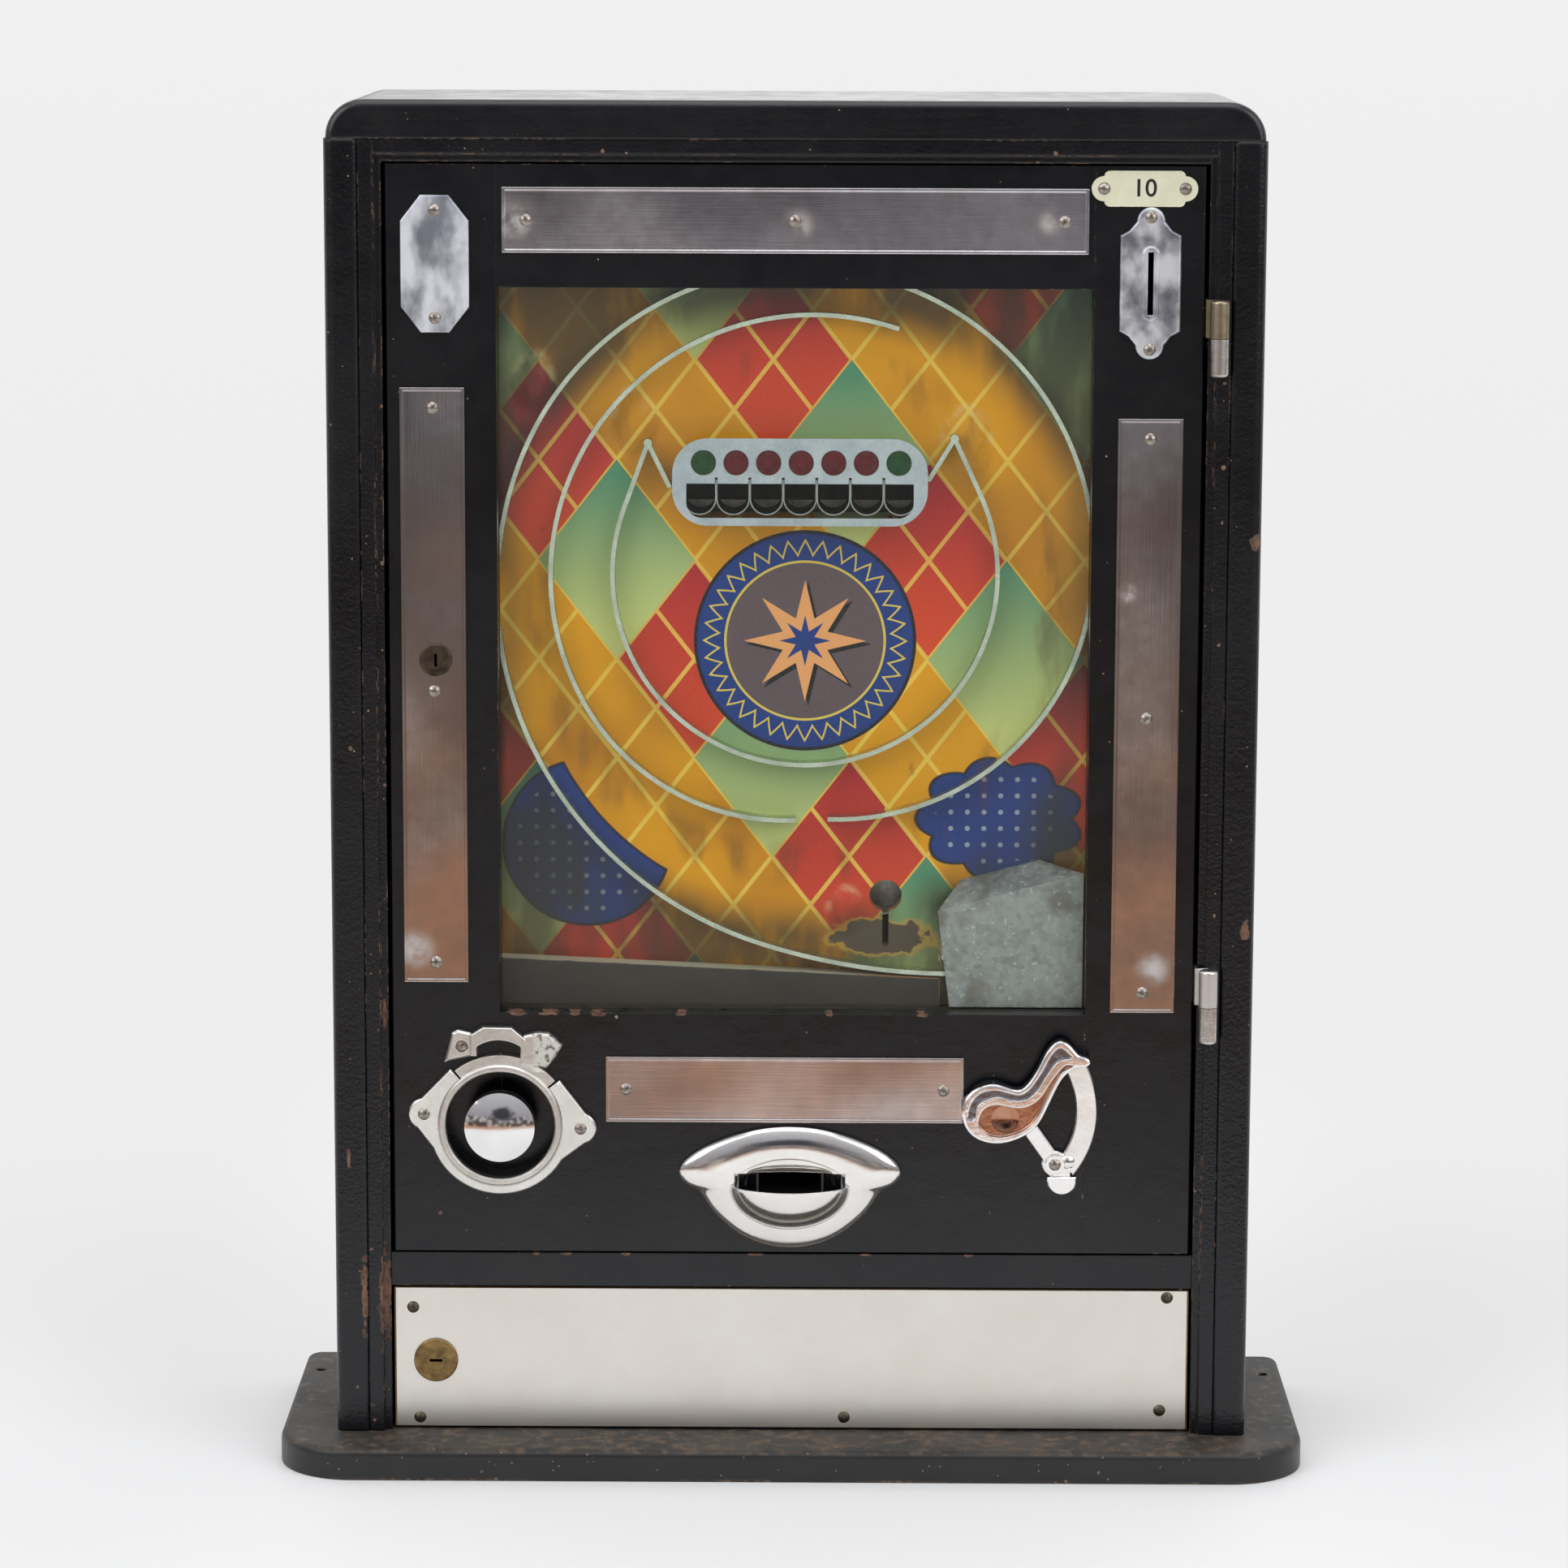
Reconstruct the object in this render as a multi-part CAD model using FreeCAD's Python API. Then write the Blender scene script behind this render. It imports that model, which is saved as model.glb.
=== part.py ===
import FreeCAD, Part
import math
import os

# A coin-operated pin game in a painted wooden case that stands on a counter.
# Millimetres. X runs across the case, Y from the player to the back, Z up.
# The origin is the middle of the base board's underside.
# The case is built round the window, and the window round the ball and the coin.

# The coin, the ball and the window
COIN_R = 15.45
COIN_T = 1.9
BALL_R = 7.94
WINDOW_W = 316.0
WINDOW_RATIO = 1.2373

# Case
SIDE_T = 18.0
TOP_T = 20.5
TOP_INSET = 1.2
TOP_CORNER_R = 20.0
TOP_EDGE_R = 4.0
SIDE_EDGE_R = 5.0
CASE_D = 159.5
BACK_T = 6.0
BACK_REBATE = 8.0
BACK_SCREW_IN = 30.0
BACK_SCREW_ROWS = 4
BASE_T = 17.2
BASE_SIDE_OVER = 31.0
BASE_FRONT_OVER = 34.5
BASE_FRONT_R = 42.0
BASE_BACK_R = 9.0
BASE_EDGE_R = 4.0
COUNTER_HOLE_R = 2.75
COUNTER_HOLE_IN = 11.0
COUNTER_HOLE_BACK = 40.0

# Bead round the door opening, in two steps
BEAD_OUTER_W = 8.0
BEAD_INNER_W = 4.0
BEAD_OUTER_SET = 1.0
BEAD_INNER_SET = 4.5
BEAD_D = 25.5

# Front door
DOOR_SET = 6.5
DOOR_T = 22.0
DOOR_GAP = 1.6
DOOR_END_GAP = 1.2
DOOR_EDGE_R = 1.5
STILE_W = 58.4
PANEL_H = 132.4
TOP_RAIL_H = 64.8
GLASS_T = 3.0
GLASS_SET = 11.0
GLASS_LAP = 6.0
GLASS_PLAY = 0.5

# Rail, shelf and cash compartment
CASH_H = 80.8
RAIL_H = 18.4
SHELF_T = 10.0
SHELF_HOLE_W = 220.0
SHELF_HOLE_D = 70.0
CASH_DOOR_T = 19.4
CASH_PLATE_T = 0.8
CASH_PLATE_EDGE = 0.8
CASH_GAP = 1.5
CASH_PIVOT_IN = 4.2
CASH_PIVOT_BACK = 2.2
CASH_PIVOT_R = 1.5
CASH_PIVOT_LONG = 6.0
CASH_SCREW_LEFT = ((10.2, 10.8), (13.6, 4.9))
CASH_SCREW_RIGHT = ((11.8, 3.6), (15.0, 10.6))
CASH_STUD_X = 29.0
CASH_STUD_UP = 2.6
CASH_BOX_SIDE_GAP = 46.5
CASH_BOX_FRONT_GAP = 14.0
CASH_BOX_BACK_GAP = 12.8
CASH_BOX_H = 60.0
CASH_BOX_T = 1.5

# Lift-off hinges: a knuckle with a pin on the case, a capped knuckle on the door
HINGE_R = 5.2
HINGE_PIN_R = 2.5
HINGE_HALF_H = 20.2
HINGE_CAP = 4.0
HINGE_LEAF_T = 1.3
HINGE_LEAF_D = 24.0
HINGE_SPLIT = 0.3
HINGE_OFF = 0.4
HINGE_IN = 5.5
HINGE_LOW_UP = 7.4
HINGE_TOP_DOWN = 24.8

# Clearances
RUN_FIT = 0.05
SEAT_FIT = 0.1
SLIDE_PLAY = 0.2

# Steel trim plates and their screws
STRIP_T = 1.6
STRIP_DISH = 0.5
STRIP_RIM = 1.6
STRIP_W = 34.4
STRIP_SCREW_IN = 10.8
TOP_STRIP_IN = 3.5
TOP_STRIP_UP = 35.6
TOP_STRIP_SCREW_IN = 12.6
SIDE_STRIP_SHORT = 70.0
LEFT_STRIP_OUT = 4.8
LEFT_STRIP_DOWN = 17.9
RIGHT_STRIP_OUT = 1.4
RIGHT_STRIP_DOWN = 33.1
LOWER_STRIP_H = 36.0
LOWER_STRIP_DOWN = 41.8
LOWER_STRIP_FROM_KNOB = 57.3
LOWER_STRIP_GAP = 1.1
EIGHT_PLATE_W = 36.2
EIGHT_PLATE_H = 72.4
EIGHT_PLATE_OUT = 2.8
EIGHT_PLATE_UP = 12.3
EIGHT_CUT_X = 10.6
EIGHT_CUT_Z = 13.6
EIGHT_SCREW_PITCH = 56.8
COIN_PLATE_UP = 3.4
COIN_PLATE_W = 32.2
COIN_PLATE_H = 80.0
COIN_PLATE_BODY_H = 50.4
COIN_PLATE_END_W = 15.0
COIN_PLATE_T = 2.4
COIN_PLATE_BEVEL = 0.8
COIN_PLATE_WAIST = 1.0
COIN_SCREW_PITCH = 69.6
COIN_SLOT_PLAY = 1.1
COIN_RIM_W = 3.0
COIN_RIM_T = 1.2
LABEL_IN = 3.6
LABEL_DOWN = 11.8
LABEL_W = 42.8
LABEL_H = 18.8
LABEL_CORNER_R = 3.0
LABEL_EAR_R = 6.6
LABEL_T = 1.2
SCREW_HEAD_R = 3.3
SCREW_HEAD_H = 1.5
SCREW_SHANK_R = 1.5
SCREW_SHANK_L = 11.0

# Payout knob and its escutcheon, whose places are measured from the knob's middle
KNOB_DOWN = 61.3
KNOB_R = 19.0
KNOB_RIM_OUT = 10.0
KNOB_DOME = 3.6
KNOB_SKIRT = 9.0
KNOB_SKIRT_WALL = 2.5
KNOB_SPINDLE_R = 5.0
KNOB_WELL_D = 14.0
RING_BORE_R = 29.5
RING_BAND_R = 33.4
RING_OUT_R = 38.6
RING_T = 4.5
RING_COLLAR_T = 6.0
RING_BEVEL = 0.9
RING_ARM_OUT = 2.2
RING_GAP_LEFT = 131.0
RING_GAP_RIGHT = 37.5
RING_GAP_PLAY = 2.0
LUG_BEVEL = 1.2
RING_EAR_SPREAD = 72.0
RING_EAR_TAIL = 28.0
EAR_LEFT = (-41.2, 6.0)
EAR_RIGHT = (43.6, -1.8)
EAR_R = 8.6
LUG_LEFT = ((-30.0, 34.6), (-25.9, 50.8), (-22.8, 52.5), (-15.5, 50.8), (-13.4, 38.4), (-23.0, 36.4))
LUG_RIGHT = ((13.0, 33.0), (13.0, 49.6), (19.0, 51.2), (26.5, 50.7), (33.9, 44.3), (30.4, 38.3), (24.9, 31.5))
LUG_RIGHT_OUT = 1.0
LUG_HOLE = (-20.5, 43.5)
LUG_HOLE_R = 3.4
LUG_HOLE_D = 2.5
LOOP_FOOT = (-16.0, 38.2)
LOOP_CREST = ((-15.7, 50.0), (-9.0, 54.2), (6.6, 54.0), (15.5, 46.4))
LOOP_END = (15.5, 34.0)
LOOP_WINDOW = ((-12.3, 30.0), (-12.3, 43.4), (-0.6, 47.0), (11.2, 43.4), (11.2, 30.0))
LOOP_OUT = 1.0

# Crank behind the knob
CRANK_TURN = 45.0
CRANK_T = 4.0
CRANK_W = 9.0
CRANK_EYE_WALL = 4.0
CRANK_PIN_R = 2.5
CRANK_PIN_LONG = 12.0
CRANK_PIN_PLAY = 0.35
CRANK_CLEAR = 2.0

# Payout cup, whose outline is measured from its own middle and mirrored
PAYOUT_X = -1.0
CUP_UP = 43.5
CUP_OUTLINE = ((60.3, 2.5), (56.0, 9.0), (40.0, 18.6), (20.0, 25.2), (0.0, 27.2))
CUP_OUTLINE_LOW = ((0.0, -41.0), (22.0, -36.2), (35.6, -26.6), (45.2, -15.4), (50.6, -8.0), (57.6, -3.8))
CUP_FLANGE_T = 2.2
CUP_SWELL = 6.8
CUP_SHRINK = 0.5
CUP_STEPS = 5
CUP_BOWL_W = 34.7
CUP_BOWL_R = 25.5
CUP_LIP_Z = -4.5
CUP_WALL = 2.2
CUP_MOUTH_Z = 2.3
CUP_MOUTH_W = 60.0
CUP_SCOOP_W = 23.0
CUP_SCOOP_R = 5.0
CUP_BACK_W = 56.0

# Shooter lever and its quadrant, measured from the lever's axis
LEVER_FROM_BALL = 21.9
LEVER_DOWN = 51.9
LEVER_OUTLINE = ((-16.6, 0.0), (-11.7, 11.7), (0.0, 16.6), (8.0, 14.8), (14.5, 13.6), (20.0, 18.4),
                 (25.0, 27.0), (29.3, 35.2), (36.0, 40.4), (42.5, 37.0), (46.6, 32.6), (50.6, 31.1),
                 (52.7, 28.6), (50.6, 26.1), (45.6, 25.4), (39.5, 21.8), (34.0, 13.0), (29.0, 2.0),
                 (23.0, -8.0), (14.0, -14.0), (0.0, -16.6), (-11.7, -11.7))
LEVER_T = 8.0
LEVER_RIM = 1.5
LEVER_GROOVE = ((-13.2, -3.5), (-12.2, 4.4), (-8.0, 10.4), (-0.6, 13.2), (7.6, 12.0), (15.2, 10.8),
                (22.2, 16.9), (27.4, 25.5), (31.6, 33.1), (36.0, 36.7), (40.2, 34.3), (42.6, 31.4),
                (37.4, 30.0), (32.2, 25.8), (27.6, 19.0), (23.2, 11.8), (17.6, 8.0), (10.4, 7.6),
                (3.2, 9.4), (-4.0, 7.4), (-8.8, 2.4), (-10.6, -3.5))
LEVER_GROOVE_D = 2.6
LEVER_HOLLOW = ((-7.4, -5.4), (-6.2, 0.8), (-1.6, 4.6), (4.0, 5.2), (10.8, 3.8), (18.8, 4.4),
                (25.4, 9.0), (30.4, 16.8), (35.4, 23.6), (41.0, 27.4), (43.0, 26.8), (39.2, 24.4),
                (35.6, 20.4), (31.6, 13.4), (26.6, 2.8), (21.0, -6.2), (12.8, -11.2), (2.0, -13.0),
                (-4.4, -10.6))
LEVER_HOLLOW_D = 3.6
LEVER_SLOPE = 0.5
LEVER_DISH_AT = (7.0, -3.6)
LEVER_DISH_R = 7.4
LEVER_DISH_D = 1.2
LEVER_SHAFT_R = 4.0
LEVER_SHAFT_GRIP = 2.0
LEVER_TURN = 56.0
QUAD_IN_R = 45.4
QUAD_OUT_R = 57.0
QUAD_T = 5.0
QUAD_TOP = 31.0
QUAD_LOW = -39.0
QUAD_ARM_W = 8.6
QUAD_BASE_R = 14.4
QUAD_ARM_START = (12.7, 1.1)
QUAD_BOSS_R = 7.2
QUAD_BOSS_ANGLE = -40.7
QUAD_COLLAR_R = 5.2
QUAD_COLLAR_OUT = 1.5
QUAD_KNOB_AT = (41.1, -28.5)
QUAD_KNOB_R = 3.8
QUAD_BEVEL = 0.8
QUAD_BOSS_AT = 45.2
STOP_AT = (38.1, -36.5)
STOP_R = 7.8
STOP_H = 10.0
STOP_NECK_W = 9.0

# Hammer and its torsion spring
HAMMER_ARM_T = 5.0
HAMMER_ARM_W = 8.0
HAMMER_HEAD_L = 9.0
HAMMER_HEAD_H = 11.0
HAMMER_HEAD_T = 8.0
HAMMER_HEAD_BACK = 0.6
HAMMER_HUB_R = 9.0
HAMMER_HUB_T = 8.0
HAMMER_GAP = 0.4
BUSH_WALL = 3.0
SPRING_IN_R = 4.8
SPRING_WIRE = 1.6
SPRING_LONG = 9.6
SPRING_LEG = 30.0
SPRING_HOOK = 3.0
SPRING_PIN_R = 1.5
SPRING_PIN_IN = 8.0
SHAFT_END = 2.0

# Playfield board
BALL_PLAY = 0.25
FIELD_SET = 12.0
FIELD_T = 12.0
FIELD_OVER = 20.0
FIELD_UNDER = 22.0
FIELD_ABOVE = 27.0
PRINT_T = 0.8
BATTEN_W = 13.0
BATTEN_IN = 1.0
RIGHT_BATTEN_UP = 80.0
RAIL_T = 2.4
RAIL_OUT = 10.5

# Layout of the rails: middles are measured from the window's centre line and sill
OUTER_START_RATIO = (0.2731, 1.1278)
OUTER_RADIUS_RATIOS = (1.0709, 0.6544, 0.6241, 0.5108, 0.4953, 0.4332)
OUTER_ANGLES = (271.5, 252.0, 210.2, 159.8, 84.9, -11.3, -92.0)
SECOND_START_RATIO = (0.0323, 0.7421)
SECOND_RADIUS_RATIOS = (0.4462, 0.3911)
SECOND_ANGLES = (71.3, 210.0, 272.8)
INNER_START_RATIO = (0.0184, 0.7468)
INNER_RADIUS_RATIO = 0.3272
INNER_ANGLES = (160.0, 385.0)
INNER_RISE_RATIOS = (0.119, 0.1044)
BALL_HOLE_RATIO = (0.1595, 0.187)
BALL_HOLE_PLAY = 0.86
KEY_SLOT_W = 3.4
KEY_SLOT_DOWN = 28.0
CUP_ROW_RATIO = (0.0095, 0.8797)

# Row of cups with its plate and lenses, measured from the row's middle
CUP_COUNT = 7
CUP_SPACING = 2.0
CUP_BORE_PLAY = 0.36
CUP_SHEET = 0.7
CUP_SIDE_H = 10.0
CUP_BEHIND = 1.0
PLATE_T = 1.2
PLATE_GLASS_GAP = 0.5
PLATE_END = 11.3
PLATE_DOWN = 14.6
PLATE_UP = 32.2
PLATE_CORNER_R = 19.0
PLATE_SLOT_IN = 7.5
PLATE_SLOT_DOWN = 10.4
PLATE_SLOT_UP = 8.0
PLATE_SLOT_CORNER_R = 0.5
PLATE_WALL_T = 1.2
LENS_UP = 19.2
LENS_SHIFT = 0.6
LENS_CLOSER = 0.5
LENS_R = 6.7
LENS_LIP = 0.7
LENS_LIP_T = 0.6
LENS_SUNK = 0.2
PILLAR_R = 1.2
PILLARS = ((-62.7, 18.1), (63.3, 18.1), (-26.8, 26.8), (26.9, 26.8))
NOTCH_W = 1.6
NOTCH_H = 3.4
LEG_GAPS = (1.5, 0.4)
LEG_ENDS = (-3.0, 1.0)
APEX_R = 2.2

# Folded sheet cover over the hammer, and the gutter batten beside it
COVER_T = 1.0
COVER_GLASS_GAP = 1.5
COVER_LEFT = 8.0
COVER_LEFT_FOOT = 1.3
COVER_RISE = 26.8
COVER_SLOPE = 0.264
COVER_EDGE_GAP = 0.8
COVER_SILL_GAP = 1.0
COVER_ROOF_RISE = 10.6
COVER_ROOF_IN_LEFT = 13.0
COVER_ROOF_IN_RIGHT = 23.4
GUTTER_END = 6.3
GUTTER_RISE_RATIO = 0.0842
GUTTER_GAP = 1.2

# Coin path behind the door
SHEET_T = 1.2
COIN_PLAY = 0.5
LANE_SET = 42.0
CHUTE_SIDE_PLAY = 1.35
CHUTE_BEND_FRONT = 40.0
CHUTE_BEND_BACK = 30.0
CHUTE_FOOT_UP = 175.0
CHUTE_DROP = 1.5
RUNWAY_END_UP = 82.0
RUNWAY_WALL = 12.0
RUNWAY_TAB_W = 12.0
RUNWAY_TAB_AT = (20.0, 166.0)
SLIDE_DOWN = 45.0
SLIDE_T = 2.2
SLIDE_RIM = 4.05
SLIDE_ARM_W = 6.0
SLIDE_LINK_W = 14.0
SLIDE_LUG_W = 16.0
SLIDE_LUG_T = 3.0
SLIDE_LUG_GAP = 1.5
SLIDE_END = 6.0
DROP_SPACING = 3.3
GUIDE_W = 3.0
GUIDE_END = 4.0
BRACKET_T = 2.0
BRACKET_LEFT = 30.0
BRACKET_RIGHT = 24.0
BRACKET_FOLD = 18.0
PAYOUT_W = 34.0
PAYOUT_DROP = 16.8
PAYOUT_FLOOR_DOWN = 11.1
PAYOUT_HEADROOM = 15.0
PAYOUT_BEND = 4.0
PAYOUT_EASE = 0.6

# Ball return behind the board
RETURN_W = 18.0
RETURN_DOWN = 22.0
RETURN_FALL = 18.0
RETURN_WALL_H = 16.0
RETURN_END = 3.0
RETURN_DROP = 21.6
RETURN_ROOF = 6.0
RETURN_FOOT = 4.0

# Locks
LOCK_OUT = 3.8
LOCK_UP = 15.0
LOCK_HEAD_R = 8.8
LOCK_HEAD_T = 1.8
LOCK_BODY_R = 8.0
LOCK_PLUG_R = 5.8
LOCK_PLUG_SUNK = 0.3
LOCK_KEYWAY = (1.6, 7.0)
CASH_KEYWAY = (7.0, 1.6)
LOCK_KEYWAY_D = 12.0
LOCK_CAM_W = 11.0
LOCK_CAM_T = 2.0
LOCK_CAM_LONG = 36.0
LOCK_SCREW_DOWN = 16.8
CASH_LOCK_IN = 22.5
CASH_LOCK_UP = 38.8
CASH_LOCK_HEAD_R = 12.0
CASH_CAM_LONG = 33.0

# Widths worked out from the window
X_WINDOW = WINDOW_W / 2
X_STILE = X_WINDOW + STILE_W / 2
X_DOOR = X_WINDOW + STILE_W
X_BEAD_IN = X_DOOR + DOOR_GAP
X_BEAD_MID = X_BEAD_IN + BEAD_INNER_W
X_SIDE_IN = X_BEAD_MID + BEAD_OUTER_W
X_CASE = X_SIDE_IN + SIDE_T
X_CASH = X_BEAD_IN - CASH_GAP
X_FIELD = X_WINDOW + FIELD_OVER
BASE_W = 2 * (X_CASE + BASE_SIDE_OVER)
BASE_D = CASE_D + BASE_FRONT_OVER

# Heights, from the base board up
WINDOW_H = WINDOW_W * WINDOW_RATIO
Z_RAIL = BASE_T + CASH_H
Z_RAIL_TOP = Z_RAIL + RAIL_H
Z_DOOR_LOW = Z_RAIL_TOP + DOOR_END_GAP
Z_SILL = Z_DOOR_LOW + PANEL_H
Z_WINDOW_TOP = Z_SILL + WINDOW_H
Z_WINDOW_MID = Z_SILL + WINDOW_H / 2
Z_DOOR_TOP = Z_WINDOW_TOP + TOP_RAIL_H
Z_BEAD_IN = Z_DOOR_TOP + DOOR_END_GAP
Z_BEAD_MID = Z_BEAD_IN + BEAD_INNER_W
Z_SIDE_TOP = Z_BEAD_MID + BEAD_OUTER_W
Z_CASH_LOW = BASE_T + CASH_GAP
Z_CASH_TOP = Z_RAIL - CASH_GAP
Z_FIELD_LOW = Z_SILL - FIELD_UNDER
Z_FIELD_TOP = Z_WINDOW_TOP + FIELD_ABOVE

# Depths, from the front back
Y_BACK = BASE_D / 2
Y_FRONT = Y_BACK - CASE_D
Y_BEAD_OUTER = Y_FRONT + BEAD_OUTER_SET
Y_BEAD_INNER = Y_FRONT + BEAD_INNER_SET
Y_BEAD_BACK = Y_BEAD_OUTER + BEAD_D
Y_DOOR = Y_FRONT + DOOR_SET
Y_DOOR_BACK = Y_DOOR + DOOR_T
Y_GLASS = Y_DOOR + GLASS_SET
Y_GLASS_BACK = Y_GLASS + GLASS_T
Y_FIELD = Y_DOOR_BACK + FIELD_SET
Y_FIELD_BACK = Y_FIELD + FIELD_T
Y_PRINT = Y_FIELD - PRINT_T
Y_RAIL = Y_PRINT - RAIL_OUT
Y_BALL = Y_PRINT - BALL_PLAY - BALL_R
Y_PLATE = Y_GLASS_BACK + PLATE_GLASS_GAP
Y_PLATE_BACK = Y_PLATE + PLATE_T
Y_COVER = Y_GLASS_BACK + COVER_GLASS_GAP
Y_STRIP = Y_DOOR - STRIP_T
Y_SCREW = Y_STRIP + STRIP_DISH
Y_LEVER_BACK = Y_DOOR - QUAD_T - SLIDE_PLAY
Y_BUSH_BACK = Y_DOOR_BACK + BUSH_WALL
Y_HAMMER = Y_BUSH_BACK + SLIDE_PLAY
Y_SPRING = Y_HAMMER + HAMMER_HUB_T + SLIDE_PLAY
Y_CRANK = Y_FIELD_BACK + CRANK_CLEAR
Y_LANE = Y_FIELD_BACK + LANE_SET
Y_CASH_PANEL = Y_DOOR + CASH_PLATE_T
Y_CASH_BACK = Y_CASH_PANEL + CASH_DOOR_T
Y_CASH_BOX = Y_CASH_BACK + CASH_BOX_FRONT_GAP
Y_CASH_BOX_BACK = Y_BACK - BACK_T - CASH_BOX_BACK_GAP

# Places on the door
HINGE_X = X_BEAD_IN + HINGE_IN
HINGE_Y = Y_BEAD_OUTER - HINGE_R - HINGE_OFF
HINGE_HEIGHTS = (Z_SILL + HINGE_LOW_UP, Z_WINDOW_TOP - HINGE_TOP_DOWN)
CASH_PIVOT_X = X_CASH - CASH_PIVOT_IN
CASH_PIVOT_Y = Y_CASH_PANEL + CASH_PIVOT_BACK
LOCK_X = -(X_STILE + LOCK_OUT)
LOCK_Z = Z_WINDOW_MID - LEFT_STRIP_DOWN + LOCK_UP
CASH_LOCK_X = -(X_CASH - CASH_LOCK_IN)
CASH_LOCK_Z = BASE_T + CASH_LOCK_UP
KNOB_X = -X_WINDOW
KNOB_Z = Z_SILL - KNOB_DOWN
CUP_Z = Z_DOOR_LOW + CUP_UP
CUP_MIDDLE = (CUP_OUTLINE[-1][1] + CUP_OUTLINE_LOW[0][1]) / 2
SIDE_STRIP_L = WINDOW_H - SIDE_STRIP_SHORT
COIN_SLOT_W = COIN_T + COIN_SLOT_PLAY
COIN_SLOT_H = 2 * (COIN_R + COIN_SLOT_PLAY)
COIN_PLATE_Z = Z_WINDOW_TOP + COIN_PLATE_UP

# The layout grows and shrinks with the window


def laid_out(x, z):
    return (x * WINDOW_W, Z_SILL + z * WINDOW_W)


OUTER_CENTRE = laid_out(*OUTER_START_RATIO)
SECOND_CENTRE = laid_out(*SECOND_START_RATIO)
INNER_CENTRE = laid_out(*INNER_START_RATIO)
INNER_R = INNER_RADIUS_RATIO * WINDOW_W
BALL_HOLE_X, BALL_HOLE_Z = laid_out(*BALL_HOLE_RATIO)
BALL_HOLE_R = BALL_R + BALL_HOLE_PLAY
BALL_ARC_R = OUTER_RADIUS_RATIOS[0] * WINDOW_W - RAIL_T / 2 - BALL_PLAY - BALL_R
BALL_X = OUTER_CENTRE[0]
BALL_Z = OUTER_CENTRE[1] - BALL_ARC_R
HAMMER_FACE_X = BALL_X + BALL_R + HAMMER_GAP
LEVER_X = BALL_X + LEVER_FROM_BALL
LEVER_Z = Z_SILL - LEVER_DOWN
CUP_ROW_X, CUP_ROW_Z = laid_out(*CUP_ROW_RATIO)
CUP_PITCH = 2 * BALL_R + CUP_SPACING
CUP_BORE_R = BALL_R + CUP_BORE_PLAY
CUP_ROW_W = CUP_COUNT * CUP_PITCH
PLATE_W = CUP_ROW_W + PLATE_END
PLATE_SLOT_TOP = CUP_ROW_Z + PLATE_SLOT_UP
LENS_Z = CUP_ROW_Z + LENS_UP

# The slide moves a coin from under the tube to over the drop
TUBE_R = COIN_R + COIN_PLAY
SLIDE_TRAVEL = 2 * TUBE_R + DROP_SPACING
CRANK_R = SLIDE_TRAVEL / (2 * math.sin(math.radians(CRANK_TURN / 2)))
TUBE_X = PAYOUT_X - SLIDE_TRAVEL
SLIDE_W = 2 * (TUBE_R + SLIDE_RIM)
SLIDE_Z = Z_SILL - SLIDE_DOWN
SLIDE_TOP = SLIDE_Z + SLIDE_T
GUIDE_OUT = SLIDE_W / 2 + GUIDE_W
Z_RUNWAY_END = Z_SILL + RUNWAY_END_UP
Z_CHUTE_FOOT = Z_SILL + CHUTE_FOOT_UP
PAYOUT_FLOOR = CUP_Z - PAYOUT_FLOOR_DOWN

V = FreeCAD.Vector
ALONG_X = V(1, 0, 0)
ALONG_Y = V(0, 1, 0)
ALONG_Z = V(0, 0, 1)
OVER = 1.0


def box(x0, x1, y0, y1, z0, z1):
    return Part.makeBox(x1 - x0, y1 - y0, z1 - z0, V(x0, y0, z0))


def rod_y(x, z, radius, y0, y1):
    return Part.makeCylinder(radius, y1 - y0, V(x, y0, z), ALONG_Y)


def rod_z(x, y, radius, z0, z1):
    return Part.makeCylinder(radius, z1 - z0, V(x, y, z0), ALONG_Z)


def tube_y(x, z, r_out, r_in, y0, y1):
    return rod_y(x, z, r_out, y0, y1).cut(rod_y(x, z, r_in, y0 - OVER, y1 + OVER))


def face_of(place, start, steps):
    """A flat face. Each step is a point, or a pair of points that an arc runs through."""
    here = place(*start)
    edges = []
    for step in list(steps) + [start]:
        if isinstance(step[0], tuple):
            there = place(*step[1])
            edges.append(Part.Arc(here, place(*step[0]), there).toShape())
        else:
            there = place(*step)
            if here.distanceToPoint(there) > 1e-6:
                edges.append(Part.LineSegment(here, there).toShape())
        here = there
    return Part.Face(Part.Wire(edges))


def prism_y(start, steps, y0, y1):
    return face_of(lambda x, z: V(x, y0, z), start, steps).extrude(V(0, y1 - y0, 0))


def prism_x(start, steps, x0, x1):
    return face_of(lambda y, z: V(x0, y, z), start, steps).extrude(V(x1 - x0, 0, 0))


def prism_z(start, steps, z0, z1):
    return face_of(lambda x, y: V(x, y, z0), start, steps).extrude(V(0, 0, z1 - z0))


def moved(points, x, z):
    return [(x + px, z + pz) for px, pz in points]


def on_circle(centre, radius, degrees):
    turn = math.radians(degrees)
    return (centre[0] + radius * math.cos(turn), centre[1] + radius * math.sin(turn))


def rounded(a0, a1, b0, b1, radii):
    """A rectangle with a radius at each corner, from the low corner round: its start and steps."""
    r1, r2, r3, r4 = radii
    k = 1 - math.sqrt(0.5)
    start = (a0 + r1, b0)
    steps = [(a1 - r2, b0), ((a1 - k * r2, b0 + k * r2), (a1, b0 + r2))]
    steps += [(a1, b1 - r3), ((a1 - k * r3, b1 - k * r3), (a1 - r3, b1))]
    steps += [(a0 + r4, b1), ((a0 + k * r4, b1 - k * r4), (a0, b1 - r4))]
    steps += [(a0, b0 + r1), ((a0 + k * r1, b0 + k * r1), start)]
    return start, steps


def edges_where(shape, test):
    return [edge for edge in shape.Edges if test(edge.BoundBox)]


def soften(shape, radius, test):
    return shape.makeFillet(radius, edges_where(shape, test))


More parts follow.
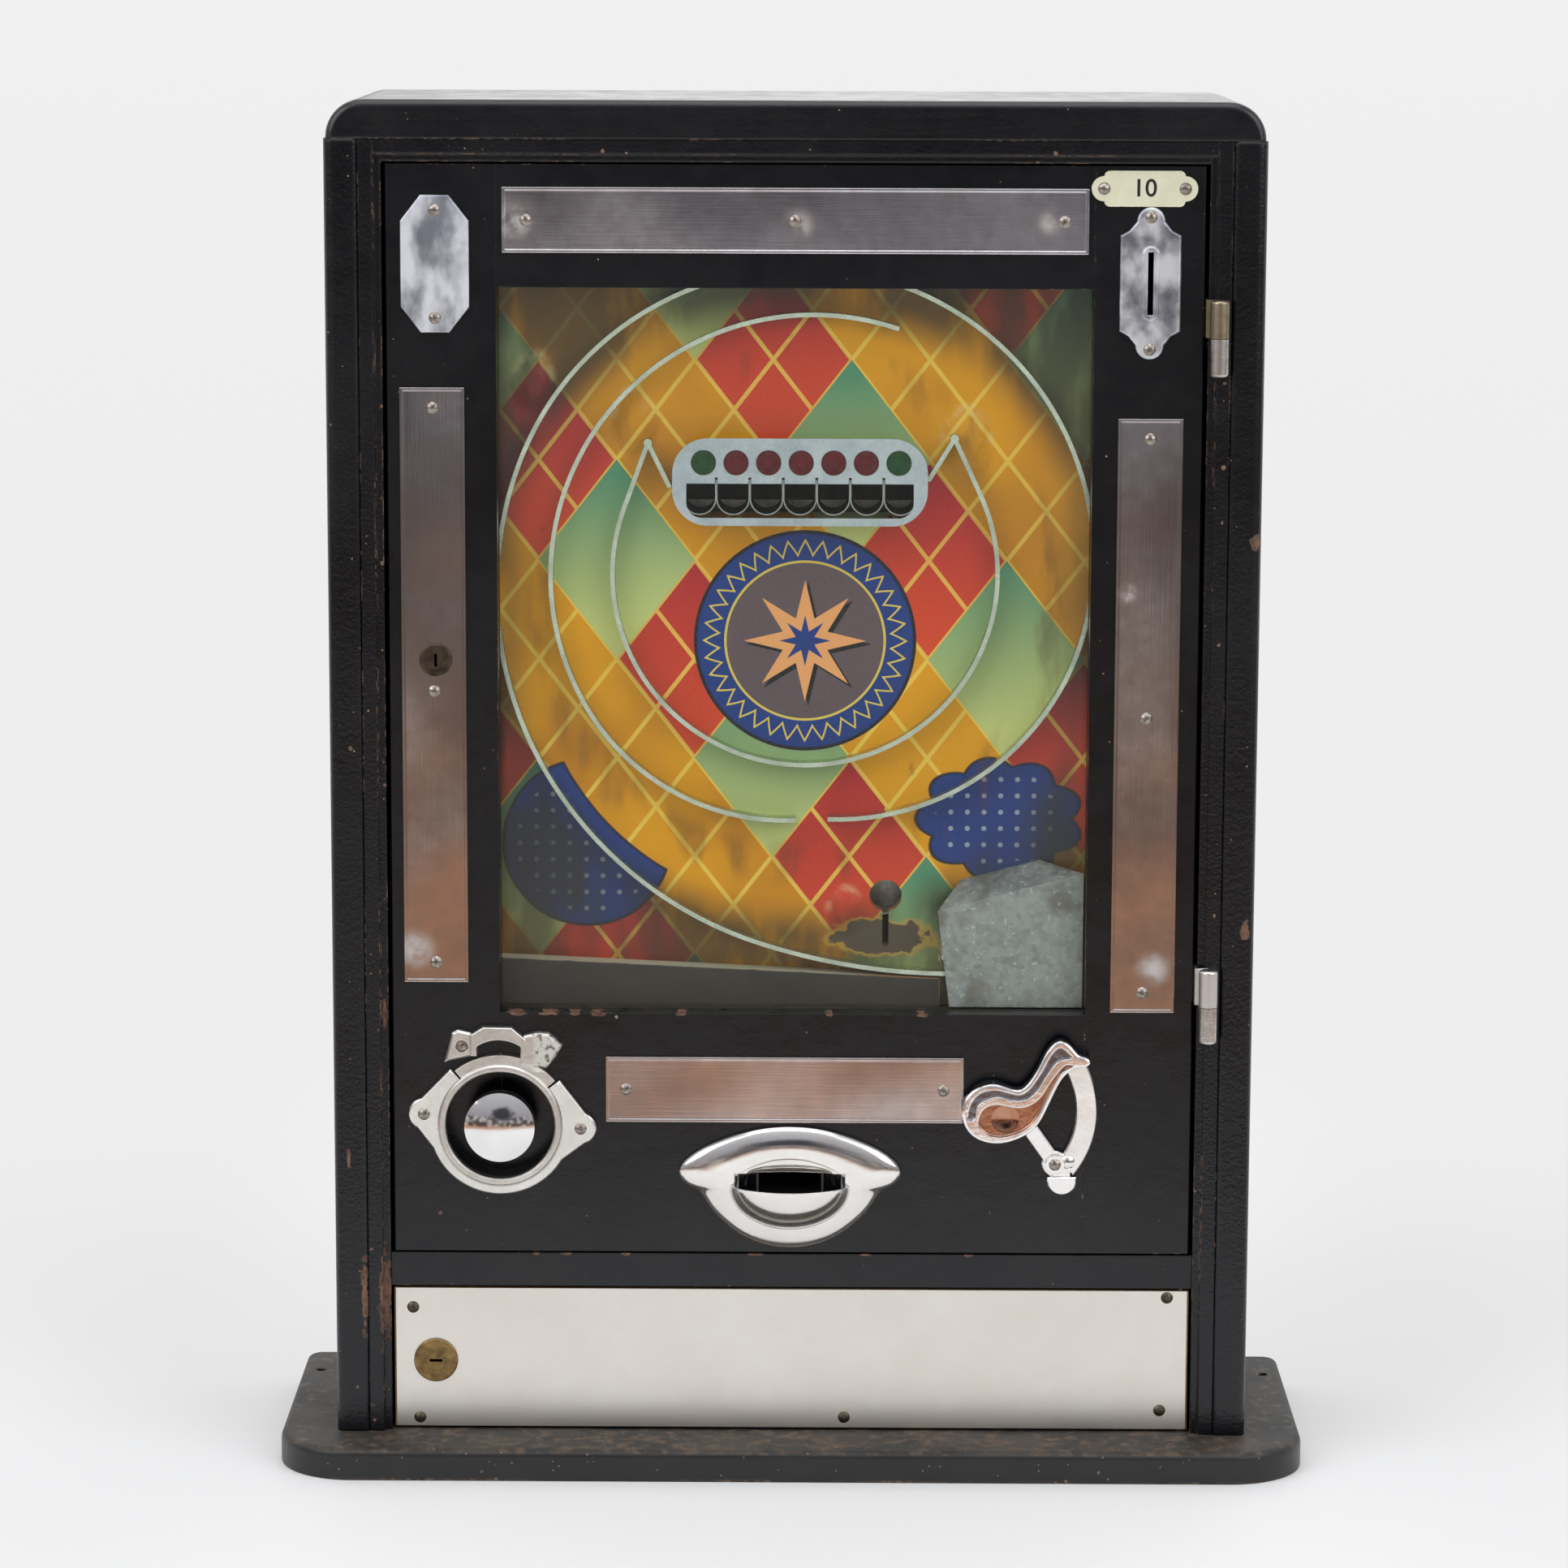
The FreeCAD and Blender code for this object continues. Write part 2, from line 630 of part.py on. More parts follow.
def bevel_front(shape, size, y):
    """Bevels every edge that lies in the front plane y."""
    return shape.makeChamfer(size, edges_where(shape, lambda b: at(b.YMin, y) and at(b.YMax, y)))


def at(value, target):
    return abs(value - target) < 0.01


def smooth_wire(points, y, inset):
    """A closed smooth curve through the points at depth y, moved inwards by the inset."""
    curve = Part.BSplineCurve()
    curve.interpolate([V(x, y, z) for x, z in points], PeriodicFlag=True)
    if inset > 0:
        inner = []
        for x, z in points:
            tangent = curve.tangent(curve.parameter(V(x, y, z)))[0]
            inner.append(V(x + inset * tangent.z, y, z - inset * tangent.x))
        curve.interpolate(inner, PeriodicFlag=True)
    return Part.Wire([curve.toShape()])


def cast_plate(points, y_back, y_front, rim):
    """A casting with a smooth outline, clockwise from the front, and a rounded front rim."""
    depths = [(y_back, 0), (y_front + rim, 0), (y_front + 0.3 * rim, 0.3 * rim), (y_front, rim)]
    return Part.makeLoft([smooth_wire(points, y, inset) for y, inset in depths], True, True)


def band(arcs, y0, y1, thickness):
    """A strip on edge along arcs that run into each other. An arc is centre, radius, from, to."""
    half = thickness / 2
    near = []
    far = []
    for centre, radius, first, last in arcs:
        middle = (first + last) / 2
        near.append((on_circle(centre, radius - half, middle), on_circle(centre, radius - half, last)))
        far.append((on_circle(centre, radius + half, middle), on_circle(centre, radius + half, first)))
    centre, radius, first, last = arcs[0]
    start = on_circle(centre, radius - half, first)
    centre, radius, first, last = arcs[-1]
    turn_back = on_circle(centre, radius + half, last)
    return prism_y(start, near + [turn_back] + far[::-1], y0, y1)


def tangent_arcs(centre, radii, angles):
    """Arcs that share a tangent where they meet, from the first centre, the radii and the angles."""
    arcs = []
    for i, radius in enumerate(radii):
        arcs.append((centre, radius * WINDOW_W, angles[i], angles[i + 1]))
        if i + 1 < len(radii):
            centre = on_circle(centre, (radius - radii[i + 1]) * WINDOW_W, angles[i + 1])
    return arcs


def bar(p, q, width, y0, y1):
    """A straight flat bar from p to q in the plane of the door."""
    dx = q[0] - p[0]
    dz = q[1] - p[1]
    length = math.hypot(dx, dz)
    nx = -dz / length * width / 2
    nz = dx / length * width / 2
    corners = [(q[0] + nx, q[1] + nz), (q[0] - nx, q[1] - nz), (p[0] - nx, p[1] - nz)]
    return prism_y((p[0] + nx, p[1] + nz), corners, y0, y1)


def dome(x, z, radius, height, y):
    """A shallow dome that stands out to the front from the plane y."""
    big = (radius ** 2 + height ** 2) / (2 * height)
    ball = Part.makeSphere(big, V(x, y - height + big, z))
    return ball.common(rod_y(x, z, radius, y - height - OVER, y))


def cut_all(shape, tools):
    for tool in tools:
        shape = shape.cut(tool)
    return shape


def fuse_all(shapes):
    whole = shapes[0]
    for shape in shapes[1:]:
        whole = whole.fuse(shape)
    return whole.removeSplitter()


def save(name, *solids):
    shape = solids[0] if len(solids) == 1 else Part.makeCompound(list(solids))
    shape.exportStep("parts/" + name + ".step")


# Screws. Each group is the places, and the depth of the plate face under the heads

TOP_STRIP_Z = Z_WINDOW_TOP + TOP_STRIP_UP
TOP_STRIP_L = WINDOW_W - 2 * TOP_STRIP_IN
LEFT_STRIP_X = -(X_STILE + LEFT_STRIP_OUT)
LEFT_STRIP_Z = Z_WINDOW_MID - LEFT_STRIP_DOWN
RIGHT_STRIP_X = X_STILE + RIGHT_STRIP_OUT
RIGHT_STRIP_Z = Z_WINDOW_MID - RIGHT_STRIP_DOWN
LOWER_STRIP_X0 = KNOB_X + LOWER_STRIP_FROM_KNOB
LOWER_STRIP_X1 = LEVER_X - QUAD_BASE_R - LOWER_STRIP_GAP
LOWER_STRIP_X = (LOWER_STRIP_X0 + LOWER_STRIP_X1) / 2
LOWER_STRIP_L = LOWER_STRIP_X1 - LOWER_STRIP_X0
LOWER_STRIP_Z = Z_SILL - LOWER_STRIP_DOWN
EIGHT_PLATE_X = -(X_STILE + EIGHT_PLATE_OUT)
EIGHT_PLATE_Z = Z_WINDOW_TOP + EIGHT_PLATE_UP
LABEL_X = X_STILE - LABEL_IN
LABEL_Z = Z_DOOR_TOP - LABEL_DOWN


def pair_z(x, z, pitch):
    return [(x, z - pitch / 2), (x, z + pitch / 2)]


def pair_x(x, z, pitch):
    return [(x - pitch / 2, z), (x + pitch / 2, z)]


SIDE_SCREW_PITCH = SIDE_STRIP_L - 2 * STRIP_SCREW_IN
TOP_STRIP_SCREWS = pair_x(0, TOP_STRIP_Z, TOP_STRIP_L - 2 * TOP_STRIP_SCREW_IN) + [(0, TOP_STRIP_Z)]
LEFT_STRIP_SCREWS = pair_z(LEFT_STRIP_X, LEFT_STRIP_Z, SIDE_SCREW_PITCH)
LEFT_STRIP_SCREWS += [(LEFT_STRIP_X, LOCK_Z - LOCK_SCREW_DOWN)]
RIGHT_STRIP_SCREWS = pair_z(RIGHT_STRIP_X, RIGHT_STRIP_Z, SIDE_SCREW_PITCH) + [(RIGHT_STRIP_X, RIGHT_STRIP_Z)]
LOWER_STRIP_SCREWS = pair_x(LOWER_STRIP_X, LOWER_STRIP_Z, LOWER_STRIP_L - 2 * STRIP_SCREW_IN)
EIGHT_SCREWS = pair_z(EIGHT_PLATE_X, EIGHT_PLATE_Z, EIGHT_SCREW_PITCH)
COIN_SCREWS = pair_z(X_STILE, COIN_PLATE_Z, COIN_SCREW_PITCH)
LABEL_SCREWS = pair_x(LABEL_X, LABEL_Z, LABEL_W)
EAR_SCREWS = moved((EAR_LEFT, EAR_RIGHT), KNOB_X, KNOB_Z)
LUG_SCREW = (KNOB_X + LUG_HOLE[0], KNOB_Z + LUG_HOLE[1])
QUAD_BOSS = on_circle((LEVER_X, LEVER_Z), QUAD_BOSS_AT, QUAD_BOSS_ANGLE)
DOOR_SCREWS = [
    (TOP_STRIP_SCREWS + LEFT_STRIP_SCREWS + RIGHT_STRIP_SCREWS + LOWER_STRIP_SCREWS, Y_SCREW),
    (EIGHT_SCREWS, Y_STRIP),
    (COIN_SCREWS, Y_DOOR - COIN_PLATE_T),
    (LABEL_SCREWS, Y_DOOR - LABEL_T),
    (EAR_SCREWS, Y_DOOR - RING_T),
    ([QUAD_BOSS], Y_DOOR - QUAD_T - QUAD_COLLAR_OUT),
    ([LUG_SCREW], Y_DOOR - RING_T + LUG_HOLE_D),
]


def cash_corners(side, upper, lower):
    """Two screws near the corners of the cash plate on one side, from how far in and up or down they sit."""
    high = (side * (X_CASH - upper[0]), Z_CASH_TOP - upper[1])
    low = (side * (X_CASH - lower[0]), Z_CASH_LOW + lower[1])
    return [high, low]


CASH_SCREWS = cash_corners(-1, *CASH_SCREW_LEFT) + cash_corners(1, *CASH_SCREW_RIGHT)


def screw(x, z, y):
    """A round-headed wood screw with its head on the plane y."""
    shank = rod_y(x, z, SCREW_SHANK_R, y, y + SCREW_SHANK_L)
    return dome(x, z, SCREW_HEAD_R, SCREW_HEAD_H, y).fuse(shank).removeSplitter()


def screw_holes(places, y0, y1):
    return [rod_y(x, z, SCREW_SHANK_R + SEAT_FIT, y0, y1) for x, z in places]


def wood_screw_holes():
    """The holes for every plate screw, in the wood of the door."""
    places = [place for group, depth in DOOR_SCREWS for place in group]
    return screw_holes(places, Y_DOOR - OVER, Y_DOOR + SCREW_SHANK_L + SEAT_FIT)


# The case

def make_base():
    x = BASE_W / 2
    radii = [BASE_FRONT_R, BASE_FRONT_R, BASE_BACK_R, BASE_BACK_R]
    start, steps = rounded(-x, x, Y_BACK - BASE_D, Y_BACK, radii)
    board = prism_z(start, steps, 0, BASE_T)
    board = soften(board, BASE_EDGE_R, lambda b: at(b.ZMin, BASE_T) and at(b.ZMax, BASE_T))
    board = soften(board, BASE_EDGE_R / 4, lambda b: at(b.ZMin, 0) and at(b.ZMax, 0))
    hole_x = x - COUNTER_HOLE_IN
    hole_y = Y_BACK - COUNTER_HOLE_BACK
    holes = [rod_z(k * hole_x, hole_y, COUNTER_HOLE_R, -OVER, BASE_T + OVER) for k in (-1, 1)]
    return cut_all(board, holes + cash_pivot_pins(RUN_FIT))


def make_side(side):
    outer = side * X_CASE
    inner = side * X_SIDE_IN
    x0, x1 = sorted([outer, inner])
    board = box(x0, x1, Y_FRONT, Y_BACK, BASE_T, Z_SIDE_TOP)
    for x, radius in ((outer, SIDE_EDGE_R), (inner, SIDE_EDGE_R / 2)):
        board = soften(board, radius, lambda b: at(b.YMax, Y_FRONT) and at(b.XMin, x) and at(b.XMax, x))
    x0, x1 = sorted([inner, inner + side * BACK_REBATE])
    rebate = box(x0, x1, Y_BACK - BACK_T, Y_BACK + OVER, BASE_T - OVER, Z_SIDE_TOP + OVER)
    return cut_all(board.cut(rebate), back_screws(SEAT_FIT))


def make_top():
    x = X_CASE - TOP_INSET
    z1 = Z_SIDE_TOP + TOP_T
    r = TOP_CORNER_R
    k = 1 - math.sqrt(0.5)
    start = (-x, Z_SIDE_TOP)
    steps = [(x, Z_SIDE_TOP), (x, z1 - r), ((x - k * r, z1 - k * r), (x - r, z1)), (-x + r, z1),
             ((-x + k * r, z1 - k * r), (-x, z1 - r))]
    board = prism_y(start, steps, Y_FRONT, Y_BACK)
    high = Z_SIDE_TOP + OVER
    board = soften(board, TOP_EDGE_R, lambda b: at(b.YMin, Y_FRONT) and at(b.YMax, Y_FRONT) and b.ZMax > high)
    rebate_x = X_SIDE_IN + BACK_REBATE
    z1 = Z_SIDE_TOP + BACK_REBATE
    rebate = box(-rebate_x, rebate_x, Y_BACK - BACK_T, Y_BACK + OVER, Z_SIDE_TOP - OVER, z1)
    return cut_all(board.cut(rebate), back_screws(SEAT_FIT))


def back_screws(play=0.0):
    """Countersunk screws, flush with the back panel. With play they are the holes they sit in."""
    x = X_SIDE_IN + BACK_REBATE / 2
    z0 = BASE_T + BACK_SCREW_IN
    step = (Z_SIDE_TOP - BACK_SCREW_IN - z0) / (BACK_SCREW_ROWS - 1)
    places = [(k * x, z0 + step * i) for k in (-1, 1) for i in range(BACK_SCREW_ROWS)]
    places += [(k * x / 2, Z_SIDE_TOP + BACK_REBATE / 2) for k in (-1, 0, 1)]
    r = SCREW_SHANK_R + play
    y = Y_BACK - (SCREW_HEAD_R - SCREW_SHANK_R)
    screws = []
    for px, pz in places:
        head = Part.makeCone(r, SCREW_HEAD_R + play, Y_BACK - y, V(px, y, pz), ALONG_Y)
        screws.append(head.fuse(rod_y(px, pz, r, Y_BACK - SCREW_SHANK_L - play, y)).removeSplitter())
    return screws


def make_back():
    x = X_SIDE_IN + BACK_REBATE
    panel = box(-x, x, Y_BACK - BACK_T, Y_BACK, BASE_T, Z_SIDE_TOP + BACK_REBATE)
    return cut_all(panel, back_screws(SEAT_FIT))


def make_bead():
    uprights = []
    for side in (-1, 1):
        outer = sorted([side * X_SIDE_IN, side * X_BEAD_MID])
        inner = sorted([side * X_BEAD_MID, side * X_BEAD_IN])
        tall = box(*outer, Y_BEAD_OUTER, Y_BEAD_BACK, BASE_T, Z_SIDE_TOP)
        low = box(*inner, Y_BEAD_INNER, Y_BEAD_BACK, BASE_T, Z_BEAD_MID)
        uprights.append(tall.fuse(low).removeSplitter())
    head = box(-X_BEAD_MID, X_BEAD_MID, Y_BEAD_OUTER, Y_BEAD_BACK, Z_BEAD_MID, Z_SIDE_TOP)
    step = box(-X_BEAD_IN, X_BEAD_IN, Y_BEAD_INNER, Y_BEAD_BACK, Z_BEAD_IN, Z_BEAD_MID)
    left, right = uprights
    half = HINGE_LEAF_T / 2 + SEAT_FIT
    slots = [box(HINGE_X - half, HINGE_X + half, Y_FRONT - OVER, HINGE_Y + HINGE_LEAF_D + SEAT_FIT,
                 z - HINGE_HALF_H - SEAT_FIT, z + SEAT_FIT) for z in HINGE_HEIGHTS]
    return [left, cut_all(right, slots), head.fuse(step).removeSplitter()]


def make_lower_rail():
    rail = box(-X_BEAD_IN, X_BEAD_IN, Y_DOOR, Y_BEAD_BACK, Z_RAIL, Z_RAIL_TOP)
    return cut_all(rail, cash_pivot_pins(RUN_FIT))


def make_shelf():
    shelf = box(-X_SIDE_IN, X_SIDE_IN, Y_BEAD_BACK, Y_BACK - BACK_T, Z_RAIL, Z_RAIL + SHELF_T)
    x = SHELF_HOLE_W / 2
    y = SHELF_HOLE_D / 2
    return shelf.cut(box(-x, x, Y_LANE - y, Y_LANE + y, Z_RAIL - OVER, Z_RAIL + SHELF_T + OVER))


def make_cash_box():
    x = X_CASH - CASH_BOX_SIDE_GAP
    y0 = Y_CASH_BOX
    y1 = Y_CASH_BOX_BACK
    t = CASH_BOX_T
    tin = box(-x, x, y0, y1, BASE_T, BASE_T + CASH_BOX_H)
    return tin.cut(box(t - x, x - t, y0 + t, y1 - t, BASE_T + t, BASE_T + CASH_BOX_H + OVER))


def make_case_hinge(z):
    low = z - HINGE_HALF_H
    split = z - HINGE_SPLIT / 2
    half = HINGE_LEAF_T / 2
    knuckle = rod_z(HINGE_X, HINGE_Y, HINGE_R, low, split)
    knuckle = soften(knuckle, HINGE_R / 3, lambda b: at(b.ZMin, low) and at(b.ZMax, low))
    leaf = box(HINGE_X - half, HINGE_X + half, HINGE_Y, HINGE_Y + HINGE_LEAF_D, low, split)
    pin = rod_z(HINGE_X, HINGE_Y, HINGE_PIN_R, split - OVER, z + HINGE_HALF_H - HINGE_CAP)
    return fuse_all([knuckle, leaf, pin])


def make_door_hinge(z):
    high = z + HINGE_HALF_H
    split = z + HINGE_SPLIT / 2
    t = HINGE_LEAF_T
    knuckle = rod_z(HINGE_X, HINGE_Y, HINGE_R, split, high)
    knuckle = soften(knuckle, HINGE_R / 3, lambda b: at(b.ZMin, high) and at(b.ZMax, high))
    edge_x = X_DOOR + SEAT_FIT
    strap_y = Y_BEAD_OUTER - HINGE_OFF / 2 - t
    strap = box(edge_x, HINGE_X, strap_y, strap_y + t, split, high)
    blade = box(edge_x, edge_x + t, strap_y, HINGE_Y + HINGE_LEAF_D, split, high)
    bore = rod_z(HINGE_X, HINGE_Y, HINGE_PIN_R + RUN_FIT, split - OVER, high - HINGE_CAP + SLIDE_PLAY)
    return fuse_all([knuckle, strap, blade]).cut(bore)


# The front door

def glass_rebate():
    x = X_WINDOW + GLASS_LAP
    return box(-x, x, Y_GLASS, Y_DOOR_BACK + OVER, Z_SILL - GLASS_LAP, Z_WINDOW_TOP + GLASS_LAP)


def door_cuts():
    """What is cut out of the door's wood: glass rebate, screw holes, lock, well, shaft and slots."""
    y0 = Y_DOOR - OVER
    y1 = Y_DOOR_BACK + OVER
    well_back = Y_DOOR + KNOB_WELL_D
    lock = rod_y(LOCK_X, LOCK_Z, LOCK_BODY_R + SEAT_FIT, y0, y1)
    well = rod_y(KNOB_X, KNOB_Z, RING_BORE_R, y0, well_back)
    spindle = rod_y(KNOB_X, KNOB_Z, KNOB_SPINDLE_R + BUSH_WALL + SEAT_FIT, well_back - OVER, y1)
    shaft = rod_y(LEVER_X, LEVER_Z, LEVER_SHAFT_R + BUSH_WALL + SEAT_FIT, y0, y1)
    w = COIN_SLOT_W / 2
    h = COIN_SLOT_H / 2
    slot = box(X_STILE - w, X_STILE + w, y0, y1, COIN_PLATE_Z - h, COIN_PLATE_Z + h)
    w = PAYOUT_W / 2 + SHEET_T + SEAT_FIT
    payout = box(PAYOUT_X - w, PAYOUT_X + w, y0, y1, *payout_mouth())
    x, z = spring_pin_place()
    pin = rod_y(x, z, SPRING_PIN_R + SEAT_FIT, Y_DOOR_BACK - SPRING_PIN_IN - SEAT_FIT, y1)
    return [glass_rebate(), lock, well, spindle, shaft, slot, payout, pin] + wood_screw_holes()


def make_stile(side):
    outer = side * X_DOOR
    x0, x1 = sorted([outer, side * X_WINDOW])
    stile = box(x0, x1, Y_DOOR, Y_DOOR_BACK, Z_DOOR_LOW, Z_DOOR_TOP)
    front_edge = edges_where(stile, lambda b: at(b.YMax, Y_DOOR) and at(b.XMin, outer) and at(b.XMax, outer))
    stile = stile.makeFillet(DOOR_EDGE_R, front_edge)
    return cut_all(stile, door_cuts())


def make_top_rail():
    rail = box(-X_WINDOW, X_WINDOW, Y_DOOR, Y_DOOR_BACK, Z_WINDOW_TOP, Z_DOOR_TOP)
    return cut_all(rail, door_cuts())


def make_lower_panel():
    panel = box(-X_WINDOW, X_WINDOW, Y_DOOR, Y_DOOR_BACK, Z_DOOR_LOW, Z_SILL)
    return cut_all(panel, door_cuts())


def make_glass():
    x = X_WINDOW + GLASS_LAP - GLASS_PLAY
    z0 = Z_SILL - GLASS_LAP + GLASS_PLAY
    z1 = Z_WINDOW_TOP + GLASS_LAP - GLASS_PLAY
    return box(-x, x, Y_GLASS, Y_GLASS_BACK, z0, z1)


def make_glass_beads():
    x = X_WINDOW + GLASS_LAP
    z0 = Z_SILL - GLASS_LAP
    z1 = Z_WINDOW_TOP + GLASS_LAP
    uprights = [box(*sorted([k * x, k * X_WINDOW]), Y_GLASS_BACK, Y_DOOR_BACK, z0, z1) for k in (-1, 1)]
    bottom = box(-X_WINDOW, X_WINDOW, Y_GLASS_BACK, Y_DOOR_BACK, z0, Z_SILL)
    top = box(-X_WINDOW, X_WINDOW, Y_GLASS_BACK, Y_DOOR_BACK, Z_WINDOW_TOP, z1)
    return uprights + [bottom, top]


def dished_strip(x, z, width, height, places):
    """A steel strip whose face is sunk a little inside a narrow rim."""
    w = width / 2
    h = height / 2
    plate = box(x - w, x + w, Y_STRIP, Y_DOOR, z - h, z + h)
    w -= STRIP_RIM
    h -= STRIP_RIM
    plate = plate.cut(box(x - w, x + w, Y_STRIP - OVER, Y_SCREW, z - h, z + h))
    return cut_all(plate, screw_holes(places, Y_STRIP - OVER, Y_DOOR + OVER))


def make_side_strips():
    left = dished_strip(LEFT_STRIP_X, LEFT_STRIP_Z, STRIP_W, SIDE_STRIP_L, LEFT_STRIP_SCREWS)
    left = left.cut(rod_y(LOCK_X, LOCK_Z, LOCK_BODY_R + SEAT_FIT, Y_STRIP - OVER, Y_DOOR + OVER))
    return [left, dished_strip(RIGHT_STRIP_X, RIGHT_STRIP_Z, STRIP_W, SIDE_STRIP_L, RIGHT_STRIP_SCREWS)]


def make_eight_plate():
    w = EIGHT_PLATE_W / 2
    h = EIGHT_PLATE_H / 2
    cx = w - EIGHT_CUT_X
    cz = h - EIGHT_CUT_Z
    corners = [(cx, -h), (w, -cz), (w, cz), (cx, h), (-cx, h), (-w, cz), (-w, -cz), (-cx, -h)]
    corners = moved(corners, EIGHT_PLATE_X, EIGHT_PLATE_Z)
    plate = bevel_front(prism_y(corners[0], corners[1:], Y_STRIP, Y_DOOR), STRIP_DISH, Y_STRIP)
    return cut_all(plate, screw_holes(EIGHT_SCREWS, Y_STRIP - OVER, Y_DOOR + OVER))


def make_coin_plate():
    w = COIN_PLATE_W / 2
    h = COIN_PLATE_BODY_H / 2
    e = COIN_PLATE_END_W / 2
    top = COIN_PLATE_H / 2
    x = X_STILE
    z = COIN_PLATE_Z
    front = Y_DOOR - COIN_PLATE_T
    mid_x = (w + e) / 2 - COIN_PLATE_WAIST / 2
    mid_z = (top - e + h) / 2 - COIN_PLATE_WAIST
    steps = [(x - mid_x, z - mid_z), (x - e, z - top + e), ((x, z - top), (x + e, z - top + e)),
             (x + mid_x, z - mid_z), (x + w, z - h), (x + w, z + h),
             (x + mid_x, z + mid_z), (x + e, z + top - e), ((x, z + top), (x - e, z + top - e)),
             (x - mid_x, z + mid_z), (x - w, z + h)]
    plate = bevel_front(prism_y((x - w, z - h), steps, front, Y_DOOR), COIN_PLATE_BEVEL, front)
    slot_w = COIN_SLOT_W / 2
    slot_h = COIN_SLOT_H / 2
    rim_w = slot_w + COIN_RIM_W
    rim_h = slot_h + COIN_RIM_W
    start, steps = rounded(x - rim_w, x + rim_w, z - rim_h, z + rim_h, [0.98 * rim_w] * 4)
    rim = bevel_front(prism_y(start, steps, front - COIN_RIM_T, Y_DOOR), COIN_RIM_T / 2, front - COIN_RIM_T)
    slot = box(x - slot_w, x + slot_w, front - COIN_RIM_T - OVER, Y_DOOR + OVER, z - slot_h, z + slot_h)
    return cut_all(plate.fuse(rim), [slot] + screw_holes(COIN_SCREWS, front - OVER, Y_DOOR + OVER))


def make_label():
    w = LABEL_W / 2
    h = LABEL_H / 2
    front = Y_DOOR - LABEL_T
    start, steps = rounded(LABEL_X - w, LABEL_X + w, LABEL_Z - h, LABEL_Z + h, [LABEL_CORNER_R] * 4)
    plate = prism_y(start, steps, front, Y_DOOR)
    ears = [rod_y(x, z, LABEL_EAR_R, front, Y_DOOR) for x, z in LABEL_SCREWS]
    return cut_all(fuse_all([plate] + ears), screw_holes(LABEL_SCREWS, front - OVER, Y_DOOR + OVER))


def make_door_screws():
    return [screw(x, z, y) for places, y in DOOR_SCREWS for x, z in places]


# The payout knob

def make_escutcheon():
    """A flange in two arms round the knob's well, each with an ear for a screw."""
    front = Y_DOOR - RING_T
    centre = (KNOB_X, KNOB_Z)
    inner = RING_BAND_R + SEAT_FIT
    shapes = [rod_y(KNOB_X, KNOB_Z, RING_OUT_R, front, Y_DOOR)]
    for ear, gap in ((EAR_LEFT, RING_GAP_LEFT), (EAR_RIGHT, RING_GAP_RIGHT)):
        boss = (KNOB_X + ear[0], KNOB_Z + ear[1])
        side = 1 if ear[0] > 0 else -1
        out = math.degrees(math.atan2(ear[1], ear[0]))
        corners = [
            on_circle(centre, RING_OUT_R + RING_ARM_OUT, gap),
            on_circle(boss, EAR_R, out + side * RING_EAR_SPREAD),
            on_circle(boss, EAR_R, out - side * RING_EAR_SPREAD),
            on_circle(centre, RING_OUT_R, out - side * RING_EAR_TAIL),
            on_circle(centre, RING_BAND_R, out),
        ]
        shapes.append(rod_y(boss[0], boss[1], EAR_R, front, Y_DOOR))
        shapes.append(prism_y(on_circle(centre, RING_BAND_R, gap), corners, front, Y_DOOR))
    flange = bevel_front(fuse_all(shapes), RING_BEVEL, front)
    far = 2 * RING_OUT_R
    wedge = [on_circle(centre, far, angle) for angle in (RING_GAP_LEFT, 90, RING_GAP_RIGHT)]
    gap = prism_y(centre, wedge, front - OVER, Y_DOOR + OVER)
    well = rod_y(KNOB_X, KNOB_Z, inner, front - OVER, Y_DOOR + OVER)
    return cut_all(flange, [gap, well] + screw_holes(EAR_SCREWS, front - OVER, Y_DOOR + OVER))


def make_knob_bracket():
    """The collar round the well, with a lug, a finger loop and a rough lug standing over it."""
    centre = (KNOB_X, KNOB_Z)
    front = Y_DOOR - RING_T
    left = moved(LUG_LEFT, *centre)
    right = moved(LUG_RIGHT, *centre)
    foot, end = moved((LOOP_FOOT, LOOP_END), *centre)
    crest = moved(LOOP_CREST, *centre)
    window = moved(LOOP_WINDOW, *centre)
    left_lug = bevel_front(prism_y(left[0], left[1:], front, Y_DOOR), LUG_BEVEL, front)
    lug_front = front - LUG_RIGHT_OUT
    right_lug = bevel_front(prism_y(right[0], right[1:], lug_front, Y_DOOR), LUG_BEVEL, lug_front)
    loop_front = front - LOOP_OUT
    loop = prism_y(foot, crest + [end, (KNOB_X, end[1]), (KNOB_X, foot[1])], loop_front, Y_DOOR)
    steps = [window[1], (window[2], window[3]), window[4]]
    opening = prism_y(window[0], steps, front - RING_T, Y_DOOR + OVER)
    loop = bevel_front(loop.cut(opening), LUG_BEVEL / 2, loop_front)
    hole = rod_y(*LUG_SCREW, LUG_HOLE_R, front - OVER, front + LUG_HOLE_D)
    well = rod_y(KNOB_X, KNOB_Z, RING_BAND_R, front - RING_T, Y_DOOR + OVER)
    arch = fuse_all([left_lug, right_lug, loop])
    arch = cut_all(arch, [hole, well] + screw_holes([LUG_SCREW], front, Y_DOOR + OVER))
    collar_front = Y_DOOR - RING_COLLAR_T
    collar = tube_y(KNOB_X, KNOB_Z, RING_BAND_R, RING_BORE_R, collar_front, Y_DOOR)
    collar = bevel_front(collar, RING_BEVEL, collar_front)
    width = RING_OUT_R - RING_BAND_R + OVER
    arc = (centre, RING_OUT_R - width / 2, RING_GAP_LEFT - RING_GAP_PLAY, RING_GAP_RIGHT + RING_GAP_PLAY)
    return fuse_all([collar, band([arc], front, Y_DOOR, width), arch])


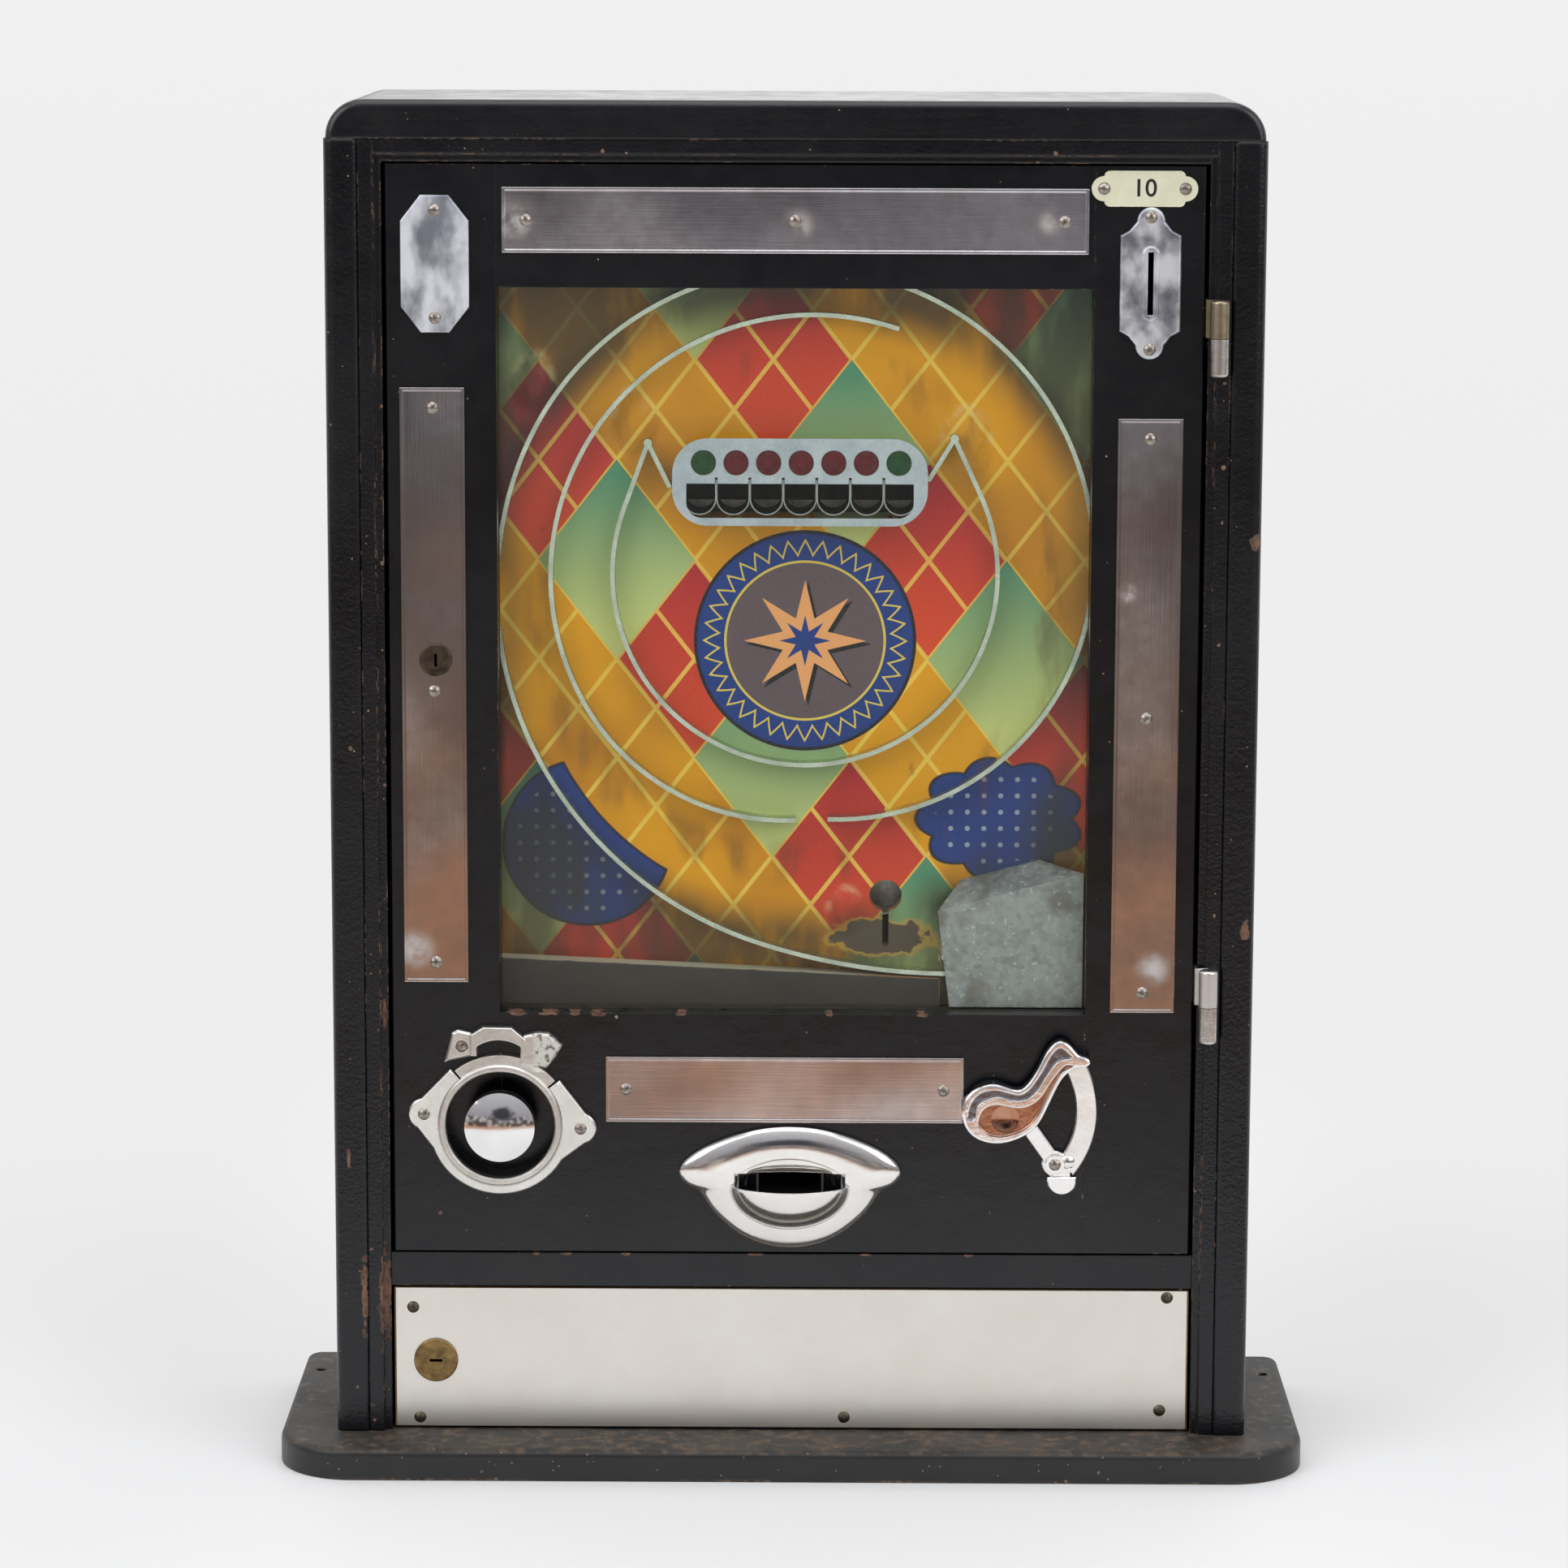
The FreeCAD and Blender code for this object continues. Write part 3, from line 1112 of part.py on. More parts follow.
def make_knob():
    rim = Y_DOOR - KNOB_RIM_OUT
    cap = dome(KNOB_X, KNOB_Z, KNOB_R, KNOB_DOME, rim)
    inside = KNOB_R - KNOB_SKIRT_WALL
    skirt = rod_y(KNOB_X, KNOB_Z, KNOB_R, rim, rim + KNOB_SKIRT)
    skirt = skirt.cut(rod_y(KNOB_X, KNOB_Z, inside, rim + KNOB_SKIRT_WALL, rim + KNOB_SKIRT + OVER))
    spindle = rod_y(KNOB_X, KNOB_Z, KNOB_SPINDLE_R, rim + OVER, Y_CRANK + CRANK_T)
    return fuse_all([cap, skirt, spindle])


def make_bushes():
    bushes = []
    for x, z, shaft_r, y0 in ((LEVER_X, LEVER_Z, LEVER_SHAFT_R, Y_DOOR),
                              (KNOB_X, KNOB_Z, KNOB_SPINDLE_R, Y_DOOR + KNOB_WELL_D)):
        sleeve = tube_y(x, z, shaft_r + BUSH_WALL, shaft_r + RUN_FIT, y0, Y_BUSH_BACK)
        flange = tube_y(x, z, shaft_r + 2 * BUSH_WALL, shaft_r + RUN_FIT, Y_DOOR_BACK, Y_BUSH_BACK)
        bushes.append(sleeve.fuse(flange).removeSplitter())
    return bushes


def crank_pin():
    return on_circle((KNOB_X, KNOB_Z), CRANK_R, 90 + CRANK_TURN / 2)


def make_crank():
    pin = crank_pin()
    y1 = Y_CRANK + CRANK_T
    arm = bar((KNOB_X, KNOB_Z), pin, CRANK_W, Y_CRANK, y1)
    eye = rod_y(KNOB_X, KNOB_Z, KNOB_SPINDLE_R + CRANK_EYE_WALL, Y_CRANK, y1)
    tip = rod_y(*pin, CRANK_W / 2, Y_CRANK, y1)
    stud = rod_y(*pin, CRANK_PIN_R, y1 - OVER, y1 + CRANK_PIN_LONG)
    bore = rod_y(KNOB_X, KNOB_Z, KNOB_SPINDLE_R + SEAT_FIT / 2, Y_CRANK - OVER, y1 + OVER)
    return fuse_all([arm, eye, tip, stud]).cut(bore)


# The payout cup

def cup_outline(shrink, y):
    """The cup's outline at depth y, shrunk towards its middle."""
    left = [(-px, pz) for px, pz in CUP_OUTLINE_LOW[1:]] + [(-px, pz) for px, pz in CUP_OUTLINE]
    right = list(CUP_OUTLINE[-2::-1]) + list(CUP_OUTLINE_LOW[:0:-1])
    points = left + right + [CUP_OUTLINE_LOW[0]]
    smaller = [(shrink * px, CUP_MIDDLE + shrink * (pz - CUP_MIDDLE)) for px, pz in points]
    return smooth_wire(moved(smaller, PAYOUT_X, CUP_Z), y, 0)


def spindle(half, radius, y, z, degrees):
    """A form like half an egg on its side, turned about an axis across the door from the front down."""
    x = PAYOUT_X
    ellipse = Part.Ellipse(V(x, y, z), half, radius)
    arc = Part.ArcOfEllipse(ellipse, math.pi, 2 * math.pi).toShape()
    axis = Part.LineSegment(V(x + half, y, z), V(x - half, y, z)).toShape()
    return Part.Face(Part.Wire([arc, axis])).revolve(V(x, y, z), ALONG_X, degrees)


def make_cup():
    """A casting that swells like a cushion, a bowl below its mouth, and the way in from the chute."""
    x = PAYOUT_X
    y0 = Y_DOOR - CUP_FLANGE_T
    t = CUP_WALL
    flange = Part.Face(cup_outline(1, Y_DOOR)).extrude(V(0, -CUP_FLANGE_T, 0))
    wires = []
    for i in range(CUP_STEPS + 1):
        turn = math.radians(90 * i / CUP_STEPS)
        wires.append(cup_outline(1 - CUP_SHRINK * (1 - math.cos(turn)), y0 - CUP_SWELL * math.sin(turn)))
    cushion = Part.makeLoft(wires, True, False)
    lip = CUP_Z + CUP_LIP_Z
    mouth = CUP_Z + CUP_MOUTH_Z
    bowl = spindle(CUP_BOWL_W, CUP_BOWL_R, Y_DOOR, lip, 90)
    inside = spindle(CUP_BOWL_W - t, CUP_BOWL_R - t, Y_DOOR, lip, 90)
    w = CUP_BOWL_W
    inside = inside.cut(box(x - w, x + w, Y_DOOR - t, Y_DOOR + OVER, lip - CUP_BOWL_R, lip + OVER))
    w = CUP_MOUTH_W / 2
    mouth_cut = box(x - w, x + w, Y_DOOR - 2 * CUP_BOWL_R, Y_DOOR - t, lip, mouth)
    scoop = spindle(CUP_SCOOP_W, CUP_SCOOP_R, y0 - CUP_SWELL, mouth, 360)
    w = CUP_BACK_W / 2
    opening = box(x - w, x + w, Y_DOOR - CUP_FLANGE_T - OVER, Y_DOOR + OVER, *payout_mouth())
    return cut_all(fuse_all([flange, cushion, bowl]), [inside, mouth_cut, scoop, opening])


# The shooter

def make_quadrant():
    """An arc for the lever's tip, an arm down from its axis, and the stop below their meeting point."""
    centre = (LEVER_X, LEVER_Z)
    front = Y_DOOR - QUAD_T
    middle = (QUAD_IN_R + QUAD_OUT_R) / 2
    width = QUAD_OUT_R - QUAD_IN_R
    arc = band([(centre, middle, QUAD_TOP, QUAD_LOW)], front, Y_DOOR, width)
    arm_start, knob, stop = moved((QUAD_ARM_START, QUAD_KNOB_AT, STOP_AT), *centre)
    arc_end = rod_y(*on_circle(centre, middle, QUAD_TOP), width / 2, front, Y_DOOR)
    arm = bar(arm_start, QUAD_BOSS, QUAD_ARM_W, front, Y_DOOR)
    base = rod_y(LEVER_X, LEVER_Z, QUAD_BASE_R, front, Y_DOOR)
    boss = rod_y(*QUAD_BOSS, QUAD_BOSS_R, front, Y_DOOR)
    steps = [((stop[0], stop[1] - STOP_H), (stop[0] + STOP_R, stop[1]))]
    tab = prism_y((stop[0] - STOP_R, stop[1]), steps, front - QUAD_COLLAR_OUT, Y_DOOR)
    tab = bevel_front(tab, QUAD_BEVEL, front - QUAD_COLLAR_OUT)
    neck = bar((stop[0], stop[1] - OVER), (stop[0], QUAD_BOSS[1]), STOP_NECK_W, front, Y_DOOR)
    flat = [bevel_front(shape, QUAD_BEVEL, front) for shape in (arc, arc_end, arm, base, boss)]
    collar = rod_y(*QUAD_BOSS, QUAD_COLLAR_R, front - QUAD_COLLAR_OUT, Y_DOOR)
    bead = dome(*knob, QUAD_KNOB_R, QUAD_COLLAR_OUT, front).fuse(rod_y(*knob, QUAD_KNOB_R, front, Y_DOOR))
    bore = rod_y(LEVER_X, LEVER_Z, LEVER_SHAFT_R + RUN_FIT, front - OVER, Y_DOOR + OVER)
    holes = screw_holes([QUAD_BOSS], front - 2 * QUAD_COLLAR_OUT, Y_DOOR + OVER)
    return cut_all(fuse_all(flat + [neck, tab, collar, bead]), [bore] + holes)


def hollow(points, depth, front):
    """A cutter with a smooth outline, measured from the lever's axis, and walls that lean inwards."""
    outline = moved(points, LEVER_X, LEVER_Z)
    slope = LEVER_SLOPE
    depths = [(front - OVER, 0), (front + 0.6 * depth, 0.3 * slope), (front + depth, slope)]
    return Part.makeLoft([smooth_wire(outline, y, inset) for y, inset in depths], True, True)


def make_lever():
    """A cast lever, hollowed on both sides of a ridge that curls from the tip into the boss."""
    front = Y_LEVER_BACK - LEVER_T
    floor = front + LEVER_HOLLOW_D
    body = cast_plate(moved(LEVER_OUTLINE, LEVER_X, LEVER_Z), Y_LEVER_BACK, front, LEVER_RIM)
    groove = hollow(LEVER_GROOVE, LEVER_GROOVE_D, front)
    well = hollow(LEVER_HOLLOW, LEVER_HOLLOW_D, front)
    dish_x = LEVER_X + LEVER_DISH_AT[0]
    dish_z = LEVER_Z + LEVER_DISH_AT[1]
    dish_r = (LEVER_DISH_R ** 2 + LEVER_DISH_D ** 2) / (2 * LEVER_DISH_D)
    dish = Part.makeSphere(dish_r, V(dish_x, floor + LEVER_DISH_D - dish_r, dish_z))
    dish = dish.common(rod_y(dish_x, dish_z, LEVER_DISH_R, floor - OVER / 2, Y_LEVER_BACK))
    shaft_end = Y_SPRING + SPRING_LONG + SHAFT_END
    shaft = rod_y(LEVER_X, LEVER_Z, LEVER_SHAFT_R, Y_LEVER_BACK - LEVER_SHAFT_GRIP, shaft_end)
    return fuse_all([cut_all(body, [groove, well, dish]), shaft])


def make_hammer():
    x = LEVER_X
    z = LEVER_Z
    y0 = Y_HAMMER
    y1 = Y_HAMMER + HAMMER_ARM_T
    head_back = y1 + HAMMER_HEAD_BACK
    half = HAMMER_HEAD_H / 2
    head = box(HAMMER_FACE_X, HAMMER_FACE_X + HAMMER_HEAD_L, head_back - HAMMER_HEAD_T, head_back,
               BALL_Z - half, BALL_Z + half)
    arm = bar((x, z), (HAMMER_FACE_X + HAMMER_HEAD_L / 2, BALL_Z), HAMMER_ARM_W, y0, y1)
    hub = rod_y(x, z, HAMMER_HUB_R, y0, y0 + HAMMER_HUB_T)
    peg_z = z + SPRING_IN_R + SPRING_WIRE
    peg = rod_y(x + SPRING_IN_R, peg_z, SPRING_PIN_R, y0 + OVER, Y_SPRING + SPRING_WIRE)
    bore = rod_y(x, z, LEVER_SHAFT_R + SEAT_FIT / 2, y0 - OVER, y0 + HAMMER_HUB_T + OVER)
    return fuse_all([hub, arm, head, peg]).cut(bore)


def spring_leg_x():
    return LEVER_X - SPRING_IN_R - SPRING_WIRE / 2


def spring_pin_place():
    return (spring_leg_x() - SPRING_WIRE / 2 - SPRING_PIN_R, LEVER_Z - SPRING_LEG + SPRING_HOOK)


def make_spring():
    """A torsion spring round the shaft, drawn as a sleeve, with one leg down to its pin."""
    coil = tube_y(LEVER_X, LEVER_Z, SPRING_IN_R + SPRING_WIRE, SPRING_IN_R, Y_SPRING, Y_SPRING + SPRING_LONG)
    x = spring_leg_x()
    half = 0.4 * SPRING_WIRE
    low = LEVER_Z - SPRING_LEG
    leg = box(x - half, x + half, Y_SPRING + SLIDE_PLAY, Y_SPRING + SPRING_WIRE, low, LEVER_Z)
    return coil.fuse(leg).removeSplitter()


def make_spring_pin():
    x, z = spring_pin_place()
    return rod_y(x, z, SPRING_PIN_R, Y_DOOR_BACK - SPRING_PIN_IN, Y_SPRING + 2 * SPRING_WIRE)


# The playfield

def field_openings(y0, y1):
    wall = CUP_BORE_R + CUP_SHEET + SEAT_FIT
    half = (CUP_COUNT - 1) * CUP_PITCH / 2 + wall
    y0 -= OVER
    y1 += OVER
    row = box(CUP_ROW_X - half, CUP_ROW_X + half, y0, y1, CUP_ROW_Z - wall, CUP_ROW_Z + CUP_SIDE_H + SEAT_FIT)
    hole = rod_y(BALL_HOLE_X, BALL_HOLE_Z, BALL_HOLE_R, y0, y1)
    half = KEY_SLOT_W / 2
    key = box(BALL_HOLE_X - half, BALL_HOLE_X + half, y0, y1, BALL_HOLE_Z - KEY_SLOT_DOWN, BALL_HOLE_Z)
    return [row, hole, key]


def make_field(y0, y1):
    sheet = box(-X_FIELD, X_FIELD, y0, y1, Z_FIELD_LOW, Z_FIELD_TOP)
    return cut_all(sheet, field_openings(y0, y1))


def make_battens():
    x1 = X_FIELD - BATTEN_IN
    x0 = x1 - BATTEN_W
    left = box(-x1, -x0, Y_DOOR_BACK, Y_PRINT, Z_FIELD_LOW, Z_FIELD_TOP)
    right = box(x0, x1, Y_DOOR_BACK, Y_PRINT, Z_SILL + RIGHT_BATTEN_UP, Z_FIELD_TOP)
    top = box(-x0, x0, Y_DOOR_BACK, Y_PRINT, Z_FIELD_TOP - BATTEN_W, Z_FIELD_TOP)
    return [left, right, top]


def rail_along(centre, radii, angles):
    return band(tangent_arcs(centre, radii, angles), Y_RAIL, Y_PRINT, RAIL_T)


def make_inner_rail():
    """An arc round the badge, a straight rise at each end, and a leg down to the row of cups."""
    pieces = [band([(INNER_CENTRE, INNER_R, *INNER_ANGLES)], Y_RAIL, Y_PRINT, RAIL_T)]
    for i, side in enumerate((-1, 1)):
        reach = PLATE_W / 2 + LEG_GAPS[i]
        foot = on_circle(INNER_CENTRE, INNER_R, INNER_ANGLES[i])
        apex = on_circle(foot, INNER_RISE_RATIOS[i] * WINDOW_W, INNER_ANGLES[i] + side * 90)
        end = (CUP_ROW_X + side * reach, PLATE_SLOT_TOP + LEG_ENDS[i])
        pieces.append(bar(foot, apex, RAIL_T, Y_RAIL, Y_PRINT))
        pieces.append(bar(apex, end, RAIL_T, Y_RAIL, Y_PRINT))
        pieces.append(rod_y(*apex, APEX_R, Y_RAIL, Y_PRINT))
    return fuse_all(pieces)


def lens_places():
    pitch = CUP_PITCH - LENS_CLOSER
    return [CUP_ROW_X + LENS_SHIFT + (i - (CUP_COUNT - 1) / 2) * pitch for i in range(CUP_COUNT)]


def make_cup_plate():
    """The plate in front of the cups, its slot and notches, and the wall round its lower half."""
    x0 = CUP_ROW_X - PLATE_W / 2
    x1 = CUP_ROW_X + PLATE_W / 2
    z0 = CUP_ROW_Z - PLATE_DOWN
    z1 = CUP_ROW_Z + PLATE_UP
    t = PLATE_WALL_T
    y0 = Y_PLATE - OVER
    y1 = Y_PRINT + OVER
    start, steps = rounded(x0, x1, z0, z1, [PLATE_CORNER_R] * 4)
    plate = prism_y(start, steps, Y_PLATE, Y_PLATE_BACK)
    wall = prism_y(start, steps, Y_PLATE, Y_PRINT)
    start, steps = rounded(x0 + t, x1 - t, z0 + t, z1 + OVER, [PLATE_CORNER_R - t] * 4)
    wall = wall.cut(prism_y(start, steps, y0, y1))
    wall = wall.cut(box(x0 - OVER, x1 + OVER, y0, y1, PLATE_SLOT_TOP, z1 + OVER))
    slot_z = CUP_ROW_Z - PLATE_SLOT_DOWN
    small = PLATE_SLOT_CORNER_R
    start, steps = rounded(x0 + PLATE_SLOT_IN, x1 - PLATE_SLOT_IN, slot_z, PLATE_SLOT_TOP,
                           [CUP_BORE_R, CUP_BORE_R, small, small])
    cuts = [prism_y(start, steps, y0, Y_PLATE_BACK + OVER)]
    for i in range(1, CUP_COUNT):
        x = CUP_ROW_X + (i - CUP_COUNT / 2) * CUP_PITCH
        cuts.append(box(x - NOTCH_W / 2, x + NOTCH_W / 2, y0, Y_PLATE_BACK + OVER,
                        PLATE_SLOT_TOP - OVER, PLATE_SLOT_TOP + NOTCH_H))
    for x in lens_places():
        cuts.append(rod_y(x, LENS_Z, LENS_R + SEAT_FIT, y0, Y_PLATE_BACK + OVER))
    pillars = [rod_y(x, z, PILLAR_R, Y_PLATE_BACK - PLATE_T / 2, Y_PRINT)
               for x, z in moved(PILLARS, CUP_ROW_X, CUP_ROW_Z)]
    return fuse_all([cut_all(plate, cuts), wall] + pillars)


def make_lens(x):
    lip = rod_y(x, LENS_Z, LENS_R + LENS_LIP, Y_PLATE_BACK, Y_PLATE_BACK + LENS_LIP_T)
    return rod_y(x, LENS_Z, LENS_R, Y_PLATE + LENS_SUNK, Y_PLATE_BACK).fuse(lip).removeSplitter()


def make_cups():
    """Seven channels side by side that lead the ball back through the board."""
    y0 = Y_PLATE_BACK + SEAT_FIT
    y1 = Y_FIELD_BACK + CUP_BEHIND
    top = CUP_ROW_Z + CUP_SIDE_H
    outer = []
    inner = []
    for i in range(CUP_COUNT):
        x = CUP_ROW_X + (i - (CUP_COUNT - 1) / 2) * CUP_PITCH
        for r, shapes, lift in ((CUP_BORE_R + CUP_SHEET, outer, 0), (CUP_BORE_R, inner, OVER)):
            steps = [(x - r, CUP_ROW_Z), ((x, CUP_ROW_Z - r), (x + r, CUP_ROW_Z)), (x + r, top + lift)]
            shapes.append(prism_y((x - r, top + lift), steps, y0 - lift, y1 + lift))
    return cut_all(fuse_all(outer), inner)


def make_gutter():
    x0 = BATTEN_IN + BATTEN_W - X_FIELD
    x1 = BALL_X - GUTTER_END
    rail_low = OUTER_CENTRE[1] - OUTER_RADIUS_RATIOS[0] * WINDOW_W - RAIL_T / 2
    corners = [(x1, Z_FIELD_LOW), (x1, rail_low - GUTTER_GAP), (x0, Z_SILL + GUTTER_RISE_RATIO * WINDOW_W)]
    return prism_y((x0, Z_FIELD_LOW), corners, Y_DOOR_BACK, Y_PRINT)


def make_cover():
    """A sheet folded in two: a face behind the glass, and a roof that slopes up to the board."""
    y0 = Y_COVER
    xl = BALL_X - COVER_LEFT
    xr = X_WINDOW - COVER_EDGE_GAP
    zl = BALL_Z + COVER_RISE
    zr = zl + (xr - xl) * COVER_SLOPE
    low = Z_SILL + COVER_SILL_GAP
    front = prism_y((xl, zl), [(xr, zr), (xr, low), (BALL_X - COVER_LEFT_FOOT, low)], y0, y0 + COVER_T)

    def back_corner(x):
        return V(x, Y_PRINT, zl + (x - xl) * COVER_SLOPE + COVER_ROOF_RISE)

    a = V(xl, y0, zl)
    b = V(xr, y0, zr)
    outline = [a, b, back_corner(xr - COVER_ROOF_IN_RIGHT), back_corner(xl + COVER_ROOF_IN_LEFT), a]
    down = V(COVER_SLOPE * (Y_PRINT - y0), COVER_ROOF_RISE, y0 - Y_PRINT)
    down.normalize()
    roof = Part.Face(Part.makePolygon(outline)).extrude(down * COVER_T)
    roof = roof.common(box(xl - COVER_LEFT, xr + COVER_LEFT, y0 - COVER_LEFT, Y_PRINT, low, Z_WINDOW_TOP))
    return front.fuse(roof).removeSplitter()


def make_ball():
    return Part.makeSphere(BALL_R, V(BALL_X, Y_BALL, BALL_Z))


# The coin path and the ball return

def make_coin_chute():
    """The channel that a coin falls down on edge, from the slot to the runway."""
    t = SHEET_T
    y0 = Y_DOOR_BACK
    lane0 = Y_LANE - TUBE_R
    lane1 = Y_LANE + TUBE_R
    z0 = COIN_PLATE_Z - COIN_SLOT_H / 2
    z1 = COIN_PLATE_Z + COIN_SLOT_H / 2
    bend0 = z0 - CHUTE_BEND_FRONT
    bend1 = z1 - CHUTE_BEND_BACK
    foot = Z_CHUTE_FOOT
    half = COIN_T / 2 + CHUTE_SIDE_PLAY
    outer = prism_x((y0, z1 + t), [(lane0, z1 + t), (lane1 + t, bend1), (lane1 + t, foot), (lane0 - t, foot),
                                   (lane0 - t, bend0), (y0, z0 - t)], X_STILE - half - t, X_STILE + half + t)
    inner = prism_x((y0 - OVER, z1), [(lane0, z1), (lane1, bend1), (lane1, foot - OVER), (lane0, foot - OVER),
                                      (lane0, bend0), (y0 - OVER, z0)], X_STILE - half, X_STILE + half)
    return outer.cut(inner)


def make_runway():
    """The open trough that a coin slides down flat, with a hole over the tube and two tabs."""
    t = SHEET_T
    wall = RUNWAY_WALL
    lane0 = Y_LANE - TUBE_R
    lane1 = Y_LANE + TUBE_R
    x0 = TUBE_X - TUBE_R - 2 * t
    edge = TUBE_X + TUBE_R + t
    x1 = X_STILE + COIN_T / 2 + CHUTE_SIDE_PLAY + t
    high = Z_CHUTE_FOOT - CHUTE_DROP
    low = Z_RUNWAY_END
    slope = (high - wall - low) / (x1 - edge)
    steps = [(x1, high - wall), (edge, low), (x0, low), (x0, low + 2 * wall), (edge, low + wall)]
    trough = prism_y((x1, high), steps, lane0 - t, lane1 + t)
    hollow = prism_y((x1 - t, high + OVER), [(x1 - t, high - wall + t), (edge, low + t), (x0 + t, low + t),
                                             (x0 + t, low + 2 * wall + OVER), (edge, low + wall + OVER)], lane0, lane1)
    tabs = []
    for offset in RUNWAY_TAB_AT:
        x = edge + offset
        z = low + slope * offset
        tabs.append(box(x, x + RUNWAY_TAB_W, Y_FIELD_BACK, lane0 - t, z + wall / 2, z + wall))
    drop = rod_z(TUBE_X, Y_LANE, TUBE_R, low - OVER, low + t + OVER)
    return fuse_all([trough] + tabs).cut(hollow).cut(drop)


def make_coin_tube():
    """The tube that holds the coins in a stack, over the hole in the guide plate."""
    low = SLIDE_TOP + SLIDE_PLAY + SHEET_T
    inside = rod_z(TUBE_X, Y_LANE, TUBE_R, low - OVER, Z_RUNWAY_END + OVER)
    return rod_z(TUBE_X, Y_LANE, TUBE_R + SHEET_T, low, Z_RUNWAY_END).cut(inside)


def make_slide():
    """A flat bar as thick as a coin, with one coin hole, and an upright lug for the crank's pin."""
    pin_x, pin_z = crank_pin()
    lug_y = Y_CRANK + CRANK_T + SLIDE_LUG_GAP
    half = SLIDE_LUG_W / 2
    lug = box(pin_x - half, pin_x + half, lug_y, lug_y + SLIDE_LUG_T, SLIDE_Z, pin_z + CRANK_W)
    rise = CRANK_R * (1 - math.cos(math.radians(CRANK_TURN / 2)))
    slot_half = CRANK_PIN_R + CRANK_PIN_PLAY
    end = CRANK_PIN_R + SLIDE_PLAY
    slot = box(pin_x - slot_half, pin_x + slot_half, lug_y - OVER, lug_y + SLIDE_LUG_T + OVER,
               pin_z - end, pin_z + rise + end)
    y0 = Y_LANE - SLIDE_W / 2
    y1 = Y_LANE + SLIDE_W / 2
    left = TUBE_X - TUBE_R - SLIDE_TRAVEL - SLIDE_LINK_W - 2 * SLIDE_END
    arm = box(pin_x - half, left + SLIDE_LINK_W, lug_y, lug_y + SLIDE_ARM_W, SLIDE_Z, SLIDE_TOP)
    link = box(left, left + SLIDE_LINK_W, lug_y, y1, SLIDE_Z, SLIDE_TOP)
    wide = box(left, TUBE_X + TUBE_R + SLIDE_END, y0, y1, SLIDE_Z, SLIDE_TOP)
    hole = rod_z(TUBE_X, Y_LANE, TUBE_R, SLIDE_Z - OVER, SLIDE_TOP + OVER)
    return fuse_all([lug.cut(slot), arm, wide, link]).cut(hole)


def make_bracket():
    """The folded plate on the back of the door, with the slide's guides and their cover plate."""
    top = SLIDE_Z - SLIDE_PLAY
    under = top - BRACKET_T
    x0 = TUBE_X - TUBE_R - BRACKET_LEFT
    x1 = PAYOUT_X + TUBE_R + BRACKET_RIGHT
    g0 = TUBE_X - TUBE_R - SLIDE_END
    g1 = PAYOUT_X + TUBE_R + GUIDE_END
    y0 = Y_LANE - GUIDE_OUT
    y1 = Y_LANE + GUIDE_OUT
    cover_low = SLIDE_TOP + SLIDE_PLAY
    plate = box(x0, x1, Y_DOOR_BACK, y1, under, top)
    fold = box(x0, x1, Y_DOOR_BACK, Y_DOOR_BACK + BRACKET_T, top - BRACKET_FOLD, top)
    front = box(g0, g1, y0, y0 + GUIDE_W - SLIDE_PLAY, under, cover_low + SHEET_T)
    back = box(g0, g1, y1 - GUIDE_W + SLIDE_PLAY, y1, under, cover_low + SHEET_T)
    cover = box(g0, g1, y0, y1, cover_low, cover_low + SHEET_T)
    tube_hole = rod_z(TUBE_X, Y_LANE, TUBE_R, cover_low - OVER / 2, cover_low + SHEET_T + OVER)
    drop = rod_z(PAYOUT_X, Y_LANE, TUBE_R, under - OVER, top + OVER / 2)
    return cut_all(fuse_all([plate, fold, front, back, cover]), [tube_hole, drop])


def payout_mouth():
    """The height span that the payout chute takes up in the door."""
    edge = SHEET_T + SEAT_FIT
    return PAYOUT_FLOOR - edge, PAYOUT_FLOOR + PAYOUT_HEADROOM + edge


def make_payout_chute():
    t = SHEET_T
    top = SLIDE_Z - SLIDE_PLAY - BRACKET_T
    back = Y_LANE + TUBE_R + PAYOUT_EASE
    lead = Y_LANE - TUBE_R - PAYOUT_EASE
    turn = Y_DOOR_BACK + PAYOUT_BEND
    floor = top - PAYOUT_DROP
    low = PAYOUT_FLOOR
    high = low + PAYOUT_HEADROOM
    slope = (floor - low) / (back - turn)
    ceiling = min(high + slope * (lead - turn), top - 2 * t)
    half = PAYOUT_W / 2
    steps = [(back + t, floor - t), (turn, low - t), (Y_DOOR, low - t), (Y_DOOR, high + t)]
    steps += [(turn, high + t), (lead - t, ceiling + t), (lead - t, top)]
    outer = prism_x((back + t, top), steps, PAYOUT_X - half - t, PAYOUT_X + half + t)
    steps = [(back, floor), (turn, low), (Y_DOOR - OVER, low), (Y_DOOR - OVER, high)]
    steps += [(turn, high), (lead, ceiling), (lead, top + OVER)]
    inner = prism_x((back, top + OVER), steps, PAYOUT_X - half, PAYOUT_X + half)
    return outer.cut(inner)


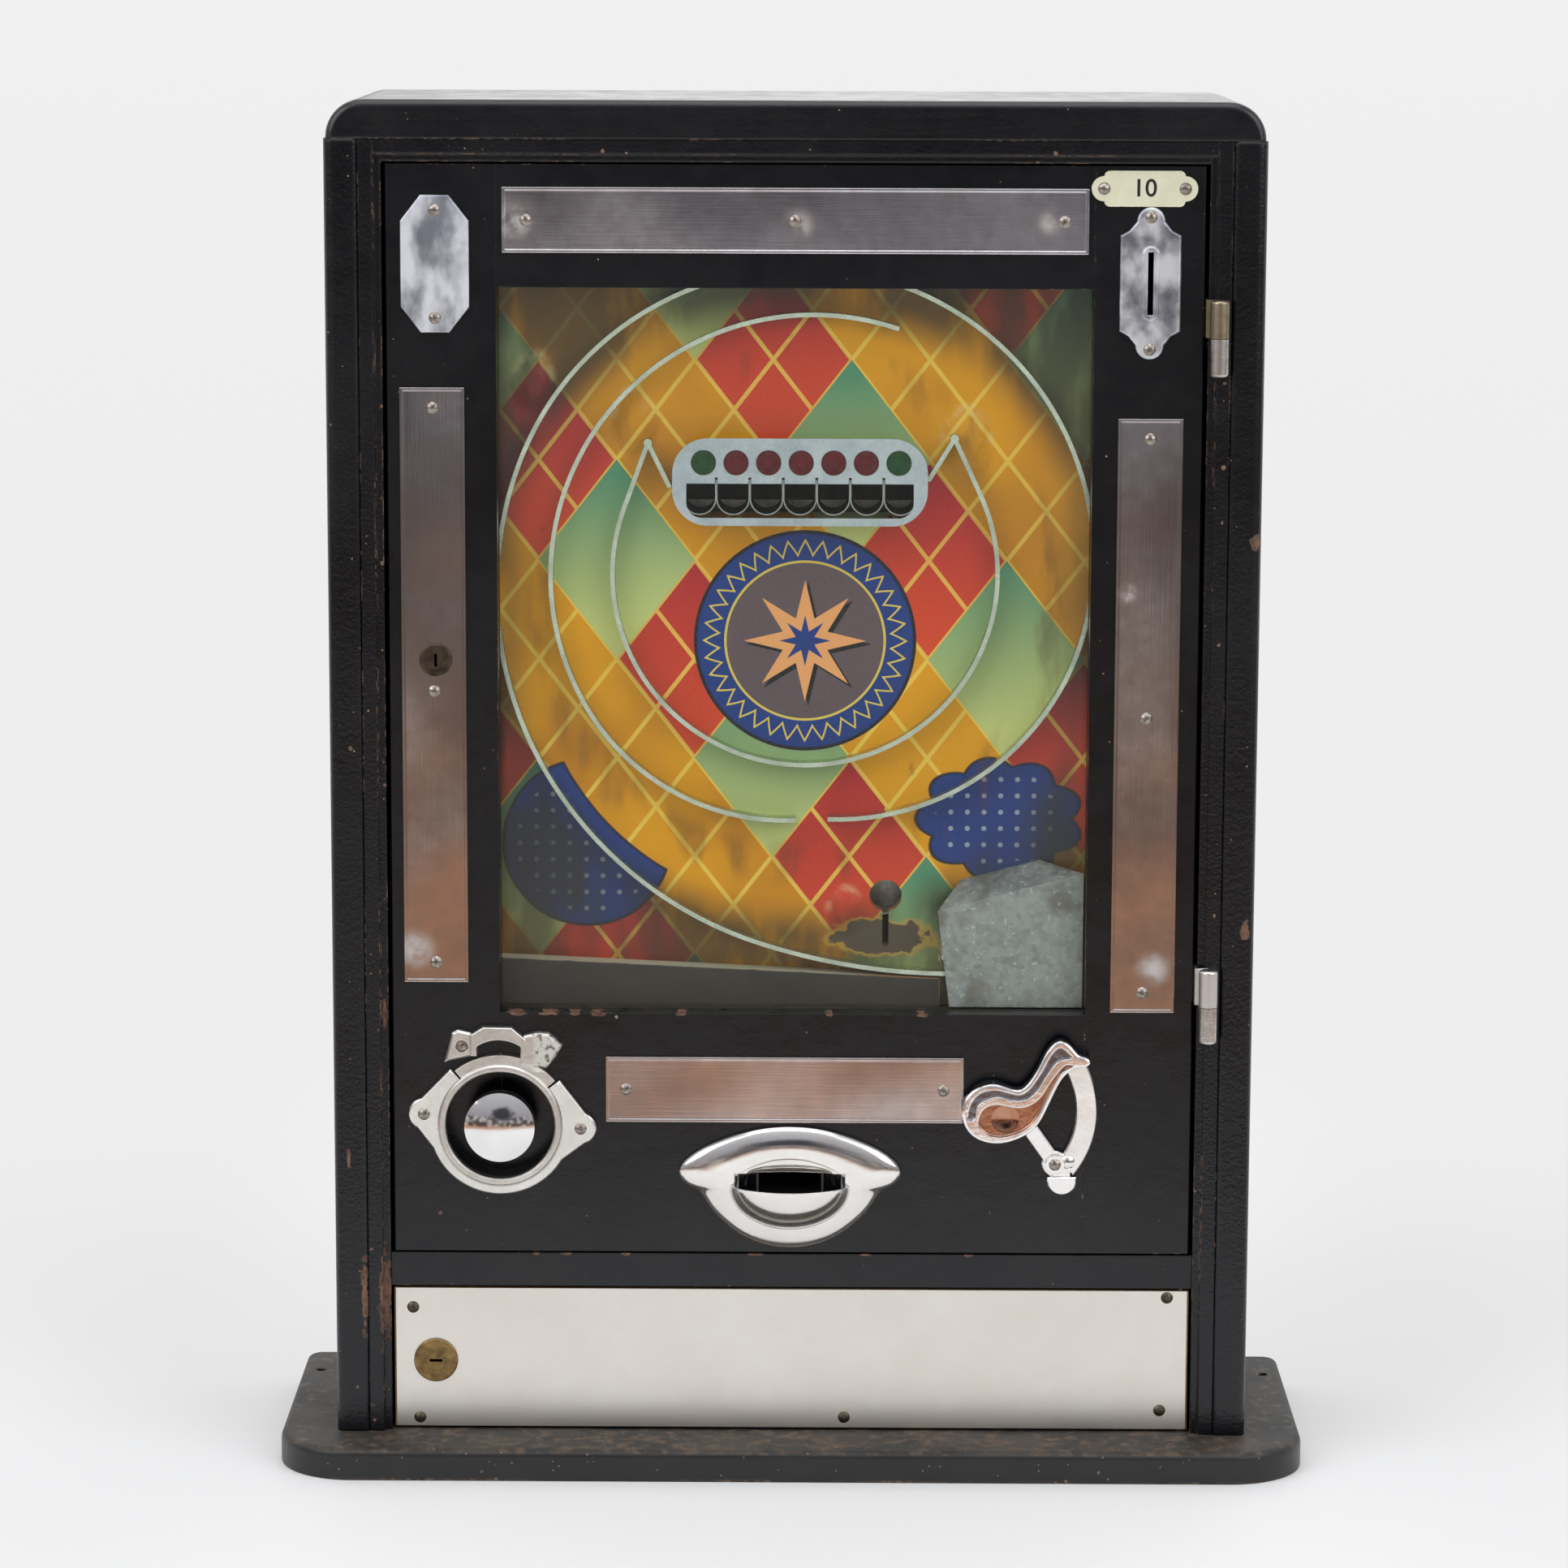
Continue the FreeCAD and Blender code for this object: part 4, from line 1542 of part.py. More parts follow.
def make_ball_return():
    """A tray behind the board that leads the ball from the cups to the hole beside the hammer."""
    t = SHEET_T
    y0 = Y_FIELD_BACK
    y1 = y0 + RETURN_W
    x0 = CUP_ROW_X - CUP_ROW_W / 2 - RETURN_END
    x1 = BALL_HOLE_X + RETURN_DROP
    x2 = x1 + RETURN_W
    hole_x = BALL_HOLE_X - BALL_HOLE_R
    left = CUP_ROW_Z - RETURN_DOWN
    right = left - RETURN_FALL
    top = left + RETURN_WALL_H
    roof = BALL_HOLE_Z + BALL_HOLE_R + RETURN_ROOF
    foot = BALL_HOLE_Z - BALL_HOLE_R - RETURN_FOOT
    foot_end = foot + RETURN_ROOF
    steps = [(x0 - t, left - t), (x1 - t, right - t), (x1 - t, roof), (hole_x - t, roof)]
    steps += [(hole_x - t, foot - t), (x2 + t, foot_end - t), (x2 + t, top)]
    outer = prism_y((x0 - t, top), steps, y0, y1 + t)
    steps = [(x0, left), (x1, right), (x1, roof - t), (hole_x, roof - t)]
    steps += [(hole_x, foot), (x2, foot_end), (x2, top + OVER)]
    inner = prism_y((x0, top + OVER), steps, y0 - OVER, y1)
    return outer.cut(inner)


# Locks

def make_lock(x, z, face, back, head_r):
    """The fixed barrel of a cam lock, from the face it shows on to the back of the wood."""
    front = face - LOCK_HEAD_T
    head = rod_y(x, z, head_r, front, face)
    head = soften(head, LOCK_HEAD_T / 2, lambda b: at(b.YMin, front) and at(b.YMax, front))
    body = rod_y(x, z, LOCK_BODY_R, face - LOCK_HEAD_T / 2, back)
    return fuse_all([head, body]).cut(rod_y(x, z, LOCK_PLUG_R + RUN_FIT, front - OVER, back + OVER))


def make_plug(x, z, face, back, cam_long, keyway):
    """The turning plug with its keyway, and the cam behind it, pointing up when unlocked."""
    y0 = back + SLIDE_PLAY
    y1 = y0 + LOCK_CAM_T
    front = face - LOCK_HEAD_T + LOCK_PLUG_SUNK
    w = LOCK_CAM_W / 2
    end = z + cam_long
    steps = [((x, z - w), (x + w, z)), (x + w, end - w), ((x, end), (x - w, end - w))]
    plug = rod_y(x, z, LOCK_PLUG_R, front, y1).fuse(prism_y((x - w, z), steps, y0, y1)).removeSplitter()
    w = keyway[0] / 2
    h = keyway[1] / 2
    return plug.cut(box(x - w, x + w, front - OVER, front + LOCK_KEYWAY_D, z - h, z + h))


# The cash door

def make_cash_panel():
    panel = box(-X_CASH, X_CASH, Y_CASH_PANEL, Y_CASH_BACK, Z_CASH_LOW, Z_CASH_TOP)
    holes = screw_holes(CASH_SCREWS + [cash_stud()], Y_DOOR, Y_DOOR + SCREW_SHANK_L + SEAT_FIT)
    lock = rod_y(CASH_LOCK_X, CASH_LOCK_Z, LOCK_BODY_R + SEAT_FIT, Y_DOOR - OVER, Y_CASH_BACK + OVER)
    return cut_all(panel, holes + [lock] + cash_pivot_pins(SEAT_FIT))


def cash_stud():
    return (CASH_STUD_X, Z_CASH_LOW + SCREW_HEAD_R + CASH_STUD_UP)


def cash_pivot_pins(play):
    """Two pins on the line that the cash door turns about. With play they are their holes."""
    pins = []
    for edge, outward in ((Z_CASH_LOW, -1), (Z_CASH_TOP, 1)):
        long = CASH_PIVOT_LONG + play
        ends = [edge - outward * long, edge + outward * (CASH_GAP + long)]
        pins.append(rod_z(CASH_PIVOT_X, CASH_PIVOT_Y, CASH_PIVOT_R + play, *sorted(ends)))
    return pins


def make_cash_plate():
    x = X_CASH - CASH_PLATE_EDGE
    plate = box(-x, x, Y_DOOR, Y_CASH_PANEL, Z_CASH_LOW, Z_CASH_TOP)
    holes = screw_holes(CASH_SCREWS + [cash_stud()], Y_DOOR - OVER, Y_CASH_PANEL + OVER)
    lock = rod_y(CASH_LOCK_X, CASH_LOCK_Z, LOCK_BODY_R + SEAT_FIT, Y_DOOR - OVER, Y_CASH_PANEL + OVER)
    return cut_all(plate, holes + [lock])


def make_cash_fixings():
    return [screw(x, z, Y_DOOR) for x, z in CASH_SCREWS + [cash_stud()]] + cash_pivot_pins(0)


def save_case():
    save("base_board", make_base())
    save("left_side_board", make_side(-1))
    save("right_side_board", make_side(1))
    save("top_board", make_top())
    save("back_panel", make_back())
    save("back_panel_screws", *back_screws())
    save("door_bead", *make_bead())
    save("lower_rail", make_lower_rail())
    save("cash_shelf", make_shelf())
    save("cash_box", make_cash_box())
    save("hinge_pin_knuckles", *[make_case_hinge(z) for z in HINGE_HEIGHTS])


def save_front_door():
    save("door_left_stile", make_stile(-1))
    save("door_right_stile", make_stile(1))
    save("door_top_rail", make_top_rail())
    save("door_lower_panel", make_lower_panel())
    save("window_glass", make_glass())
    save("glass_beads", *make_glass_beads())
    save("top_strip", dished_strip(0, TOP_STRIP_Z, TOP_STRIP_L, STRIP_W, TOP_STRIP_SCREWS))
    save("side_strips", *make_side_strips())
    place = (LOWER_STRIP_X, LOWER_STRIP_Z)
    save("lower_strip", dished_strip(*place, LOWER_STRIP_L, LOWER_STRIP_H, LOWER_STRIP_SCREWS))
    save("octagon_plate", make_eight_plate())
    save("coin_plate", make_coin_plate())
    save("label_plate", make_label())
    save("plate_screws", *make_door_screws(), make_spring_pin())
    save("knob_escutcheon", make_escutcheon())
    save("knob_bracket", make_knob_bracket())
    save("payout_cup", make_cup())
    save("lever_quadrant", make_quadrant())
    save("hinge_door_knuckles", *[make_door_hinge(z) for z in HINGE_HEIGHTS])
    save("door_lock_barrel", make_lock(LOCK_X, LOCK_Z, Y_SCREW, Y_DOOR_BACK, LOCK_HEAD_R))
    save("shaft_bushes", *make_bushes())


def save_playfield():
    save("playfield_board", make_field(Y_FIELD, Y_FIELD_BACK))
    save("playfield_print", make_field(Y_PRINT, Y_FIELD))
    save("playfield_battens", *make_battens())
    save("outer_rail", rail_along(OUTER_CENTRE, OUTER_RADIUS_RATIOS, OUTER_ANGLES))
    save("second_rail", rail_along(SECOND_CENTRE, SECOND_RADIUS_RATIOS, SECOND_ANGLES))
    save("inner_rail", make_inner_rail())
    save("cup_plate", make_cup_plate())
    lenses = [make_lens(x) for x in lens_places()]
    save("green_lenses", lenses[0], lenses[-1])
    save("red_lenses", *lenses[1:-1])
    save("ball_cups", make_cups())
    save("ball_gutter", make_gutter())
    save("hammer_cover", make_cover())
    save("steel_ball", make_ball())


def save_mechanism():
    save("coin_chute", make_coin_chute(), make_runway(), make_coin_tube())
    save("mechanism_bracket", make_bracket())
    save("payout_chute", make_payout_chute())
    save("ball_return", make_ball_return())
    save("payout_slide", make_slide())
    save("payout_knob", make_knob())
    save("knob_crank", make_crank())
    save("shooter_lever", make_lever())
    save("hammer", make_hammer())
    save("shooter_spring", make_spring())
    save("door_lock_plug", make_plug(LOCK_X, LOCK_Z, Y_SCREW, Y_DOOR_BACK, LOCK_CAM_LONG, LOCK_KEYWAY))


def save_cash_door():
    save("cash_door_panel", make_cash_panel())
    save("cash_door_plate", make_cash_plate())
    save("cash_door_fixings", *make_cash_fixings())
    save("cash_lock_barrel", make_lock(CASH_LOCK_X, CASH_LOCK_Z, Y_DOOR, Y_CASH_BACK, CASH_LOCK_HEAD_R))
    plug = make_plug(CASH_LOCK_X, CASH_LOCK_Z, Y_DOOR, Y_CASH_BACK, CASH_CAM_LONG, CASH_KEYWAY)
    save("cash_lock_plug", plug)


os.makedirs("parts", exist_ok=True)
save_case()
save_front_door()
save_playfield()
save_mechanism()
save_cash_door()
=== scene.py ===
# %% [markdown]
# A coin-operated pin game: a black painted case that stands on a counter, with a glazed front
# door, a flick lever, a payout knob and a cash door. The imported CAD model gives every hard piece
# its shape and place. This script gives those pieces their finishes, and adds the small things
# that are quicker to make here, such as slotted screw heads and pressed glass lenses.

# %% Load the frame
import math

import bmesh
import bpy
from mathutils import Matrix, Quaternion, Vector


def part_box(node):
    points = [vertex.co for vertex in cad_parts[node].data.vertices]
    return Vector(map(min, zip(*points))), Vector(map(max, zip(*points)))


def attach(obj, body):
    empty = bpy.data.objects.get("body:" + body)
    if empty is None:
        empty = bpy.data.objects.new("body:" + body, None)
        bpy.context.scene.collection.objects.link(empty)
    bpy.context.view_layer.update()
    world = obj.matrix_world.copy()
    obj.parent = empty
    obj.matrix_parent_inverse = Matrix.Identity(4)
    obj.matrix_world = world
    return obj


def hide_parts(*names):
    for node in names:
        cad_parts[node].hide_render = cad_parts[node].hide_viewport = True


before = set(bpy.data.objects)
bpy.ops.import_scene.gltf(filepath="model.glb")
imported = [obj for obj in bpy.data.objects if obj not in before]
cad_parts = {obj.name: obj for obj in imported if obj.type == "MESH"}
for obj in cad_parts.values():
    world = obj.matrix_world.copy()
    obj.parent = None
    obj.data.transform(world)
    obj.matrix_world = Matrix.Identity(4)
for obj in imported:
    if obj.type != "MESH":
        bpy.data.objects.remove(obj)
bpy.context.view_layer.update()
MM = 0.001

# %% [markdown]
# The camera stands where the photograph was taken from: a little above the top of the case,
# almost three metres off, with a long lens. A long lens keeps the sides of the case nearly
# parallel. The direction is written as two angles and the small tilt as a third, so that each
# can be tuned.

# %% Camera
CAMERA_PLACE = Vector((10.9, -2736.7, 829.0)) * MM
CAMERA_DOWN = 0.1674
CAMERA_LEFT = 0.0059
CAMERA_TILT = 0.0034
FOCAL_PIXELS = 6250
PHOTO_PIXELS = 1932
SENSOR = 36.0

camera_data = bpy.data.cameras.new("camera")
camera_data.sensor_fit = "HORIZONTAL"
camera_data.sensor_width = SENSOR
camera_data.lens = FOCAL_PIXELS / PHOTO_PIXELS * SENSOR
camera_data.clip_end = 50
camera = bpy.data.objects.new("camera", camera_data)
bpy.context.scene.collection.objects.link(camera)
level = math.cos(CAMERA_DOWN)
look = Vector((-math.sin(CAMERA_LEFT) * level, math.cos(CAMERA_LEFT) * level, -math.sin(CAMERA_DOWN)))
turn = look.to_track_quat("-Z", "Y") @ Quaternion((0, 0, 1), CAMERA_TILT)
camera.matrix_world = Matrix.Translation(CAMERA_PLACE) @ turn.to_matrix().to_4x4()
bpy.context.scene.camera = camera
bpy.context.scene.view_settings.view_transform = "Standard"
print("lens", round(camera_data.lens, 1), "mm")

# %% [markdown]
# Shader nodes can be wired by hand, but a long pattern is easier to read as a formula. These few
# helpers add a node, fill its sockets, and let numbers that change over a surface be added and
# multiplied with the usual signs.

# %% Node helpers
def fill(tree, socket, item):
    """Links a socket to an item, or sets it where the item is a plain number or colour."""
    if isinstance(item, Field):
        item = item.socket
    if isinstance(item, bpy.types.NodeSocket):
        tree.links.new(item, socket)
    else:
        socket.default_value = item


def add(tree, kind, inputs=None, **settings):
    """A new node with its settings, and its inputs by name or number."""
    node = tree.nodes.new(kind)
    for name, value in settings.items():
        setattr(node, name, value)
    for name, value in (inputs or {}).items():
        fill(tree, node.inputs[name], value)
    return node


class Field:
    """A number that changes over a surface."""

    def __init__(self, tree, socket):
        self.tree = tree
        self.socket = socket

    def math(self, operation, *others):
        values = dict(enumerate((self,) + others))
        node = add(self.tree, "ShaderNodeMath", values, operation=operation)
        return Field(self.tree, node.outputs[0])

    def __add__(self, other):
        return self.math("ADD", other)

    def __sub__(self, other):
        return self.math("SUBTRACT", other)

    def __mul__(self, other):
        return self.math("MULTIPLY", other)

    def __truediv__(self, other):
        return self.math("DIVIDE", other)

    def step(self, low, high):
        """0 below low, 1 above high, and smooth between. It falls where low is the larger."""
        values = {"Value": self, "From Min": low, "From Max": high}
        node = add(self.tree, "ShaderNodeMapRange", values, interpolation_type="SMOOTHSTEP")
        return Field(self.tree, node.outputs["Result"])

    def invert(self):
        return self.math("MULTIPLY", -1.0) + 1.0


def three_parts(tree, vector):
    """The x, y and z of a vector socket, as three Fields."""
    return [Field(tree, socket) for socket in add(tree, "ShaderNodeSeparateXYZ", {0: vector}).outputs]


def place_vector(tree):
    """The place on the surface in metres, as a vector socket."""
    return add(tree, "ShaderNodeTexCoord").outputs["Object"]


def surface_place(tree):
    """The place on the surface in metres, as three Fields."""
    return three_parts(tree, place_vector(tree))


def facing(tree):
    """Which way the surface faces, as three Fields from -1 to 1."""
    return three_parts(tree, add(tree, "ShaderNodeNewGeometry").outputs["Normal"])


def noise(tree, scale, detail=3.0, stretch=(1, 1, 1), seed=0.0):
    """Cloudy noise from 0 to 1, which a stretch above 1 squeezes along that axis."""
    values = {"Vector": place_vector(tree), "Location": (seed, seed, seed), "Scale": stretch}
    placed = add(tree, "ShaderNodeMapping", values).outputs[0]
    node = add(tree, "ShaderNodeTexNoise", {"Vector": placed, "Scale": scale, "Detail": detail})
    return Field(tree, node.outputs[0])


def drawn_out(along, squeeze):
    """The stretch that draws noise out along one axis, by squeezing it along the other two."""
    return [1.0 if axis == along else squeeze for axis in "xyz"]


def blend(tree, factor, first, second):
    """One colour where the factor is 0 and the other where it is 1."""
    node = add(tree, "ShaderNodeMix", {0: factor, 6: first, 7: second}, data_type="RGBA")
    return node.outputs[2]


def shade(red, green, blue):
    """A colour written as it looks on a screen, from 0 to 255, as the linear colour nodes use."""
    linear = [((c / 255 + 0.055) / 1.055) ** 2.4 if c > 10 else c / 255 / 12.92 for c in (red, green, blue)]
    return (*linear, 1.0)


print("helpers ready")

# %% [markdown]
# Wear, smudges and dust turn up on wood and on metal alike, so each is a node group that is
# built once and placed in a material with its own values. A group gives out a mask or a number,
# and the material decides which colour or gloss that mask drives.

# %% Group maker
def new_group(name, inputs, outputs):
    """An empty group with named number inputs and outputs, and its sockets to wire to."""
    tree = bpy.data.node_groups.new(name, "ShaderNodeTree")
    for label, value in inputs.items():
        socket = tree.interface.new_socket(label, in_out="INPUT", socket_type="NodeSocketFloat")
        socket.default_value = value
    for label in outputs:
        tree.interface.new_socket(label, in_out="OUTPUT", socket_type="NodeSocketFloat")
    given = {s.name: Field(tree, s) for s in tree.nodes.new("NodeGroupInput").outputs if s.name}
    result = tree.nodes.new("NodeGroupOutput").inputs
    return tree, given, result


def put_out(tree, result, **fields):
    """Wires finished fields to a group's outputs of those names."""
    for label, field in fields.items():
        tree.links.new(field.socket, result[label])


def place_group(tree, group, output, **values):
    """One output of a group placed in a material."""
    node = tree.nodes.new("ShaderNodeGroup")
    node.node_tree = group
    for label, value in values.items():
        fill(tree, node.inputs[label.replace("_", " ")], value)
    return Field(tree, node.outputs[output])


def scaled_noise(tree, scale, detail, stretch=(1, 1, 1), seed=0.0):
    """Noise whose scale is itself a group input."""
    field = noise(tree, 1.0, detail, stretch, seed)
    fill(tree, field.socket.node.inputs["Scale"], scale)
    return field


print("group maker ready")

# %% [markdown]
# Rounded normals differ from the true ones only near an edge, which is where paint rubs through.
# A broad noise lets the wear come in runs, with whole lengths of edge left black between them.

# %% Edge wear group
wear_inputs = {"Width": 2 * MM, "Scale": 120.0, "Amount": 0.5, "Runs": 0.5}
wear_tree, given, result = new_group("Edge wear", wear_inputs, ["Mask"])
soft_normal = add(wear_tree, "ShaderNodeBevel", {"Radius": given["Width"]}, samples=4).outputs[0]
true_normal = add(wear_tree, "ShaderNodeNewGeometry").outputs["Normal"]
dot = add(wear_tree, "ShaderNodeVectorMath", {0: soft_normal, 1: true_normal}, operation="DOT_PRODUCT")
edge = Field(wear_tree, dot.outputs["Value"]).invert().step(0.01, 0.12)
patches = scaled_noise(wear_tree, given["Scale"], 4.0)
runs = noise(wear_tree, 16.0, 3.0, seed=11.0)
patch_limit = given["Amount"].invert()
run_limit = given["Runs"].invert()
patchy = patches.step(patch_limit - 0.04, patch_limit + 0.04)
in_runs = runs.step(run_limit - 0.03, run_limit + 0.03)
put_out(wear_tree, result, Mask=edge * patchy * in_runs)
print("group", wear_tree.name)

# %% [markdown]
# Small specks where paint has flaked: the middles of a few cells of a cell pattern.

# %% Chips group
chip_tree, given, result = new_group("Chips", {"Scale": 60.0, "Amount": 0.2, "Size": 0.2}, ["Mask"])
bent = noise(chip_tree, 400.0, 2.0)
cell_inputs = {"Vector": place_vector(chip_tree), "Scale": given["Scale"]}
cells = add(chip_tree, "ShaderNodeTexVoronoi", cell_inputs)
chance = add(chip_tree, "ShaderNodeSeparateColor", {0: cells.outputs["Color"]}).outputs[0]
near = Field(chip_tree, cells.outputs["Distance"]) + bent * 0.25
chosen = Field(chip_tree, chance).step(given["Amount"].invert(), given["Amount"].invert() + 0.02)
spot = near.step(given["Size"] + 0.15, given["Size"] + 0.1)
put_out(chip_tree, result, Mask=chosen * spot)
print("group", chip_tree.name)

# %% [markdown]
# Broad cloudy marks with finer ones inside them, as hands leave on metal.

# %% Smudges group
smudge_tree, given, result = new_group("Smudges", {"Scale": 12.0, "Contrast": 0.2}, ["Value"])
broad = scaled_noise(smudge_tree, given["Scale"], 5.0)
fine = scaled_noise(smudge_tree, given["Scale"] * 9.0, 3.0, seed=3.0)
cloud = broad * 0.7 + fine * 0.3
low = given["Contrast"].invert() * 0.5
put_out(smudge_tree, result, Value=cloud.step(low - 0.05, low.invert() + 0.05))
print("group", smudge_tree.name)

# %% [markdown]
# Dust and dull wear settle on faces that look up.

# %% Dust group
dust_tree, given, result = new_group("Dust", {"Amount": 0.6, "Scale": 30.0}, ["Mask"])
upward = facing(dust_tree)[2].step(0.5, 0.95)
speckle = scaled_noise(dust_tree, given["Scale"], 6.0)
put_out(dust_tree, result, Mask=upward * speckle.step(0.75, 0.35) * given["Amount"])
print("group", dust_tree.name)

# %% [markdown]
# Every finish ends in one Principled shader. This helper makes the material and wires the
# fields that change over the surface. Plain numbers go straight on the shader's own sockets.

# %% Finish maker
def new_material(name):
    material = bpy.data.materials.new(name)
    material.use_nodes = True
    tree = material.node_tree
    tree.nodes.clear()
    return material, tree


def finish(tree, color, roughness, metallic=0.0, height=None, depth=0.0, rim=0.0, **sockets):
    """The shader and output of a material. The height is in units of depth, and the normals are
    rounded within the rim's width of an edge. Both are in metres."""
    surface = {"Base Color": color, "Roughness": roughness, "Metallic": metallic}
    shader = add(tree, "ShaderNodeBsdfPrincipled", surface)
    for label, value in sockets.items():
        fill(tree, shader.inputs[label.replace("_", " ")], value)
    if height is not None:
        bump = add(tree, "ShaderNodeBump", {"Height": height, "Distance": depth, "Strength": 1.0})
        if rim:
            rounded = add(tree, "ShaderNodeBevel", {"Radius": rim}, samples=6)
            tree.links.new(rounded.outputs[0], bump.inputs["Normal"])
        tree.links.new(bump.outputs[0], shader.inputs["Normal"])
    output = tree.nodes.new("ShaderNodeOutputMaterial")
    tree.links.new(shader.outputs[0], output.inputs[0])
    return shader


def part_clear(tree, shader, amount, tint=(1, 1, 1, 1)):
    """Makes a finish clear where the amount is 1 and leaves it solid where it is 0."""
    clear = add(tree, "ShaderNodeBsdfTransparent", {0: tint})
    mixed = add(tree, "ShaderNodeMixShader", {0: amount, 1: shader.outputs[0], 2: clear.outputs[0]})
    output = next(node for node in tree.nodes if node.type == "OUTPUT_MATERIAL")
    tree.links.new(mixed.outputs[0], output.inputs[0])


def dress(material, *names):
    """Puts a material in every slot of these CAD nodes."""
    for name in names:
        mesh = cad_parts[name].data
        mesh.materials.clear()
        mesh.materials.append(material)


print("finish maker ready")

# %% [markdown]
# The case is softwood under many coats of black gloss. The paint is thick enough to hide most
# of the grain, but brush marks and dents still catch the light. It has rubbed through to brown
# along every edge, with pale chips where it was knocked.

# %% Black paint
BLACK = shade(3, 6, 11)
DULL_BLACK = shade(12, 15, 20)
BROWN = shade(64, 46, 36)
TAN = shade(150, 116, 88)
KNOCKED = shade(138, 100, 78)
KNOCK_BACK = (-36 * MM, -46 * MM)


def knock(tree, ragged, place):
    """A ragged bare patch about a place on the front, given as x, z and two half-widths in mm.
    It fades out a little behind the front, at KNOCK_BACK."""
    x, y, z = surface_place(tree)
    dx = (x - place[0] * MM) / (place[2] * MM)
    dz = (z - place[1] * MM) / (place[3] * MM)
    distance = (dx * dx + dz * dz).math("SQRT") + ragged
    return distance.step(1.05, 0.8) * y.step(*KNOCK_BACK)


def black_paint(name, along, wear, chips, grained=0.5, wrinkled=0.1, rim=0.7 * MM, knocks=(), **sockets):
    """Worn gloss paint on a board whose grain runs along one axis."""
    material, tree = new_material(name)
    grain = noise(tree, 14.0, 4.0, drawn_out(along, 14.0))
    dents = noise(tree, 55.0, 3.0)
    wrinkles = noise(tree, 520.0, 3.0)
    rubbed = place_group(tree, wear_tree, "Mask", Width=1.8 * MM, Scale=110.0, Amount=wear, Runs=0.5)
    pale = place_group(tree, wear_tree, "Mask", Width=1.0 * MM, Scale=300.0, Amount=wear + 0.02, Runs=0.46)
    flaked = place_group(tree, chip_tree, "Mask", Scale=110.0, Amount=chips, Size=0.11)
    specks = place_group(tree, chip_tree, "Mask", Scale=260.0, Amount=chips * 0.8, Size=0.12)
    fluff = place_group(tree, chip_tree, "Mask", Scale=330.0, Amount=0.022, Size=0.1)
    dull = place_group(tree, smudge_tree, "Value", Scale=9.0, Contrast=0.3)
    settled = place_group(tree, dust_tree, "Mask", Amount=0.25, Scale=60.0)
    ragged = (noise(tree, 190.0, 4.0, seed=6.0) - 0.5) * 3.0
    struck = None
    for place in knocks:
        patch = knock(tree, ragged, place)
        struck = patch if struck is None else struck.math("MAXIMUM", patch)
    color = blend(tree, dull * 0.6, BLACK, DULL_BLACK)
    color = blend(tree, settled, color, shade(84, 78, 70))
    color = blend(tree, rubbed, color, BROWN)
    color = blend(tree, pale, color, TAN)
    color = blend(tree, flaked, color, blend(tree, dents, BROWN, TAN))
    color = blend(tree, specks, color, TAN)
    color = blend(tree, fluff * 0.7, color, shade(134, 138, 142))
    bare = rubbed.math("MAXIMUM", flaked).math("MAXIMUM", specks)
    if struck is not None:
        color = blend(tree, struck, color, blend(tree, ragged + 0.5, BROWN, KNOCKED))
        bare = bare.math("MAXIMUM", struck)
    height = grain * grained + dents * 0.5 + wrinkles * wrinkled - bare * 0.6
    rough = dull * 0.14 + 0.16 + bare * 0.4 + settled * 0.5
    finish(tree, color, rough, height=height, depth=0.35 * MM, rim=rim, **sockets)
    return material


CASE_KNOCKS = ((-232, 94, 2.0, 22), (-240, 170, 1.2, 5), (245, 508, 3.0, 4), (243, 298, 2.5, 6))
BEAD_KNOCKS = ((-221, 95, 3.0, 26), (-220, 250, 1.2, 9), (214, 600, 1.2, 5), (216, 170, 1.0, 6))
paint_side = black_paint("black paint, side boards", "z", 0.42, 0.06, wrinkled=0.6, rim=3.0 * MM,
                         knocks=CASE_KNOCKS)
paint_bead = black_paint("black paint, bead", "z", 0.42, 0.14, wrinkled=0.6, rim=2.0 * MM,
                         knocks=BEAD_KNOCKS)
paint_across = black_paint("black paint, top", "x", 0.42, 0.06, wrinkled=0.4, rim=2.0 * MM,
                           Coat_Weight=0.3, Coat_Roughness=0.25)
dress(paint_side, "left_side_board", "right_side_board")
dress(paint_bead, "door_bead")
dress(paint_across, "top_board")
print("painted", paint_side.name, paint_across.name)

# %% [markdown]
# Hands and the glass have worn the door along the sill and the panel's lower edge.

# %% Door paint
SILL_KNOCKS = ((-150, 249.6, 5, 1.1), (-132, 249.6, 6, 1.0), (-118, 249.6, 4, 0.9),
               (-105, 249.6, 4, 1.0), (-60, 249.8, 3, 0.9), (20, 249.8, 2, 0.9), (70, 249.6, 3, 1.0),
               (-139, 116.2, 1.8, 0.9), (-122, 116.2, 2.5, 0.9), (-90, 116.2, 3, 1.0),
               (-20, 116.2, 5, 0.8), (40, 116.2, 3, 0.8), (96, 116.2, 2.5, 0.9), (172.3, 159, 1.5, 4.5))
paint_panel = black_paint("black paint, lower panel", "x", 0.34, 0.02, grained=0.06, knocks=SILL_KNOCKS)
paint_door = black_paint("black paint, door", "z", 0.34, 0.03, grained=0.2)
dress(paint_panel, "door_lower_panel", "lower_rail")
dress(paint_door, "door_left_stile", "door_right_stile", "door_top_rail")
print("painted", paint_panel.name, paint_door.name)
